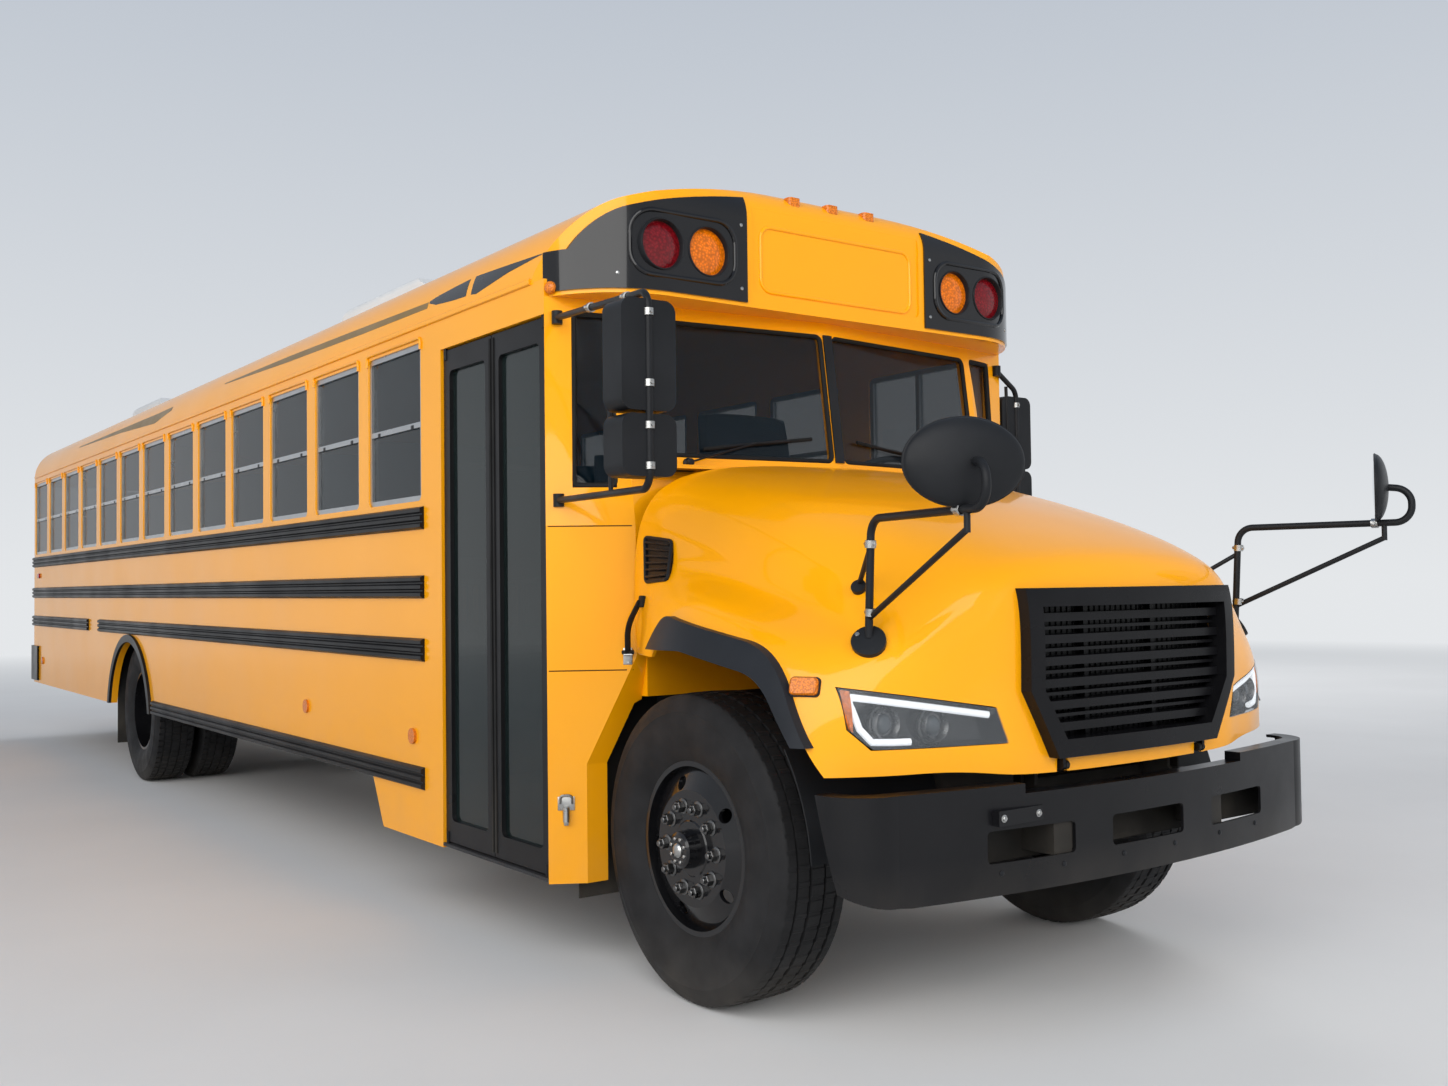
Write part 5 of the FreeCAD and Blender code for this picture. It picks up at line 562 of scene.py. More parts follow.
def loop_tube(shape, corners, radius, lift, bend=0.03):
    """A gasket round a pane: a closed rounded path through (point, normal) corners."""
    points = [point + normal * lift for point, normal in corners]
    middle = (points[0] + points[-1]) / 2.0
    shape.tube(smooth_path([middle] + points + [middle], bend), radius, 8)


# Tyres and wheels

TREAD_PITCHES = 64
PITCH_PLAN = (0.0, 0.62, 0.7, 0.92)
CUT_FROM_STEP = 2
RIB_EDGES = (-0.113, -0.085, -0.075, -0.034, -0.024, 0.024, 0.034, 0.075, 0.085, 0.113)
RIB_PLAN = (0.0, 0.25, 0.5, 0.75, 1.0)
SHOULDER_RIBS = (1, 5)
STAGGERED_RIBS = (2, 4)
DRIVE_CUTS = (0.01, 0.006)
STEER_CUTS = (0.0022, 0.0035)
PROFILE_HALF = 0.1425
SIDEWALL = ((0.098, 0.2895), (0.1085, 0.2885), (0.116, 0.296), (0.12, 0.308), (0.1235, 0.312),
            (0.13, 0.336), (0.1345, 0.345), (0.1352, 0.349), (0.1372, 0.353), (0.1405, 0.385),
            (0.1424, 0.415), (0.1424, 0.435), (0.1408, 0.454), (0.1415, 0.457), (0.1392, 0.461),
            (0.135, 0.478), (0.129, 0.495), (0.1225, 0.507), (0.118, 0.5135))
GROOVE_DEPTH = 0.013
GROOVE_DRAFT = 0.0012
CROWN_DROP = 0.0045
INSIDE_SOLID = 0.0005
TYRE_ANGLE = 28.0


def tread_profile():
    """(across, radius, rib) from one bead over the tread to the other; rib is 0 off the ribs."""
    scale = TYRE_HALF / PROFILE_HALF
    points = [(-across * scale, radius, 0) for across, radius in SIDEWALL]
    ribs = list(zip(RIB_EDGES[::2], RIB_EDGES[1::2]))
    for number, (low, high) in enumerate(ribs, start=1):
        for share in RIB_PLAN:
            across = low + (high - low) * share
            drop = CROWN_DROP * (across / RIB_EDGES[-1]) ** 2
            points.append((across * scale, TYRE_R - INSIDE_SOLID - drop, number))
        if number < len(ribs):
            for across in (high + GROOVE_DRAFT, ribs[number][0] - GROOVE_DRAFT):
                points.append((across * scale, TYRE_R - GROOVE_DEPTH, 0))
    return points + [(across * scale, radius, 0) for across, radius in reversed(SIDEWALL)]


def rib_cut(rib, step, drive):
    """How far a rib's surface drops at this step of the pitch; the ribs next to the middle run late."""
    late = CUT_FROM_STEP if rib in STAGGERED_RIBS else 0
    if rib == 0 or (step + late) % len(PITCH_PLAN) < CUT_FROM_STEP:
        return 0.0
    shoulder, inner = DRIVE_CUTS if drive else STEER_CUTS
    return shoulder if rib in SHOULDER_RIBS else inner


def add_tyre(shape, x, y, drive):
    """A tyre about the axle at x: its profile at every step round the tread."""
    profile = tread_profile()
    rings = []
    for pitch in range(TREAD_PITCHES):
        for step, share in enumerate(PITCH_PLAN):
            turn = 2.0 * math.pi * (pitch + share) / TREAD_PITCHES
            ring = []
            for across, radius, rib in profile:
                reach = radius - rib_cut(rib, step, drive)
                ring.append(at(x + reach * math.sin(turn), y + across, AXLE_Z + reach * math.cos(turn)))
            rings.append(ring)
    shape.skin(rings, loop=True)


def build_tyres(side, word):
    front = Shape(f"tyre_tread_front_{word}", "tyre", f"front_{word}_wheel", TYRE_ANGLE)
    rear = Shape(f"tyre_treads_rear_{word}", "tyre", f"rear_{word}_wheels", TYRE_ANGLE)
    add_tyre(front, 0.0, side * FRONT_TYRE_Y, False)
    for y in (REAR_OUTER_Y, REAR_INNER_Y):
        add_tyre(rear, REAR_AXLE, side * y, True)
    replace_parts(front.done(), f"tyre_front_{word}")
    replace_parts(rear.done(), f"tyres_rear_{word}")


STUD_COUNT = 10
STUD_CIRCLE_R = 0.143
NUT_R = 0.0205
NUT_HEIGHT = 0.03
NUT_WASHER = ((0.027, 0.0), (0.027, 0.004), (0.024, 0.006))
STUD_END = ((0.0105, -0.002), (0.0105, 0.009), (0.0085, 0.011))
CAP_BOLTS = 8
CAP_BOLT = (0.0062, 0.006)
FRONT_CAP_R = 0.04
REAR_CAP_R = 0.07
HUB_LOOK = 0.02
HUB_PLUG = ((0.024, -0.002), (0.024, 0.004), (0.02, 0.009), (0.01, 0.012), (0.0, 0.0125))
SEATED = 0.001


def build_wheel_nuts(side, word):
    """Hex nuts with washers and stud ends on every stud, the hub cap's bolts and its plug."""
    outward = Vector((0.0, side, 0.0))
    for x, node, body, cap_r in ((0.0, f"wheel_front_{word}", f"front_{word}_wheel", FRONT_CAP_R),
                                 (REAR_AXLE, f"wheels_rear_{word}", f"rear_{word}_wheels", REAR_CAP_R)):
        nuts = Shape(f"wheel_nuts_{body}", "dark_steel", body)
        caps = Shape(f"hub_cap_bolts_{body}", "steel", body)
        for turn in turns(STUD_COUNT):
            top, _ = from_side(node, x + STUD_CIRCLE_R * math.cos(turn), side,
                               AXLE_Z + STUD_CIRCLE_R * math.sin(turn))
            foot = top - outward * (NUT_HEIGHT - SEATED)
            nuts.lathe(NUT_WASHER, foot, outward, 20)
            nuts.nut(facing(foot, outward), NUT_R, NUT_HEIGHT)
            nuts.lathe(STUD_END, foot + outward * NUT_HEIGHT, outward, 14)
        hub, _ = from_side(node, x, side, AXLE_Z + HUB_LOOK)
        hub.z = AXLE_Z
        for turn in turns(CAP_BOLTS, 0.5):
            face, _ = from_side(node, x + cap_r * math.cos(turn), side, AXLE_Z + cap_r * math.sin(turn))
            caps.nut(facing(face - outward * SEATED, outward), *CAP_BOLT)
        caps.lathe(HUB_PLUG, hub, outward, 28)
        all_done(nuts, caps)


# Headlamps; places are (y, z)

LAMP_TOP = ((0.56, 0.93), (0.602, 1.033), (1.043, 1.105))
LAMP_FOOT = ((0.56, 0.928), (0.972, 0.927), (1.032, 0.986), (1.043, 1.1))
LAMP_MIDDLE = (0.8, 1.0)
LAMP_COLUMNS = 26
LAMP_ROWS = 7
LAMP_END_GAP = 0.004
BOWL_RINGS = ((0.003, 0.995), (0.03, 0.97), (0.075, 0.9))
PROJECTORS = ((0.905, 0.995), (0.762, 0.985))
PROJECTOR_BACK = 0.05
PROJECTOR_RING = ((0.046, -0.03), (0.048, 0.012), (0.046, 0.016), (0.043, 0.012), (0.034, -0.012),
                  (0.03, -0.014))
PROJECTOR_COLLAR = ((0.056, -0.012), (0.056, -0.006), (0.052, -0.004), (0.049, -0.006))
PROJECTOR_EYE = ((0.0315, -0.014), (0.03, -0.004), (0.0245, 0.005), (0.015, 0.0105), (0.0, 0.0125))
LIGHT_BAR = ((0.612, 1.012), (0.8, 1.043), (1.008, 1.077), (1.012, 1.06), (0.99, 0.985), (0.958, 0.946),
             (0.9, 0.944), (0.842, 0.944))
LIGHT_BAR_R = 0.0105
LIGHT_BAR_BACK = 0.022
COVER_SHEET = 0.0015
AMBER_SHEET = (-0.006, 0.01)
AMBER_FROM_Y = 1.018
AMBER_COLUMNS = 5


def along_line(line, y):
    """The height of a broken line of (y, z) points at y."""
    for (y0, z0), (y1, z1) in zip(line, line[1:]):
        if y0 <= y <= y1:
            return z0 + (z1 - z0) * (y - y0) / (y1 - y0)
    return line[-1][1] if y > line[-1][0] else line[0][1]


def lamp_face(side, y, z):
    """A point on the headlamp's face and its normal, drawn in step by step where y and z lie past its edge."""
    middle_y, middle_z = LAMP_MIDDLE
    for share in spread(1.0, 0.81, 20):
        try:
            return from_front("headlamps", side * (middle_y + (y - middle_y) * share),
                              middle_z + (z - middle_z) * share)
        except ValueError:
            continue
    raise ValueError(f"no headlamp face at {y}, {z}")


def lamp_grid(side, y0, y1, columns, inset=0.0):
    grid = []
    for y in spread(y0, y1, columns):
        low, high = along_line(LAMP_FOOT, y) + inset, along_line(LAMP_TOP, y) - inset
        if high < low:
            low = high = (low + high) / 2.0
        grid.append([lamp_face(side, y, z) for z in spread(low, high, LAMP_ROWS)])
    return grid


def lamp_rim(grid, back, share):
    """The outline of a grid of points, moved back along X and drawn in towards its middle."""
    rim = [column[0] for column in grid] + grid[-1][1:]
    rim += [column[-1] for column in reversed(grid[:-1])] + grid[0][-2:0:-1]
    points = [point for point, _ in rim]
    middle = sum(points, Vector()) / len(points)
    return [middle + (point - middle) * share - FORWARD * back for point in points]


def build_headlamp(side, word):
    """Clear cover, dark bowl, two projectors, a white light bar and an amber end."""
    cover = Shape(f"headlamp_cover_{word}", "clear_lens", "hood")
    bowl = Shape(f"headlamp_bowl_{word}", "gloss", "hood")
    rings = Shape(f"headlamp_projector_rings_{word}", "dark_steel", "hood")
    eyes = Shape(f"headlamp_projectors_{word}", "eye", "hood")
    bar = Shape(f"headlamp_light_bar_{word}", "light_bar", "hood")
    amber = Shape(f"headlamp_amber_{word}", "amber", "hood")
    grid = lamp_grid(side, LAMP_TOP[0][0] + LAMP_END_GAP, LAMP_TOP[-1][0], LAMP_COLUMNS)
    cover.film(grid, COVER_SHEET, COVER_SHEET)
    bowl.skin([lamp_rim(grid, back, share) for back, share in BOWL_RINGS], ends=(False, True))
    for y, z in PROJECTORS:
        seat = lamp_face(side, y, z)[0] - FORWARD * PROJECTOR_BACK
        rings.lathe(PROJECTOR_RING, seat, FORWARD, 44)
        rings.lathe(PROJECTOR_COLLAR, seat, FORWARD, 44)
        eyes.lathe(PROJECTOR_EYE, seat, FORWARD, 36)
    path = []
    for (y0, z0), (y1, z1) in zip(LIGHT_BAR, LIGHT_BAR[1:]):
        for y, z in list(zip(spread(y0, y1, 7), spread(z0, z1, 7)))[:-1]:
            path.append(lamp_face(side, y, z)[0] - FORWARD * LIGHT_BAR_BACK)
    bar.tube(path, LIGHT_BAR_R, 12)
    amber.film(lamp_grid(side, AMBER_FROM_Y, LAMP_TOP[-1][0] - LAMP_END_GAP, AMBER_COLUMNS, LAMP_END_GAP),
               *AMBER_SHEET)
    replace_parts(cover.done(), "headlamps")
    all_done(bowl, rings, eyes, bar, amber)


# Warning lamps, the blank panel between them, and the markers; a rim is (corner, radius, lift)

WARNING_LAMP_Y = (0.657, 0.866)
WARNING_LAMP_Z = 2.662
WARNING_BEZEL = ((0.0885, -0.02), (0.0885, 0.004), (0.0915, 0.009), (0.0955, 0.009), (0.0985, 0.002),
                 (0.0985, -0.02))
LAMP_RECESS = ((0.535, 0.99), (2.545, 2.785))
CAP_PANEL = ((-0.4, 0.4), (2.545, 2.8))
RECESS_RIM = (0.085, 0.009, 0.001)
PANEL_RIM = (0.05, 0.008, -0.001)
HOUSING_SCREWS = ((0.505, 2.54), (0.505, 2.785), (1.03, 2.545))
HOUSING_SCREW = ((0.0075, -0.001), (0.007, 0.002), (0.004, 0.0035), (0.0, 0.004))
FENDER_MARKER_AT = (0.72, 1.097, 1.106)
FENDER_MARKER_OUT = (0.49, 0.8, 0.36)
FENDER_MARKER_SIZE = (0.088, 0.052)
MARKER_BORDER = 0.008
MARKER_BASE = (-0.012, 0.004, 0.001)
MARKER_LENS = (0.0, 0.017, 0.005)
CAP_MARKER_AT = (-0.585, 2.505)
CAP_MARKER = ((0.024, -0.004), (0.024, 0.006), (0.02, 0.012), (0.01, 0.016), (0.0, 0.017))


def build_lamp_rims():
    """A black bezel round each warning lamp, front and rear."""
    bezels = Shape("warning_lamp_bezels", "trim")
    for side, _ in SIDES:
        for y in WARNING_LAMP_Y:
            for find in (from_front, from_behind):
                face, normal = find("warning_lamps", side * y, WARNING_LAMP_Z)
                bezels.lathe(WARNING_BEZEL, face, normal, 56, loop=True)
    bezels.done()


def front_loop(shape, node, side, spans, corner, radius, lift):
    """A moulding on the front of the cap: a rounded loop between two y and two z."""
    (y0, y1), (z0, z1) = spans
    path = []
    for across, up in rounded(y1 - y0, z1 - z0, corner, 8):
        point, normal = from_front(node, side * ((y0 + y1) / 2.0 + across), (z0 + z1) / 2.0 + up)
        path.append(point + normal * lift)
    shape.tube(path + path[:1], radius, 10)


def build_cap_mouldings():
    """The raised rim round each pair of warning lamps, its screws, and the frame of the blank panel."""
    rims = Shape("lamp_recess_rims", "gloss")
    frame_rim = Shape("cap_panel_frame", "yellow")
    screws = Shape("lamp_housing_screws", "steel")
    front_loop(frame_rim, "roof_cap", 1.0, CAP_PANEL, *PANEL_RIM)
    for side, _ in SIDES:
        front_loop(rims, "lamp_housings", side, LAMP_RECESS, *RECESS_RIM)
        for y, z in HOUSING_SCREWS:
            screws.lathe(HOUSING_SCREW, *from_front("lamp_housings", side * y, z), 14)
    all_done(rims, frame_rim, screws)


def build_markers(side, word):
    x, y, z = FENDER_MARKER_AT
    out_x, out_y, out_z = FENDER_MARKER_OUT
    outward = Vector((out_x, side * out_y, out_z)).normalized()
    place = facing(*touch("hood", at(x, side * y, z) + outward * 0.3, -outward))
    width, height = FENDER_MARKER_SIZE
    base = Shape(f"fender_marker_base_{word}", "trim", "hood")
    lens = Shape(f"fender_marker_lens_{word}", "marker", "hood")
    button = Shape(f"cap_marker_{word}", "marker")
    base.plate(place, rounded(width + MARKER_BORDER, height + MARKER_BORDER, 0.014), *MARKER_BASE)
    lens.plate(place, rounded(width, height, 0.013), *MARKER_LENS)
    all_done(base, lens)
    button.lathe(CAP_MARKER, *from_side("lamp_housings", CAP_MARKER_AT[0], side, CAP_MARKER_AT[1]), 24)
    button.done()


# Windshield: y and z of each half, and the corner panes' shares across the panel with their z

SHIELD = (0.022, 0.905, 1.893, 2.422)
SHIELD_BEND_Y = 0.46
PANE_CORNER = 0.014
QUARTER = (0.3, 0.8, 1.772, 2.422)
SHIELD_GASKET = (0.011, 0.007)
SHIELD_GASKET_IN = 0.003
QUARTER_GASKET = (0.012, 0.01, 0.02)
QUARTER_GASKET_IN = (0.012, 0.004)
POST_HALF = 0.02134
POST_LIFT = 0.008
WIPER_PIVOT = (0.7, 1.868)
WIPER_BOSS = ((0.02, -0.006), (0.02, 0.01), (0.014, 0.018), (0.014, 0.03), (0.009, 0.034))
WIPER_BLADE = ((0.62, 1.925), (0.12, 1.985))
BLADE_LIFT = 0.014
WIPER_ARM_R = 0.0065
WIPER_BRIDGE_R = 0.0045
WIPER_RUBBER_R = 0.006
CHAMFER = ((-0.6, 1.219), (-0.43, 0.94))
CHAMFER_NORMAL = (0.854, 0.52)


def on_chamfer(side, share, z, node="front_cowl"):
    """A point on the slanted corner panel, from the door post (0) to the hood seam (1)."""
    (x0, y0), (x1, y1) = CHAMFER
    outward = Vector((CHAMFER_NORMAL[0], side * CHAMFER_NORMAL[1], 0.0))
    place = at(x0 + (x1 - x0) * share, side * (y0 + (y1 - y0) * share), z)
    return touch(node, place + outward * 0.05, -outward)


def on_shield(y, z):
    """A point on the windshield's plane, also at the panes' rounded corners."""
    y0, y1, z0, z1 = SHIELD
    safe_y = math.copysign(min(max(abs(y), y0 + PANE_CORNER), y1 - PANE_CORNER), y)
    safe_z = min(max(z, z0 + PANE_CORNER), z1 - PANE_CORNER)
    return touch_plane("window_glass", at(AHEAD_X, y, z), at(AHEAD_X, safe_y, safe_z), -FORWARD)


def drawn_in(span, across, up):
    """A pane's span made smaller by across and up."""
    y0, y1, z0, z1 = span
    return y0 + across, y1 - across, z0 + up, z1 - up


def build_windshield():
    """Gaskets, the dark centre post and the wipers."""
    gaskets = Shape("windshield_gaskets", "rubber")
    post = Shape("windshield_post_cover", "trim")
    wipers = Shape("wiper_arms", "trim")
    rubbers = Shape("wiper_blades", "rubber")
    inner, outer, low, high = drawn_in(SHIELD, SHIELD_GASKET_IN, SHIELD_GASKET_IN)
    pane = drawn_in(QUARTER, *QUARTER_GASKET_IN)
    for side, _ in SIDES:
        loop_tube(gaskets, [on_shield(side * y, z) for y, z in
                            ((inner, low), (SHIELD_BEND_Y, low), (outer, low), (outer, high),
                             (SHIELD_BEND_Y, high), (inner, high))], *SHIELD_GASKET)
        loop_tube(gaskets, [on_chamfer(side, share, z, "window_glass") for share, z in corners_of(*pane)],
                  *QUARTER_GASKET)
        pivot, normal = from_front("front_cowl", side * WIPER_PIVOT[0], WIPER_PIVOT[1])
        wipers.lathe(WIPER_BOSS, pivot, normal, 20)
        ends = [on_shield(side * y, z) for y, z in WIPER_BLADE]
        tip, end = (point + out * BLADE_LIFT for point, out in ends)
        middle = tip.lerp(end, 0.45)
        wipers.tube([pivot + normal * 0.024, pivot.lerp(middle, 0.35) + normal * 0.034,
                     middle + normal * 0.018], WIPER_ARM_R, 8, 0.6)
        wipers.tube([tip.lerp(end, 0.18) + normal * 0.004, middle + normal * 0.016,
                     tip.lerp(end, 0.78) + normal * 0.004], WIPER_BRIDGE_R, 8)
        rubbers.tube([tip.lerp(end, share) for share in spread(0.0, 1.0, 9)], WIPER_RUBBER_R, 8, 1.3)
    post.film([[from_front("front_cowl", y, z) for z in spread(*SHIELD[2:], 11)]
               for y in (-POST_HALF, 0.0, POST_HALF)], POST_LIFT)
    all_done(gaskets, post, wipers, rubbers)


# Cowl and hood fittings

SEAM_HEIGHTS = (1.628, 1.1)
SEAM_SHARES = (0.02, 0.96)
SEAM_HALF = 0.0022
COWL_SLOT = ((0.685, 0.8), (1.834, 1.847))
STRAP_BRACKET = (0.9, 1.15)
BRACKET_PLATE = (0.034, 0.062, 0.006)
BRACKET_BOLTS = (-0.022, 0.024)
BRACKET_LOOP = ((-0.014, 0.006, 0.002), (-0.014, 0.006, 0.02), (0.014, 0.006, 0.02), (0.014, 0.006, 0.002))
LATCH = (0.2, 0.6)
LATCH_PLATE = (0.062, 0.05, 0.006)
LATCH_LEVER = (0.018, 0.06, 0.01)
LATCH_LOOP = ((-0.022, 0.02, 0.004), (-0.022, 0.052, 0.022), (0.022, 0.052, 0.022), (0.022, 0.02, 0.004))
LATCH_BARREL = ((0.012, 0.0), (0.012, 0.05), (0.009, 0.054))
LOUVRE_TOP = ((-0.35, 1.583), (-0.185, 1.563))
LOUVRE_FOOT = ((-0.3, 1.418), (-0.13, 1.425))
LOUVRE_RIM = (0.0065, 0.004, 0.02)
LOUVRE_SHEET = 0.0035
LOUVRE_SLATS = 6
SLAT_R = 0.0085
SLAT_LIFT = 0.006
STRAP_TOP = (-0.3, 1.35)
STRAP_FOOT = (0.9, 1.165)
STRAP_LIFTS = (0.012, 0.03, 0.016)
STRAP_R = 0.0125
STRAP_PAD = (0.052, 0.042, 0.016)
STRAP_HOOK = (0.046, 0.016, 0.014)
FLATTENED = 0.55
GRILLE_SCREEN = ((-0.462, 1.345), (-0.468, 1.075), (-0.385, 0.915), (0.385, 0.915), (0.468, 1.075),
                 (0.462, 1.345))
SCREEN_X = 0.966
SCREEN_RETURN = 0.036
SCREEN_FLARE = 1.02
SCREEN_WIRES = 34
SCREEN_WIRE_R = 0.0022
SCREEN_HALF = 0.445
SCREEN_FLAT_HALF = 0.375
SCREEN_SLOPE = 1.8
SCREEN_FOOT = 0.915
SCREEN_HEAD = 1.35


def build_cowl_fittings():
    """Panel seams, the air slot, the strap brackets and the latch on the corner panel."""
    seams = Shape("cowl_panel_seams", "seam")
    slots = Shape("cowl_air_slots", "trim")
    brackets = Shape("hood_strap_brackets", "steel")
    latches = Shape("corner_panel_latches", "steel")
    (y0, y1), slot_heights = COWL_SLOT
    for side, _ in SIDES:
        for z in SEAM_HEIGHTS:
            seams.film([[on_chamfer(side, share, z + across) for share in spread(*SEAM_SHARES, 13)]
                        for across in (-SEAM_HALF, SEAM_HALF)], 0.0006)
        slots.film([[from_front("front_cowl", side * y, z) for y in spread(y0, y1, 9)] for z in slot_heights],
                   0.001)
        place = facing(*on_chamfer(side, *STRAP_BRACKET))
        brackets.block(place, BRACKET_PLATE)
        brackets.tube(in_frame(place, *BRACKET_LOOP), 0.004, 8)
        for up in BRACKET_BOLTS:
            brackets.nut(place @ Matrix.Translation((0.0, up, 0.003)), 0.006, 0.004)
        place = facing(*on_chamfer(side, *LATCH))
        latches.block(place, LATCH_PLATE, 0.002, (0.0, 0.02, 0.001))
        latches.tube(smooth_path(in_frame(place, *LATCH_LOOP), 0.018), 0.0045, 8)
        latches.lathe(LATCH_BARREL, place @ Vector((0.0, -0.045, 0.014)), UP, 18)
        latches.block(place, LATCH_LEVER, 0.003, (0.0, -0.028, 0.012))
    all_done(seams, slots, brackets, latches)


def on_louvre(side, across, down):
    """A point on the hood inside the louvre's four corners."""
    (x_top, z_top), (x_foot, z_foot) = ([low + (high - low) * across for low, high in zip(*edge)]
                                        for edge in (LOUVRE_TOP, LOUVRE_FOOT))
    return from_side("hood", x_top + (x_foot - x_top) * down, side, z_top + (z_foot - z_top) * down)


def build_hood_fittings():
    """Side louvres and rubber hold-down straps."""
    panels = Shape("hood_louvre_panels", "grille", "hood")
    slats = Shape("hood_louvre_slats", "trim", "hood")
    straps = Shape("hood_straps", "rubber", "hood")
    for side, _ in SIDES:
        panels.film([[on_louvre(side, across, down) for across in spread(0.0, 1.0, 9)]
                     for down in spread(0.0, 1.0, 9)], LOUVRE_SHEET)
        loop_tube(slats, [on_louvre(side, *corner) for corner in corners_of(0, 1, 0, 1)], *LOUVRE_RIM)
        for number in range(LOUVRE_SLATS):
            down = (number + 0.75) / (LOUVRE_SLATS + 0.5)
            row = [on_louvre(side, across, down) for across in spread(0.06, 0.94, 7)]
            slats.tube([point + normal * SLAT_LIFT for point, normal in row], SLAT_R, 8, FLATTENED)
        top, normal = from_side("hood", STRAP_TOP[0], side, STRAP_TOP[1])
        low, low_normal = on_chamfer(side, *STRAP_FOOT)
        top_lift, middle_lift, foot_lift = STRAP_LIFTS
        end = low + low_normal * foot_lift
        path = [top + normal * top_lift, top.lerp(low, 0.5) + normal * middle_lift, end]
        straps.tube(smooth_path(path, 0.1, 6), STRAP_R, 10, FLATTENED)
        straps.block(facing(top, normal), STRAP_PAD, 0.005, (0.0, 0.0, 0.005))
        straps.block(facing(end, low_normal), STRAP_HOOK, 0.005)
    all_done(panels, slats, straps)


def build_grille_screen():
    """The dark tray with upright wires behind the grille."""
    screen = Shape("grille_screen", "grille", "hood")
    middle_z = sum(z for _, z in GRILLE_SCREEN) / len(GRILLE_SCREEN)
    screen.skin([[at(x, y * share, middle_z + (z - middle_z) * share) for y, z in GRILLE_SCREEN]
                 for x, share in ((SCREEN_X + SCREEN_RETURN, 1.0), (SCREEN_X, SCREEN_FLARE))],
                ends=(False, True))
    x = SCREEN_X + SCREEN_WIRE_R
    for y in spread(-SCREEN_HALF, SCREEN_HALF, SCREEN_WIRES):
        foot = SCREEN_FOOT + max(0.0, abs(y) - SCREEN_FLAT_HALF) * SCREEN_SLOPE
        screen.tube([at(x, y, foot), at(x, y, SCREEN_HEAD)], SCREEN_WIRE_R, 6)
    screen.done()


# Mirrors

SIDE_HEADS = ((1.945, 2.29), (1.742, 1.935))
SIDE_HEAD_Y = 1.345
SIDE_HEAD_WIDTH = 0.19
SIDE_GLASS_IN = (0.012, 0.024)
SIDE_GLASS = (-0.001, 0.0018, 0.001)
SIDE_RIM_IN = (0.004, 0.014)
SIDE_RIM_R = 0.0045
SIDE_CLAMP_HEIGHTS = (2.25, 2.03, 1.9, 1.775)
ARM_ROOT = (-0.578, 1.183, 2.395)
ARM_KNEE_Z = 2.315
RIGHT_KNEE_X = 0.29
LEFT_KNEE_X = -0.61
ARM_CLAMP_SHARES = (0.42, 0.8)
MIRROR_TUBE_R = 0.012
CLAMP_BAND = (0.001, 0.005)
CLAMP_HALF = (0.012, 0.011)
CLAMP_BOLT_R = 0.0065
CLAMP_BOLT_HEIGHTS = (0.012, 0.009)
CROSS_HEAD = (1.3, 1.03, 1.718)
CROSS_HEAD_SCALE = (0.42, 1.65, 1.18)
CROSS_HEAD_YAW = 28.0
CROSS_GLASS = ((0.0965, 0.0), (0.08, 0.01), (0.05, 0.02), (0.02, 0.0245), (0.0, 0.025))
CROSS_RIM = ((0.0985, -0.01), (0.1015, -0.006), (0.1025, 0.004), (0.0995, 0.01), (0.096, 0.006),
             (0.0955, -0.002))
STAND_CLAMPS = ((0.822, 0.928, 1.32), (0.826, 0.929, 1.52))
STAND_LEAN = (0.08, 0.0, 1.0)
CROSS_ARM_CLAMP = (1.29, 1.04, 1.594)
CROSS_ARM = (0.588, 0.14, 0.0)
CROSS_FOOT = (0.808, 0.925, 1.28)
FOOT_BOLT = (0.0075, 0.006)
FOOT_BOLT_CIRCLE_R = 0.034
FOOT_BOLT_TURNS = (0.4, 2.5, 4.6)


def clamp(shape, point, axis):
    """A split clamp round a mirror tube, with its bolt."""
    axis = Vector(axis).normalized()
    (inner, outer), (long, short) = (MIRROR_TUBE_R + layer for layer in CLAMP_BAND), CLAMP_HALF
    shape.lathe([(inner, -long), (outer, -short), (outer, short), (inner, long)], point, axis, 20, loop=True)
    across = axis.cross(UP if abs(axis.z) < 0.9 else Vector((0.0, 1.0, 0.0))).normalized()
    for out, height in zip((across, -across), CLAMP_BOLT_HEIGHTS):
        shape.nut(facing(point + out * MIRROR_TUBE_R, out, axis), CLAMP_BOLT_R, height)


def build_side_mirrors():
    glass = Shape("side_mirror_glass", "mirror")
    rims = Shape("side_mirror_rims", "rubber")
    clamps = Shape("side_mirror_clamps", "steel")
    for side, _ in SIDES:
        for z0, z1 in SIDE_HEADS:
            place = facing(*from_behind("side_mirrors", side * SIDE_HEAD_Y, (z0 + z1) / 2.0))
            pane, rim = (rounded(SIDE_HEAD_WIDTH - across, z1 - z0 - up, corner)
                         for (across, up), corner in ((SIDE_GLASS_IN, 0.034), (SIDE_RIM_IN, 0.036)))
            glass.plate(place, pane, *SIDE_GLASS)
            rims.tube(in_frame(place, *((x, y, 0.001) for x, y in rim)), SIDE_RIM_R, 8)
        knee_x = RIGHT_KNEE_X if side < 0 else LEFT_KNEE_X
        if side < 0:
            root = at(ARM_ROOT[0], side * ARM_ROOT[1], ARM_ROOT[2])
            knee = at(knee_x, side * SIDE_HEAD_Y, ARM_KNEE_Z)
            for share in ARM_CLAMP_SHARES:
                clamp(clamps, root.lerp(knee, share), knee - root)
        for z in SIDE_CLAMP_HEIGHTS:
            clamp(clamps, at(knee_x, side * SIDE_HEAD_Y, z), UP)
    all_done(clamps, glass, rims)


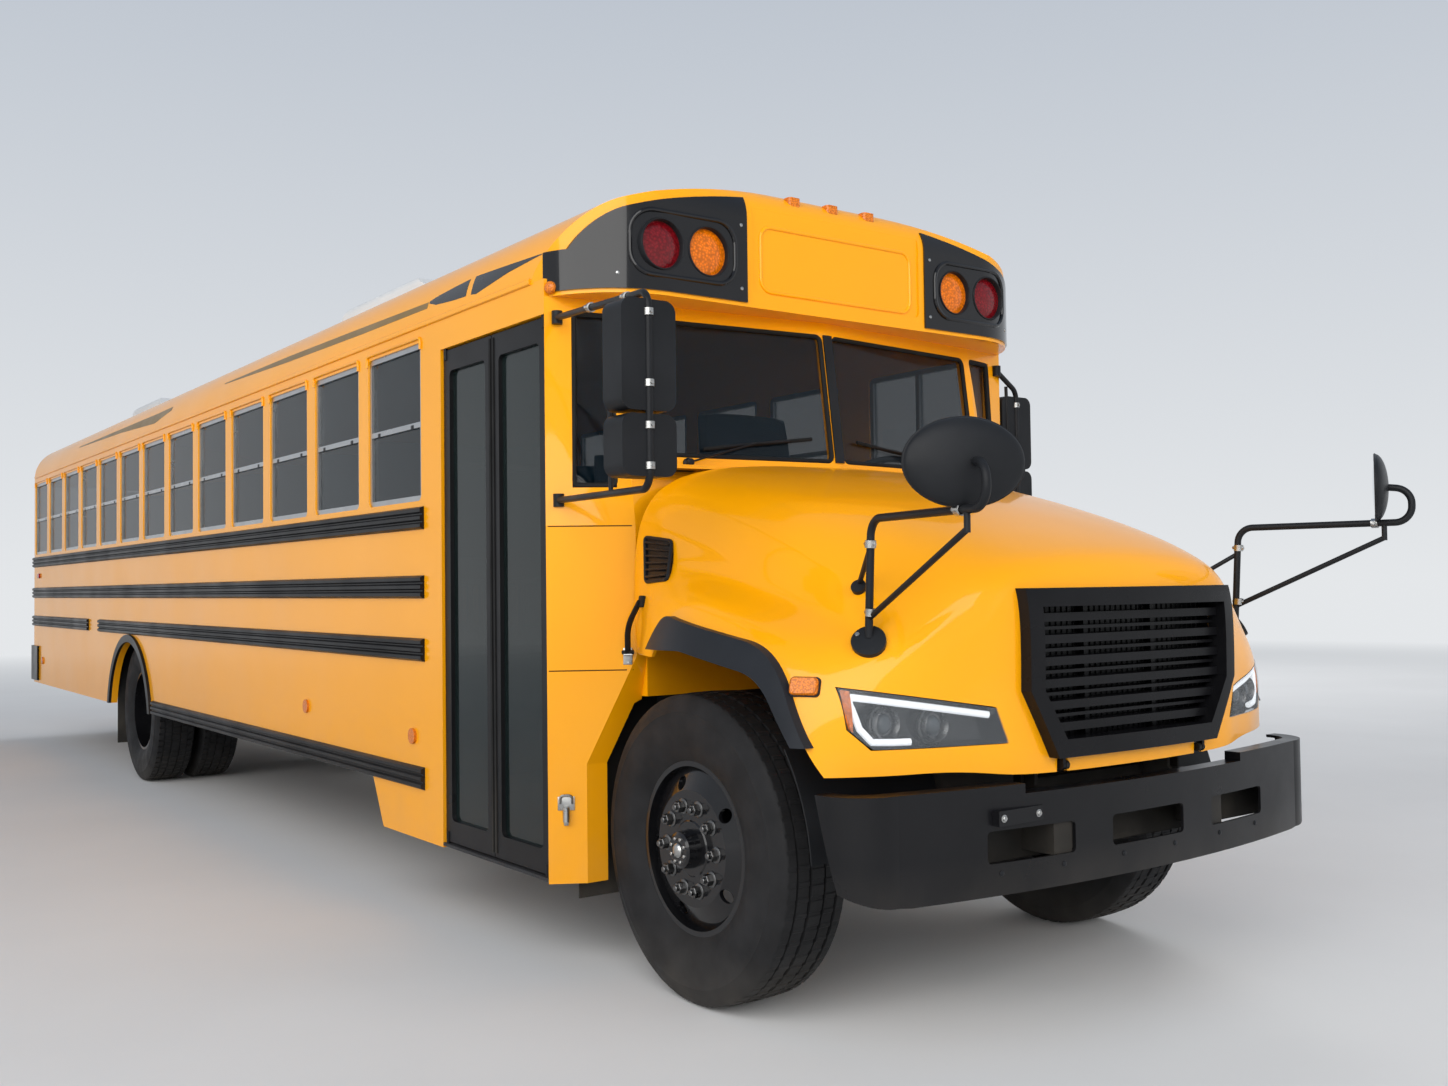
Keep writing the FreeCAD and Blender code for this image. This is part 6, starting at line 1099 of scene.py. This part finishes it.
def build_crossover_mirrors():
    glass = Shape("crossover_mirror_glass", "mirror", "hood")
    rims = Shape("crossover_mirror_rims", "trim", "hood")
    clamps = Shape("crossover_mirror_clamps", "steel", "hood")
    for side, _ in SIDES:
        x, y, z = CROSS_HEAD
        yaw = Matrix.Rotation(math.radians(side * CROSS_HEAD_YAW), 4, "Z")
        place = Matrix.Translation(at(x, side * y, z)) @ yaw @ Matrix.Diagonal((*CROSS_HEAD_SCALE, 1.0))
        for shape, profile in ((glass, CROSS_GLASS), (rims, CROSS_RIM)):
            shape.lathe(profile, Vector(), -FORWARD, 64, profile is CROSS_RIM, place)
        for x, y, z in STAND_CLAMPS:
            clamp(clamps, at(x, side * y, z), STAND_LEAN)
        x, y, z = CROSS_ARM_CLAMP
        clamp(clamps, at(x, side * y, z), (CROSS_ARM[0], side * CROSS_ARM[1], CROSS_ARM[2]))
        x, y, highest = CROSS_FOOT
        for turn in FOOT_BOLT_TURNS:
            along, across = FOOT_BOLT_CIRCLE_R * math.cos(turn), FOOT_BOLT_CIRCLE_R * math.sin(turn)
            point, normal = touch("crossover_mirrors", at(x + along, side * (y + across), 1.6), -UP)
            if point.z < highest:
                clamps.nut(facing(point - normal * SEATED, normal, FORWARD), *FOOT_BOLT)
    all_done(glass, rims, clamps)


# Painted reflections, windows and body trim; a band's stations are (x, low z, high z)

# Dark bands along the roof's rounded edge are painted reflection: black behind the cap, dim yellow-brown
# further back
DARK_REFLECTION_BANDS = (
    ((-0.64, 2.64, 2.643), (-0.9, 2.622, 2.656), (-1.165, 2.586, 2.668), (-1.215, 2.592, 2.67)),
    ((-1.262, 2.594, 2.668), (-1.4, 2.6, 2.662), (-1.56, 2.612, 2.652), (-1.64, 2.632, 2.642)),
)
DIM_REFLECTION_BANDS = (
    ((-1.65, 2.612, 2.64), (-2.433, 2.62, 2.656), (-3.5, 2.64, 2.676), (-4.7, 2.676, 2.684)),
    ((-5.9, 2.65, 2.676), (-6.3, 2.6, 2.672), (-7.4, 2.64, 2.676), (-9.0, 2.672, 2.68)),
)
REFLECTION_STEP = 0.06
FILM_LIFT = 0.0008
WINDOW_FIRST = -1.704
WINDOW_PITCH = 0.7174
WINDOW_WIDTH = 0.596
WINDOW_COUNT = 13
WINDOW_HEAD = 2.473
WINDOW_BAR = 2.12
DRIP_ENDS = (-0.03, 0.02)
DRIP_OUT = 0.004
DRIP_R = 0.0065
SASH_LATCH_IN = 0.11
SASH_LATCH = (0.034, 0.018, 0.01)
SASH_LATCH_DEPTH = 0.012
GUTTER_Z = 2.546
GUTTER_OUT = 0.003
GUTTER_R = 0.0075
GUTTER_XS = (-0.7, -3.0, -6.0, -9.0, -10.93)


def on_roof_side(x, side, z):
    """The outermost of the roof, the cap and its lamp housings, seen from the side."""
    hits = []
    for node in ("roof", "roof_cap", "lamp_housings"):
        try:
            hits.append(from_side(node, x, side, z))
        except ValueError:
            continue
    return max(hits, key=lambda hit: side * hit[0].y)


def add_painted_reflection(shape, side, stations):
    """A dark band painted on the roof's rounded side: a painted reflection."""
    rows = []
    for (x0, low0, high0), (x1, low1, high1) in zip(stations, stations[1:]):
        count = max(2, int(abs(x1 - x0) / REFLECTION_STEP)) + 1
        places = list(zip(spread(x0, x1, count), spread(low0, low1, count), spread(high0, high1, count)))
        for x, low, high in places if x1 == stations[-1][0] else places[:-1]:
            rows.append([on_roof_side(x, side, z) for z in spread(low, high, 6)])
    shape.film(rows, FILM_LIFT)


def build_painted_reflections(side, word):
    # Each side gets its painted reflection bands: the black one behind the cap and the dim tail
    for name, finish_name, bands in ((f"roof_stripe_{word}", "reflection_dark", DARK_REFLECTION_BANDS),
                                       (f"roof_stripe_tail_{word}", "reflection_dim", DIM_REFLECTION_BANDS)):
        shape = Shape(name, finish_name)
        for stations in bands:
            add_painted_reflection(shape, side, stations)
        shape.done()


def build_side_details(side, word):
    """Drip mouldings, sash latches and the eave gutter."""
    drips = Shape(f"window_drip_mouldings_{word}", "yellow")
    latches = Shape(f"sash_latches_{word}", "trim")
    gutter = Shape(f"eave_gutter_{word}", "yellow")
    low, high = (WINDOW_HEAD + rise for rise in DRIP_ENDS)
    for number in range(WINDOW_COUNT):
        front = WINDOW_FIRST - WINDOW_PITCH * number
        rear = front - WINDOW_WIDTH
        ahead, behind = front + DRIP_OUT, rear - DRIP_OUT
        path = [at(x, side * (WALL_Y + DRIP_OUT), z) for x, z in
                ((ahead, low), (ahead, high), (behind, high), (behind, low))]
        drips.tube(smooth_path(path, 0.02), DRIP_R, 8)
        for x in (front - SASH_LATCH_IN, rear + SASH_LATCH_IN):
            spot = at(x, side * (WALL_Y - SASH_LATCH_DEPTH), WINDOW_BAR - 0.004)
            latches.block(facing(spot, Vector((0.0, side, 0.0))), SASH_LATCH, 0.003)
    gutter.tube([at(x, side * (WALL_Y + GUTTER_OUT), GUTTER_Z) for x in GUTTER_XS], GUTTER_R, 8, 1.6)
    all_done(drips, latches, gutter)


# Bumper, wheel wells and stop sign

BACKING_X = 0.935
BACKING_HALF = 0.98
BACKING_Z = (0.56, 0.715)
BACKING_SHEET = 0.004
BACKING_FOLD = 0.03
ACCESSORY_BOLTS_Y = (-0.65, -0.5)
ACCESSORY_Z = 0.722
ACCESSORY_LOOK = 0.012
ACCESSORY_BOLT = (0.0085, 0.007)
ACCESSORY_WASHER = ((0.0115, -0.001), (0.0115, 0.0015), (0.0095, 0.0025))
SLOT_SCREWS_Y = (-0.64, -0.395, -0.13, 0.13, 0.395, 0.64)
SLOT_SCREWS_Z = 0.56
SLOT_SCREW = ((0.0085, -0.001), (0.008, 0.002), (0.005, 0.004), (0.0, 0.0045))
LINER_R = 0.645
LINER_Y = (0.46, 1.02)
LINER_ANGLES = (4.0, 36.0)
LINER_SHEET = 0.004
SIGN_BORDER = (1.07, 0.985)
SIGN_LAMP_SHARE = 0.62
SIGN_LAMP_RIM = ((0.046, -0.001), (0.047, 0.01), (0.043, 0.012), (0.04, 0.008))
SIGN_LAMP = ((0.041, 0.0), (0.04, 0.009), (0.028, 0.014), (0.012, 0.017), (0.0, 0.0175))


def build_bumper_backing():
    """The dark plate behind the bumper's slots, with its folded edges."""
    backing = Shape("bumper_backing", "frame")
    low, high = BACKING_Z
    place = Matrix.Translation(at(BACKING_X, 0.0, (low + high) / 2.0))
    backing.block(place, (BACKING_SHEET, 2.0 * BACKING_HALF, high - low), 0.001)
    for up in (-1.0, 1.0):
        backing.block(place, (BACKING_FOLD, 2.0 * BACKING_HALF, BACKING_SHEET), 0.001,
                      ((BACKING_SHEET - BACKING_FOLD) / 2.0, 0.0, up * (high - low - BACKING_SHEET) / 2.0))
    backing.done()


def build_wheel_liner(side, word):
    """The curved splash panel in front of a front wheel, inside the fender."""
    rows = []
    for angle in spread(*LINER_ANGLES, 9):
        out = Vector((math.cos(math.radians(angle)), 0.0, math.sin(math.radians(angle))))
        rows.append([(at(LINER_R * out.x, side * y, AXLE_Z + LINER_R * out.z), out)
                     for y in spread(*LINER_Y, 7)])
    liner = Shape(f"wheel_liner_{word}", "trim", "hood")
    liner.film(rows, LINER_SHEET)
    liner.done()


def build_bumper_bolts():
    bolts = Shape("bumper_plate_bolts", "steel")
    screws = Shape("bumper_screws", "trim")
    for y in ACCESSORY_BOLTS_Y:
        point, normal = from_front("front_bumper", y + ACCESSORY_LOOK, ACCESSORY_Z)
        place = facing(Vector((point.x, y, ACCESSORY_Z)), normal)
        bolts.lathe(ACCESSORY_WASHER, place.translation, normal, 20)
        bolts.nut(place, *ACCESSORY_BOLT)
    for y in SLOT_SCREWS_Y:
        screws.lathe(SLOT_SCREW, *from_front("front_bumper", y, SLOT_SCREWS_Z), 16)
    all_done(bolts, screws)


def build_stop_sign():
    """A white border and two red lamps on each face of the blank sign."""
    low, high = (Vector(corner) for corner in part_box("stop_arm"))
    radius = (high.z - low.z) / 2.0
    middle = Vector((low.x + radius, (low.y + high.y) / 2.0, (low.z + high.z) / 2.0))
    border = Shape("stop_sign_border", "white_paint", "stop_sign")
    lamps = Shape("stop_sign_lamps", "red", "stop_sign")
    rims = Shape("stop_sign_lamp_rims", "trim", "stop_sign")
    for side, _ in SIDES:
        face, normal = from_side("stop_arm", middle.x - radius * 0.5 - AXLE, side, middle.z + radius * 0.55)
        spot = Vector((middle.x, face.y, middle.z))
        place = facing(spot, normal)
        outer, inner = (in_frame(place, *((radius * reach * math.cos(turn), radius * reach * math.sin(turn),
                                           FILM_LIFT) for turn in turns(8, 0.5))) for reach in SIGN_BORDER)
        sunk_outer, sunk_inner = ([point - normal * 0.002 for point in ring] for ring in (outer, inner))
        border.skin([sunk_outer, outer, inner, sunk_inner], loop=True)
        for up in (-SIGN_LAMP_SHARE, SIGN_LAMP_SHARE):
            rims.lathe(SIGN_LAMP_RIM, spot + UP * up * radius, normal, 32)
            lamps.lathe(SIGN_LAMP, spot + UP * up * radius, normal, 32)
    all_done(border, rims, lamps)


# Rear wall and its door; places are (y, z)

HANDLE_AT = (0.395, 1.62)
HANDLE_PLATE = (0.06, 0.15, 0.01)
HANDLE_HUB = ((0.018, 0.0), (0.018, 0.03), (0.013, 0.034))
HANDLE_LEVER = ((0.0, 0.0, 0.028), (0.07, -0.004, 0.034), (0.15, -0.012, 0.03))
HINGE_Y = -0.425
HINGE_HEIGHTS = (1.28, 1.75, 2.28)
HINGE_PLATE = (0.04, 0.09, 0.008)
HINGE_BOLTS = (-0.03, 0.0, 0.03)
HINGE_BOLT = (0.006, 0.003)
REAR_LAMP_Y = 1.01
REAR_LAMPS = ((1.24, 0.075), (1.45, 0.09), (1.66, 0.09))
REAR_LAMP_RIM = ((0.001, -0.03), (0.001, 0.002), (0.004, 0.006), (0.01, 0.004), (0.012, -0.02))
REAR_WINDOW = (0.565, 1.055, 1.792, 2.468)
REAR_GASKET = (0.011, 0.014)


def build_emergency_door_fittings():
    """The door's handle and its hinges."""
    handle = Shape("emergency_door_handle", "chrome", "rear_emergency_door")
    hinges = Shape("emergency_door_hinges", "dark_steel", "rear_emergency_door")
    point, normal = from_behind("emergency_door", *HANDLE_AT)
    place = facing(point, normal)
    handle.block(place, HANDLE_PLATE, 0.004, (0.0, 0.0, 0.002))
    handle.lathe(HANDLE_HUB, point, normal, 20)
    handle.tube(smooth_path(in_frame(place, *HANDLE_LEVER)), 0.009, 10, 0.7)
    handle.done()
    for z in HINGE_HEIGHTS:
        point, normal = from_behind("emergency_door", HINGE_Y, z)
        hinges.block(facing(point, normal), HINGE_PLATE, 0.002, (0.0, 0.0, 0.002))
        for up in HINGE_BOLTS:
            hinges.nut(facing(point + normal * 0.005 + UP * up, normal), *HINGE_BOLT)
    hinges.done()


def build_rear_details():
    """Rims round the rear lamps and gaskets round the rear windows."""
    seals = Shape("rear_window_gaskets", "rubber")
    rims = Shape("rear_lamp_rims", "trim")
    y0, y1, z0, z1 = REAR_WINDOW
    for side, _ in SIDES:
        for z, radius in REAR_LAMPS:
            profile = [(radius + wider, along) for wider, along in REAR_LAMP_RIM]
            rims.lathe(profile, *from_behind("marker_lamps", side * REAR_LAMP_Y, z), 48, loop=True)
        middle = at(BEHIND_X, side * (y0 + y1) / 2.0, (z0 + z1) / 2.0)
        loop_tube(seals, [touch_plane("window_glass", at(BEHIND_X, side * y, z), middle, FORWARD)
                          for y, z in corners_of(*REAR_WINDOW)], *REAR_GASKET)
    all_done(rims, seals)


# Seats: (x, y, y) of a bench, then its cushion (depth, low, high) and back (low, high, thickness, lean)

SEAT_FRONT = -2.05
SEAT_PITCH = 0.715
SEAT_ROWS = 12
SEAT_SPAN = (0.18, 1.15)
CUSHION = (0.4, 1.45, 1.565)
SEAT_BACK = (1.49, 2.13, 0.085, 0.075)
DRIVER_PLACE = (-1.1, 0.3, 0.82)
DRIVER_CUSHION = (0.48, 1.52, 1.63)
DRIVER_BACK = (1.55, 2.27, 0.1, 0.11)
CUSHION_CROWN = 0.008
BACK_CROWN = 0.007
CORNER_PULL = 0.012
PAD_CUTS = 7
BACK_GAP = 0.016
PIPING_R = 0.004
PIPING_IN = 0.01


def add_pad(shape, corners, crown):
    """A stuffed pad between eight corners: its faces swell and its edges draw in between the corners."""
    def spot(u, v, w):
        blend = Vector()
        for i, a in enumerate((1 - u, u)):
            for j, b in enumerate((1 - v, v)):
                for k, c in enumerate((1 - w, w)):
                    blend += corners[i * 4 + j * 2 + k] * (a * b * c)
        return blend

    middle = spot(0.5, 0.5, 0.5)
    points = {}

    def vertex(*key):
        if key not in points:
            shares = [step / PAD_CUTS for step in key]
            place = spot(*shares)
            swell = [4.0 * share * (1.0 - share) for share in shares]
            edge = [abs(2.0 * share - 1.0) ** 6 for share in shares]
            hold = edge[0] * edge[1] + edge[1] * edge[2] + edge[0] * edge[2]
            rise = swell[0] * swell[1] * edge[2] + swell[1] * swell[2] * edge[0] + swell[0] * swell[2] * edge[1]
            place += (place - middle).normalized() * (crown * rise - CORNER_PULL * hold)
            points[key] = shape.mesh.verts.new(place)
        return points[key]

    for a in range(PAD_CUTS):
        for b in range(PAD_CUTS):
            square = ((a, b), (a + 1, b), (a + 1, b + 1), (a, b + 1))
            for end in (0, PAD_CUTS):
                for quad in ([(i, j, end) for i, j in square], [(i, end, j) for i, j in square],
                             [(end, i, j) for i, j in square]):
                    shape.mesh.faces.new([vertex(*corner) for corner in quad])


def box_corners(x0, x1, y0, y1, z0, z1, lean=0.0):
    """Eight corners of a pad; lean moves its top rearwards."""
    return [at(x - (lean if z == z1 else 0.0), y, z) for x in (x0, x1) for y in (y0, y1) for z in (z0, z1)]


def build_seats():
    """Padded benches and the driver's seat, with piping along their front edges."""
    pads = Shape("seat_pads", "vinyl", angle=60.0)
    piping = Shape("seat_piping", "vinyl")
    inner, outer = SEAT_SPAN
    seats = [(SEAT_FRONT - SEAT_PITCH * row, *span, *CUSHION, *SEAT_BACK) for row in range(SEAT_ROWS)
             for span in ((-outer, -inner), (inner, outer))]
    seats.append((*DRIVER_PLACE, *DRIVER_CUSHION, *DRIVER_BACK))
    for x, y0, y1, depth, low, high, back_low, back_high, thickness, lean in seats:
        add_pad(pads, box_corners(x - depth, x, y0, y1, low, high - 0.006), CUSHION_CROWN)
        rear = x - depth - BACK_GAP
        add_pad(pads, box_corners(rear - thickness, rear, y0, y1, back_low, back_high, lean), BACK_CROWN)
        right, left, front = y0 + PIPING_IN, y1 - PIPING_IN, x - 0.006
        path = [at(*spot, high - 2.0 * PIPING_R) for spot in
                ((x - depth, right), (front, right), (front, left), (x - depth, left))]
        piping.tube(smooth_path(path, 0.03, 3), PIPING_R, 6)
    padded = pads.done()
    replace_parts(padded, "seats")
    piping.done()


# Roof units and entrance

ROOF_UNITS = ((-4.75, -3.15), (-10.4, -9.0))
VENT_SLOTS = 7
VENT_SHARES = (0.17, 0.095)
VENT_LENGTH = 0.09
VENT_Z = (3.085, 3.097)
VENT_LIFT = 0.0015
OVAL_FOOT = 3.07
OVAL_ROWS = 5
OVAL_PITCH = 0.018
OVAL_SLOT = 0.008
OVAL_HALF = 0.22
OVAL_REACH = 2.6
LEAF_SEALS = ((-1.064, "entrance_rear_leaf", "entrance_leaf_rear"),
              (-1.036, "entrance_front_leaf", "entrance_leaf_front"))
LEAF_SEAL_Z = (0.375, 2.39)
LEAF_SEAL_HALF = 0.007
LEAF_SEAL_LIFT = 0.004
GRAB_RAIL_R = 0.016
GRAB_RAIL = ((-1.56, -0.62, 1.13), (-1.56, -0.62, 1.93), (-1.56, -1.14, 1.93))


def build_roof_unit_vents():
    """Dark vent slots along the sides and an oval grille on the front of each roof unit."""
    slots = Shape("roof_unit_vents", "trim")
    for rear, front in ROOF_UNITS:
        for side, _ in SIDES:
            for number in range(VENT_SLOTS):
                x = rear + (front - rear) * (VENT_SHARES[0] + VENT_SHARES[1] * number)
                slots.film([[from_side("roof_units", along, side, z) for along in spread(x, x + VENT_LENGTH, 3)]
                            for z in VENT_Z], VENT_LIFT)
        for row in range(OVAL_ROWS):
            z = OVAL_FOOT + OVAL_PITCH * row
            half = OVAL_HALF * math.sqrt(1.0 - ((row - (OVAL_ROWS - 1) / 2.0) / OVAL_REACH) ** 2)
            slots.film([[touch("roof_units", at(front + 1.5, y, level), -FORWARD) for y in (-half, 0.0, half)]
                        for level in (z, z + OVAL_SLOT)], VENT_LIFT)
    slots.done()


def build_door_trim():
    """Rubber seals where the two leaves meet, and the grab rail inside the door."""
    for x, leaf, node in LEAF_SEALS:
        seal = Shape(f"{leaf}_seal", "rubber", leaf)
        seal.film([[from_side(node, x + across, -1.0, z) for z in spread(*LEAF_SEAL_Z, 13)]
                   for across in (-LEAF_SEAL_HALF, LEAF_SEAL_HALF)], LEAF_SEAL_LIFT)
        seal.done()
    rail = Shape("entrance_grab_rail", "steel")
    rail.tube(smooth_path([at(*spot) for spot in GRAB_RAIL], 0.08), GRAB_RAIL_R, 12)
    rail.done()


for side, word in SIDES:
    for build in (build_tyres, build_wheel_nuts, build_headlamp, build_markers, build_painted_reflections,
                  build_side_details, build_wheel_liner):
        build(side, word)
for build in (build_lamp_rims, build_cap_mouldings, build_windshield, build_cowl_fittings, build_hood_fittings,
              build_grille_screen, build_side_mirrors, build_crossover_mirrors, build_bumper_backing,
              build_bumper_bolts, build_stop_sign, build_emergency_door_fittings, build_rear_details,
              build_seats, build_roof_unit_vents, build_door_trim):
    build()


# Floor, light and camera


def fade_far(tree):
    """The floor runs into the backdrop's colour far from the bus, so no horizon shows."""
    length = tree.node("VectorMath", "Value", {0: tree.place}, operation="LENGTH")
    far = tree.ramp(length, *FLOOR_FADE, 0.0, 1.0)
    glow = tree.node("Emission", "Emission", {"Color": (*BACKDROP, 1.0)})
    mixed = tree.node("MixShader", "Shader", {0: far, 1: tree.shader.outputs["BSDF"], 2: glow})
    tree.put(tree.nodes["Material Output"].inputs["Surface"], mixed)


def build_floor():
    mesh = bpy.data.meshes.new("floor_plane")
    corners = [(-1, -1), (1, -1), (1, 1), (-1, 1)]
    mesh.from_pydata([(x * FLOOR_HALF, y * FLOOR_HALF, 0.0) for x, y in corners], [], [(0, 1, 2, 3)])
    tree = material_tree("pale_floor")
    tree.feed(Base_Color=tree.varied(tree.clouds(0.6, 8.0, 0.0, 1.0), FLOOR, 0.97, 1.03),
              Normal=tree.bump(tree.noise(90.0), 0.15, 0.002), Roughness=0.85)
    fade_far(tree)
    mesh.materials.append(tree.owner)
    floor = bpy.data.objects.new("floor_stage", mesh)
    bpy.context.collection.objects.link(floor)


def build_world():
    """A pale backdrop that fades upwards; what lights the object is a plain part of it."""
    world = bpy.data.worlds.new("studio")
    bpy.context.scene.world = world
    tree = Tree(world, "Background", "Generated")
    path = tree.nodes.new("ShaderNodeLightPath")
    seen = path.outputs["Is Camera Ray"]
    for ray in ("Is Glossy Ray", "Is Transmission Ray"):
        seen = tree.node("Math", "Value", {0: seen, 1: path.outputs[ray]}, operation="MAXIMUM")
    tree.feed(Color=tree.mix(tree.ramp(tree.height(), 0.0, ZENITH_FROM, 0.0, 1.0), BACKDROP, ZENITH),
              Strength=tree.ramp(seen, 0.0, 1.0, AMBIENT, 1.0))


def build_lamp(name, place, target, size, power, mirrored=False):
    light = bpy.data.lights.new(name, "AREA")
    light.shape = "RECTANGLE"
    light.size, light.size_y = size
    light.energy = power
    light.color = LAMP_COLOUR
    lamp = bpy.data.objects.new(name, light)
    lamp.location = at(*place)
    lamp.rotation_euler = (at(*target) - at(*place)).to_track_quat("-Z", "Y").to_euler()
    lamp.visible_glossy = mirrored
    bpy.context.collection.objects.link(lamp)


def build_camera():
    turn, climb, roll = (math.radians(angle) for angle in CAMERA_TURN)
    forward = Vector((-math.sin(turn) * math.cos(climb), math.cos(turn) * math.cos(climb), math.sin(climb)))
    level = Vector((math.cos(turn), math.sin(turn), 0.0))
    upright = level.cross(forward)
    right = level * math.cos(roll) + upright * math.sin(roll)
    above = upright * math.cos(roll) - level * math.sin(roll)
    data = bpy.data.cameras.new("camera")
    data.lens = CAMERA_LENS
    data.sensor_width = CAMERA_SENSOR
    data.clip_end = 400.0
    camera = bpy.data.objects.new("camera", data)
    axes = Matrix((right, above, -forward)).transposed().to_4x4()
    camera.matrix_world = Matrix.Translation(at(*CAMERA_AT)) @ axes
    bpy.context.collection.objects.link(camera)
    bpy.context.scene.camera = camera


build_floor()
build_world()
build_lamp("key_softbox", (7.0, -13.0, 9.0), (-2.0, -0.5, 1.3), (24.0, 14.0), 3300.0, mirrored=True)
build_lamp("front_softbox", (14.0, 3.0, 7.0), (0.5, 0.0, 1.4), (8.0, 6.0), 800.0)
build_lamp("back_softbox", (-12.0, 14.0, 10.0), (-4.0, 0.0, 1.5), (12.0, 7.0), 1500.0)
build_camera()
bpy.context.scene.view_settings.view_transform = "Standard"
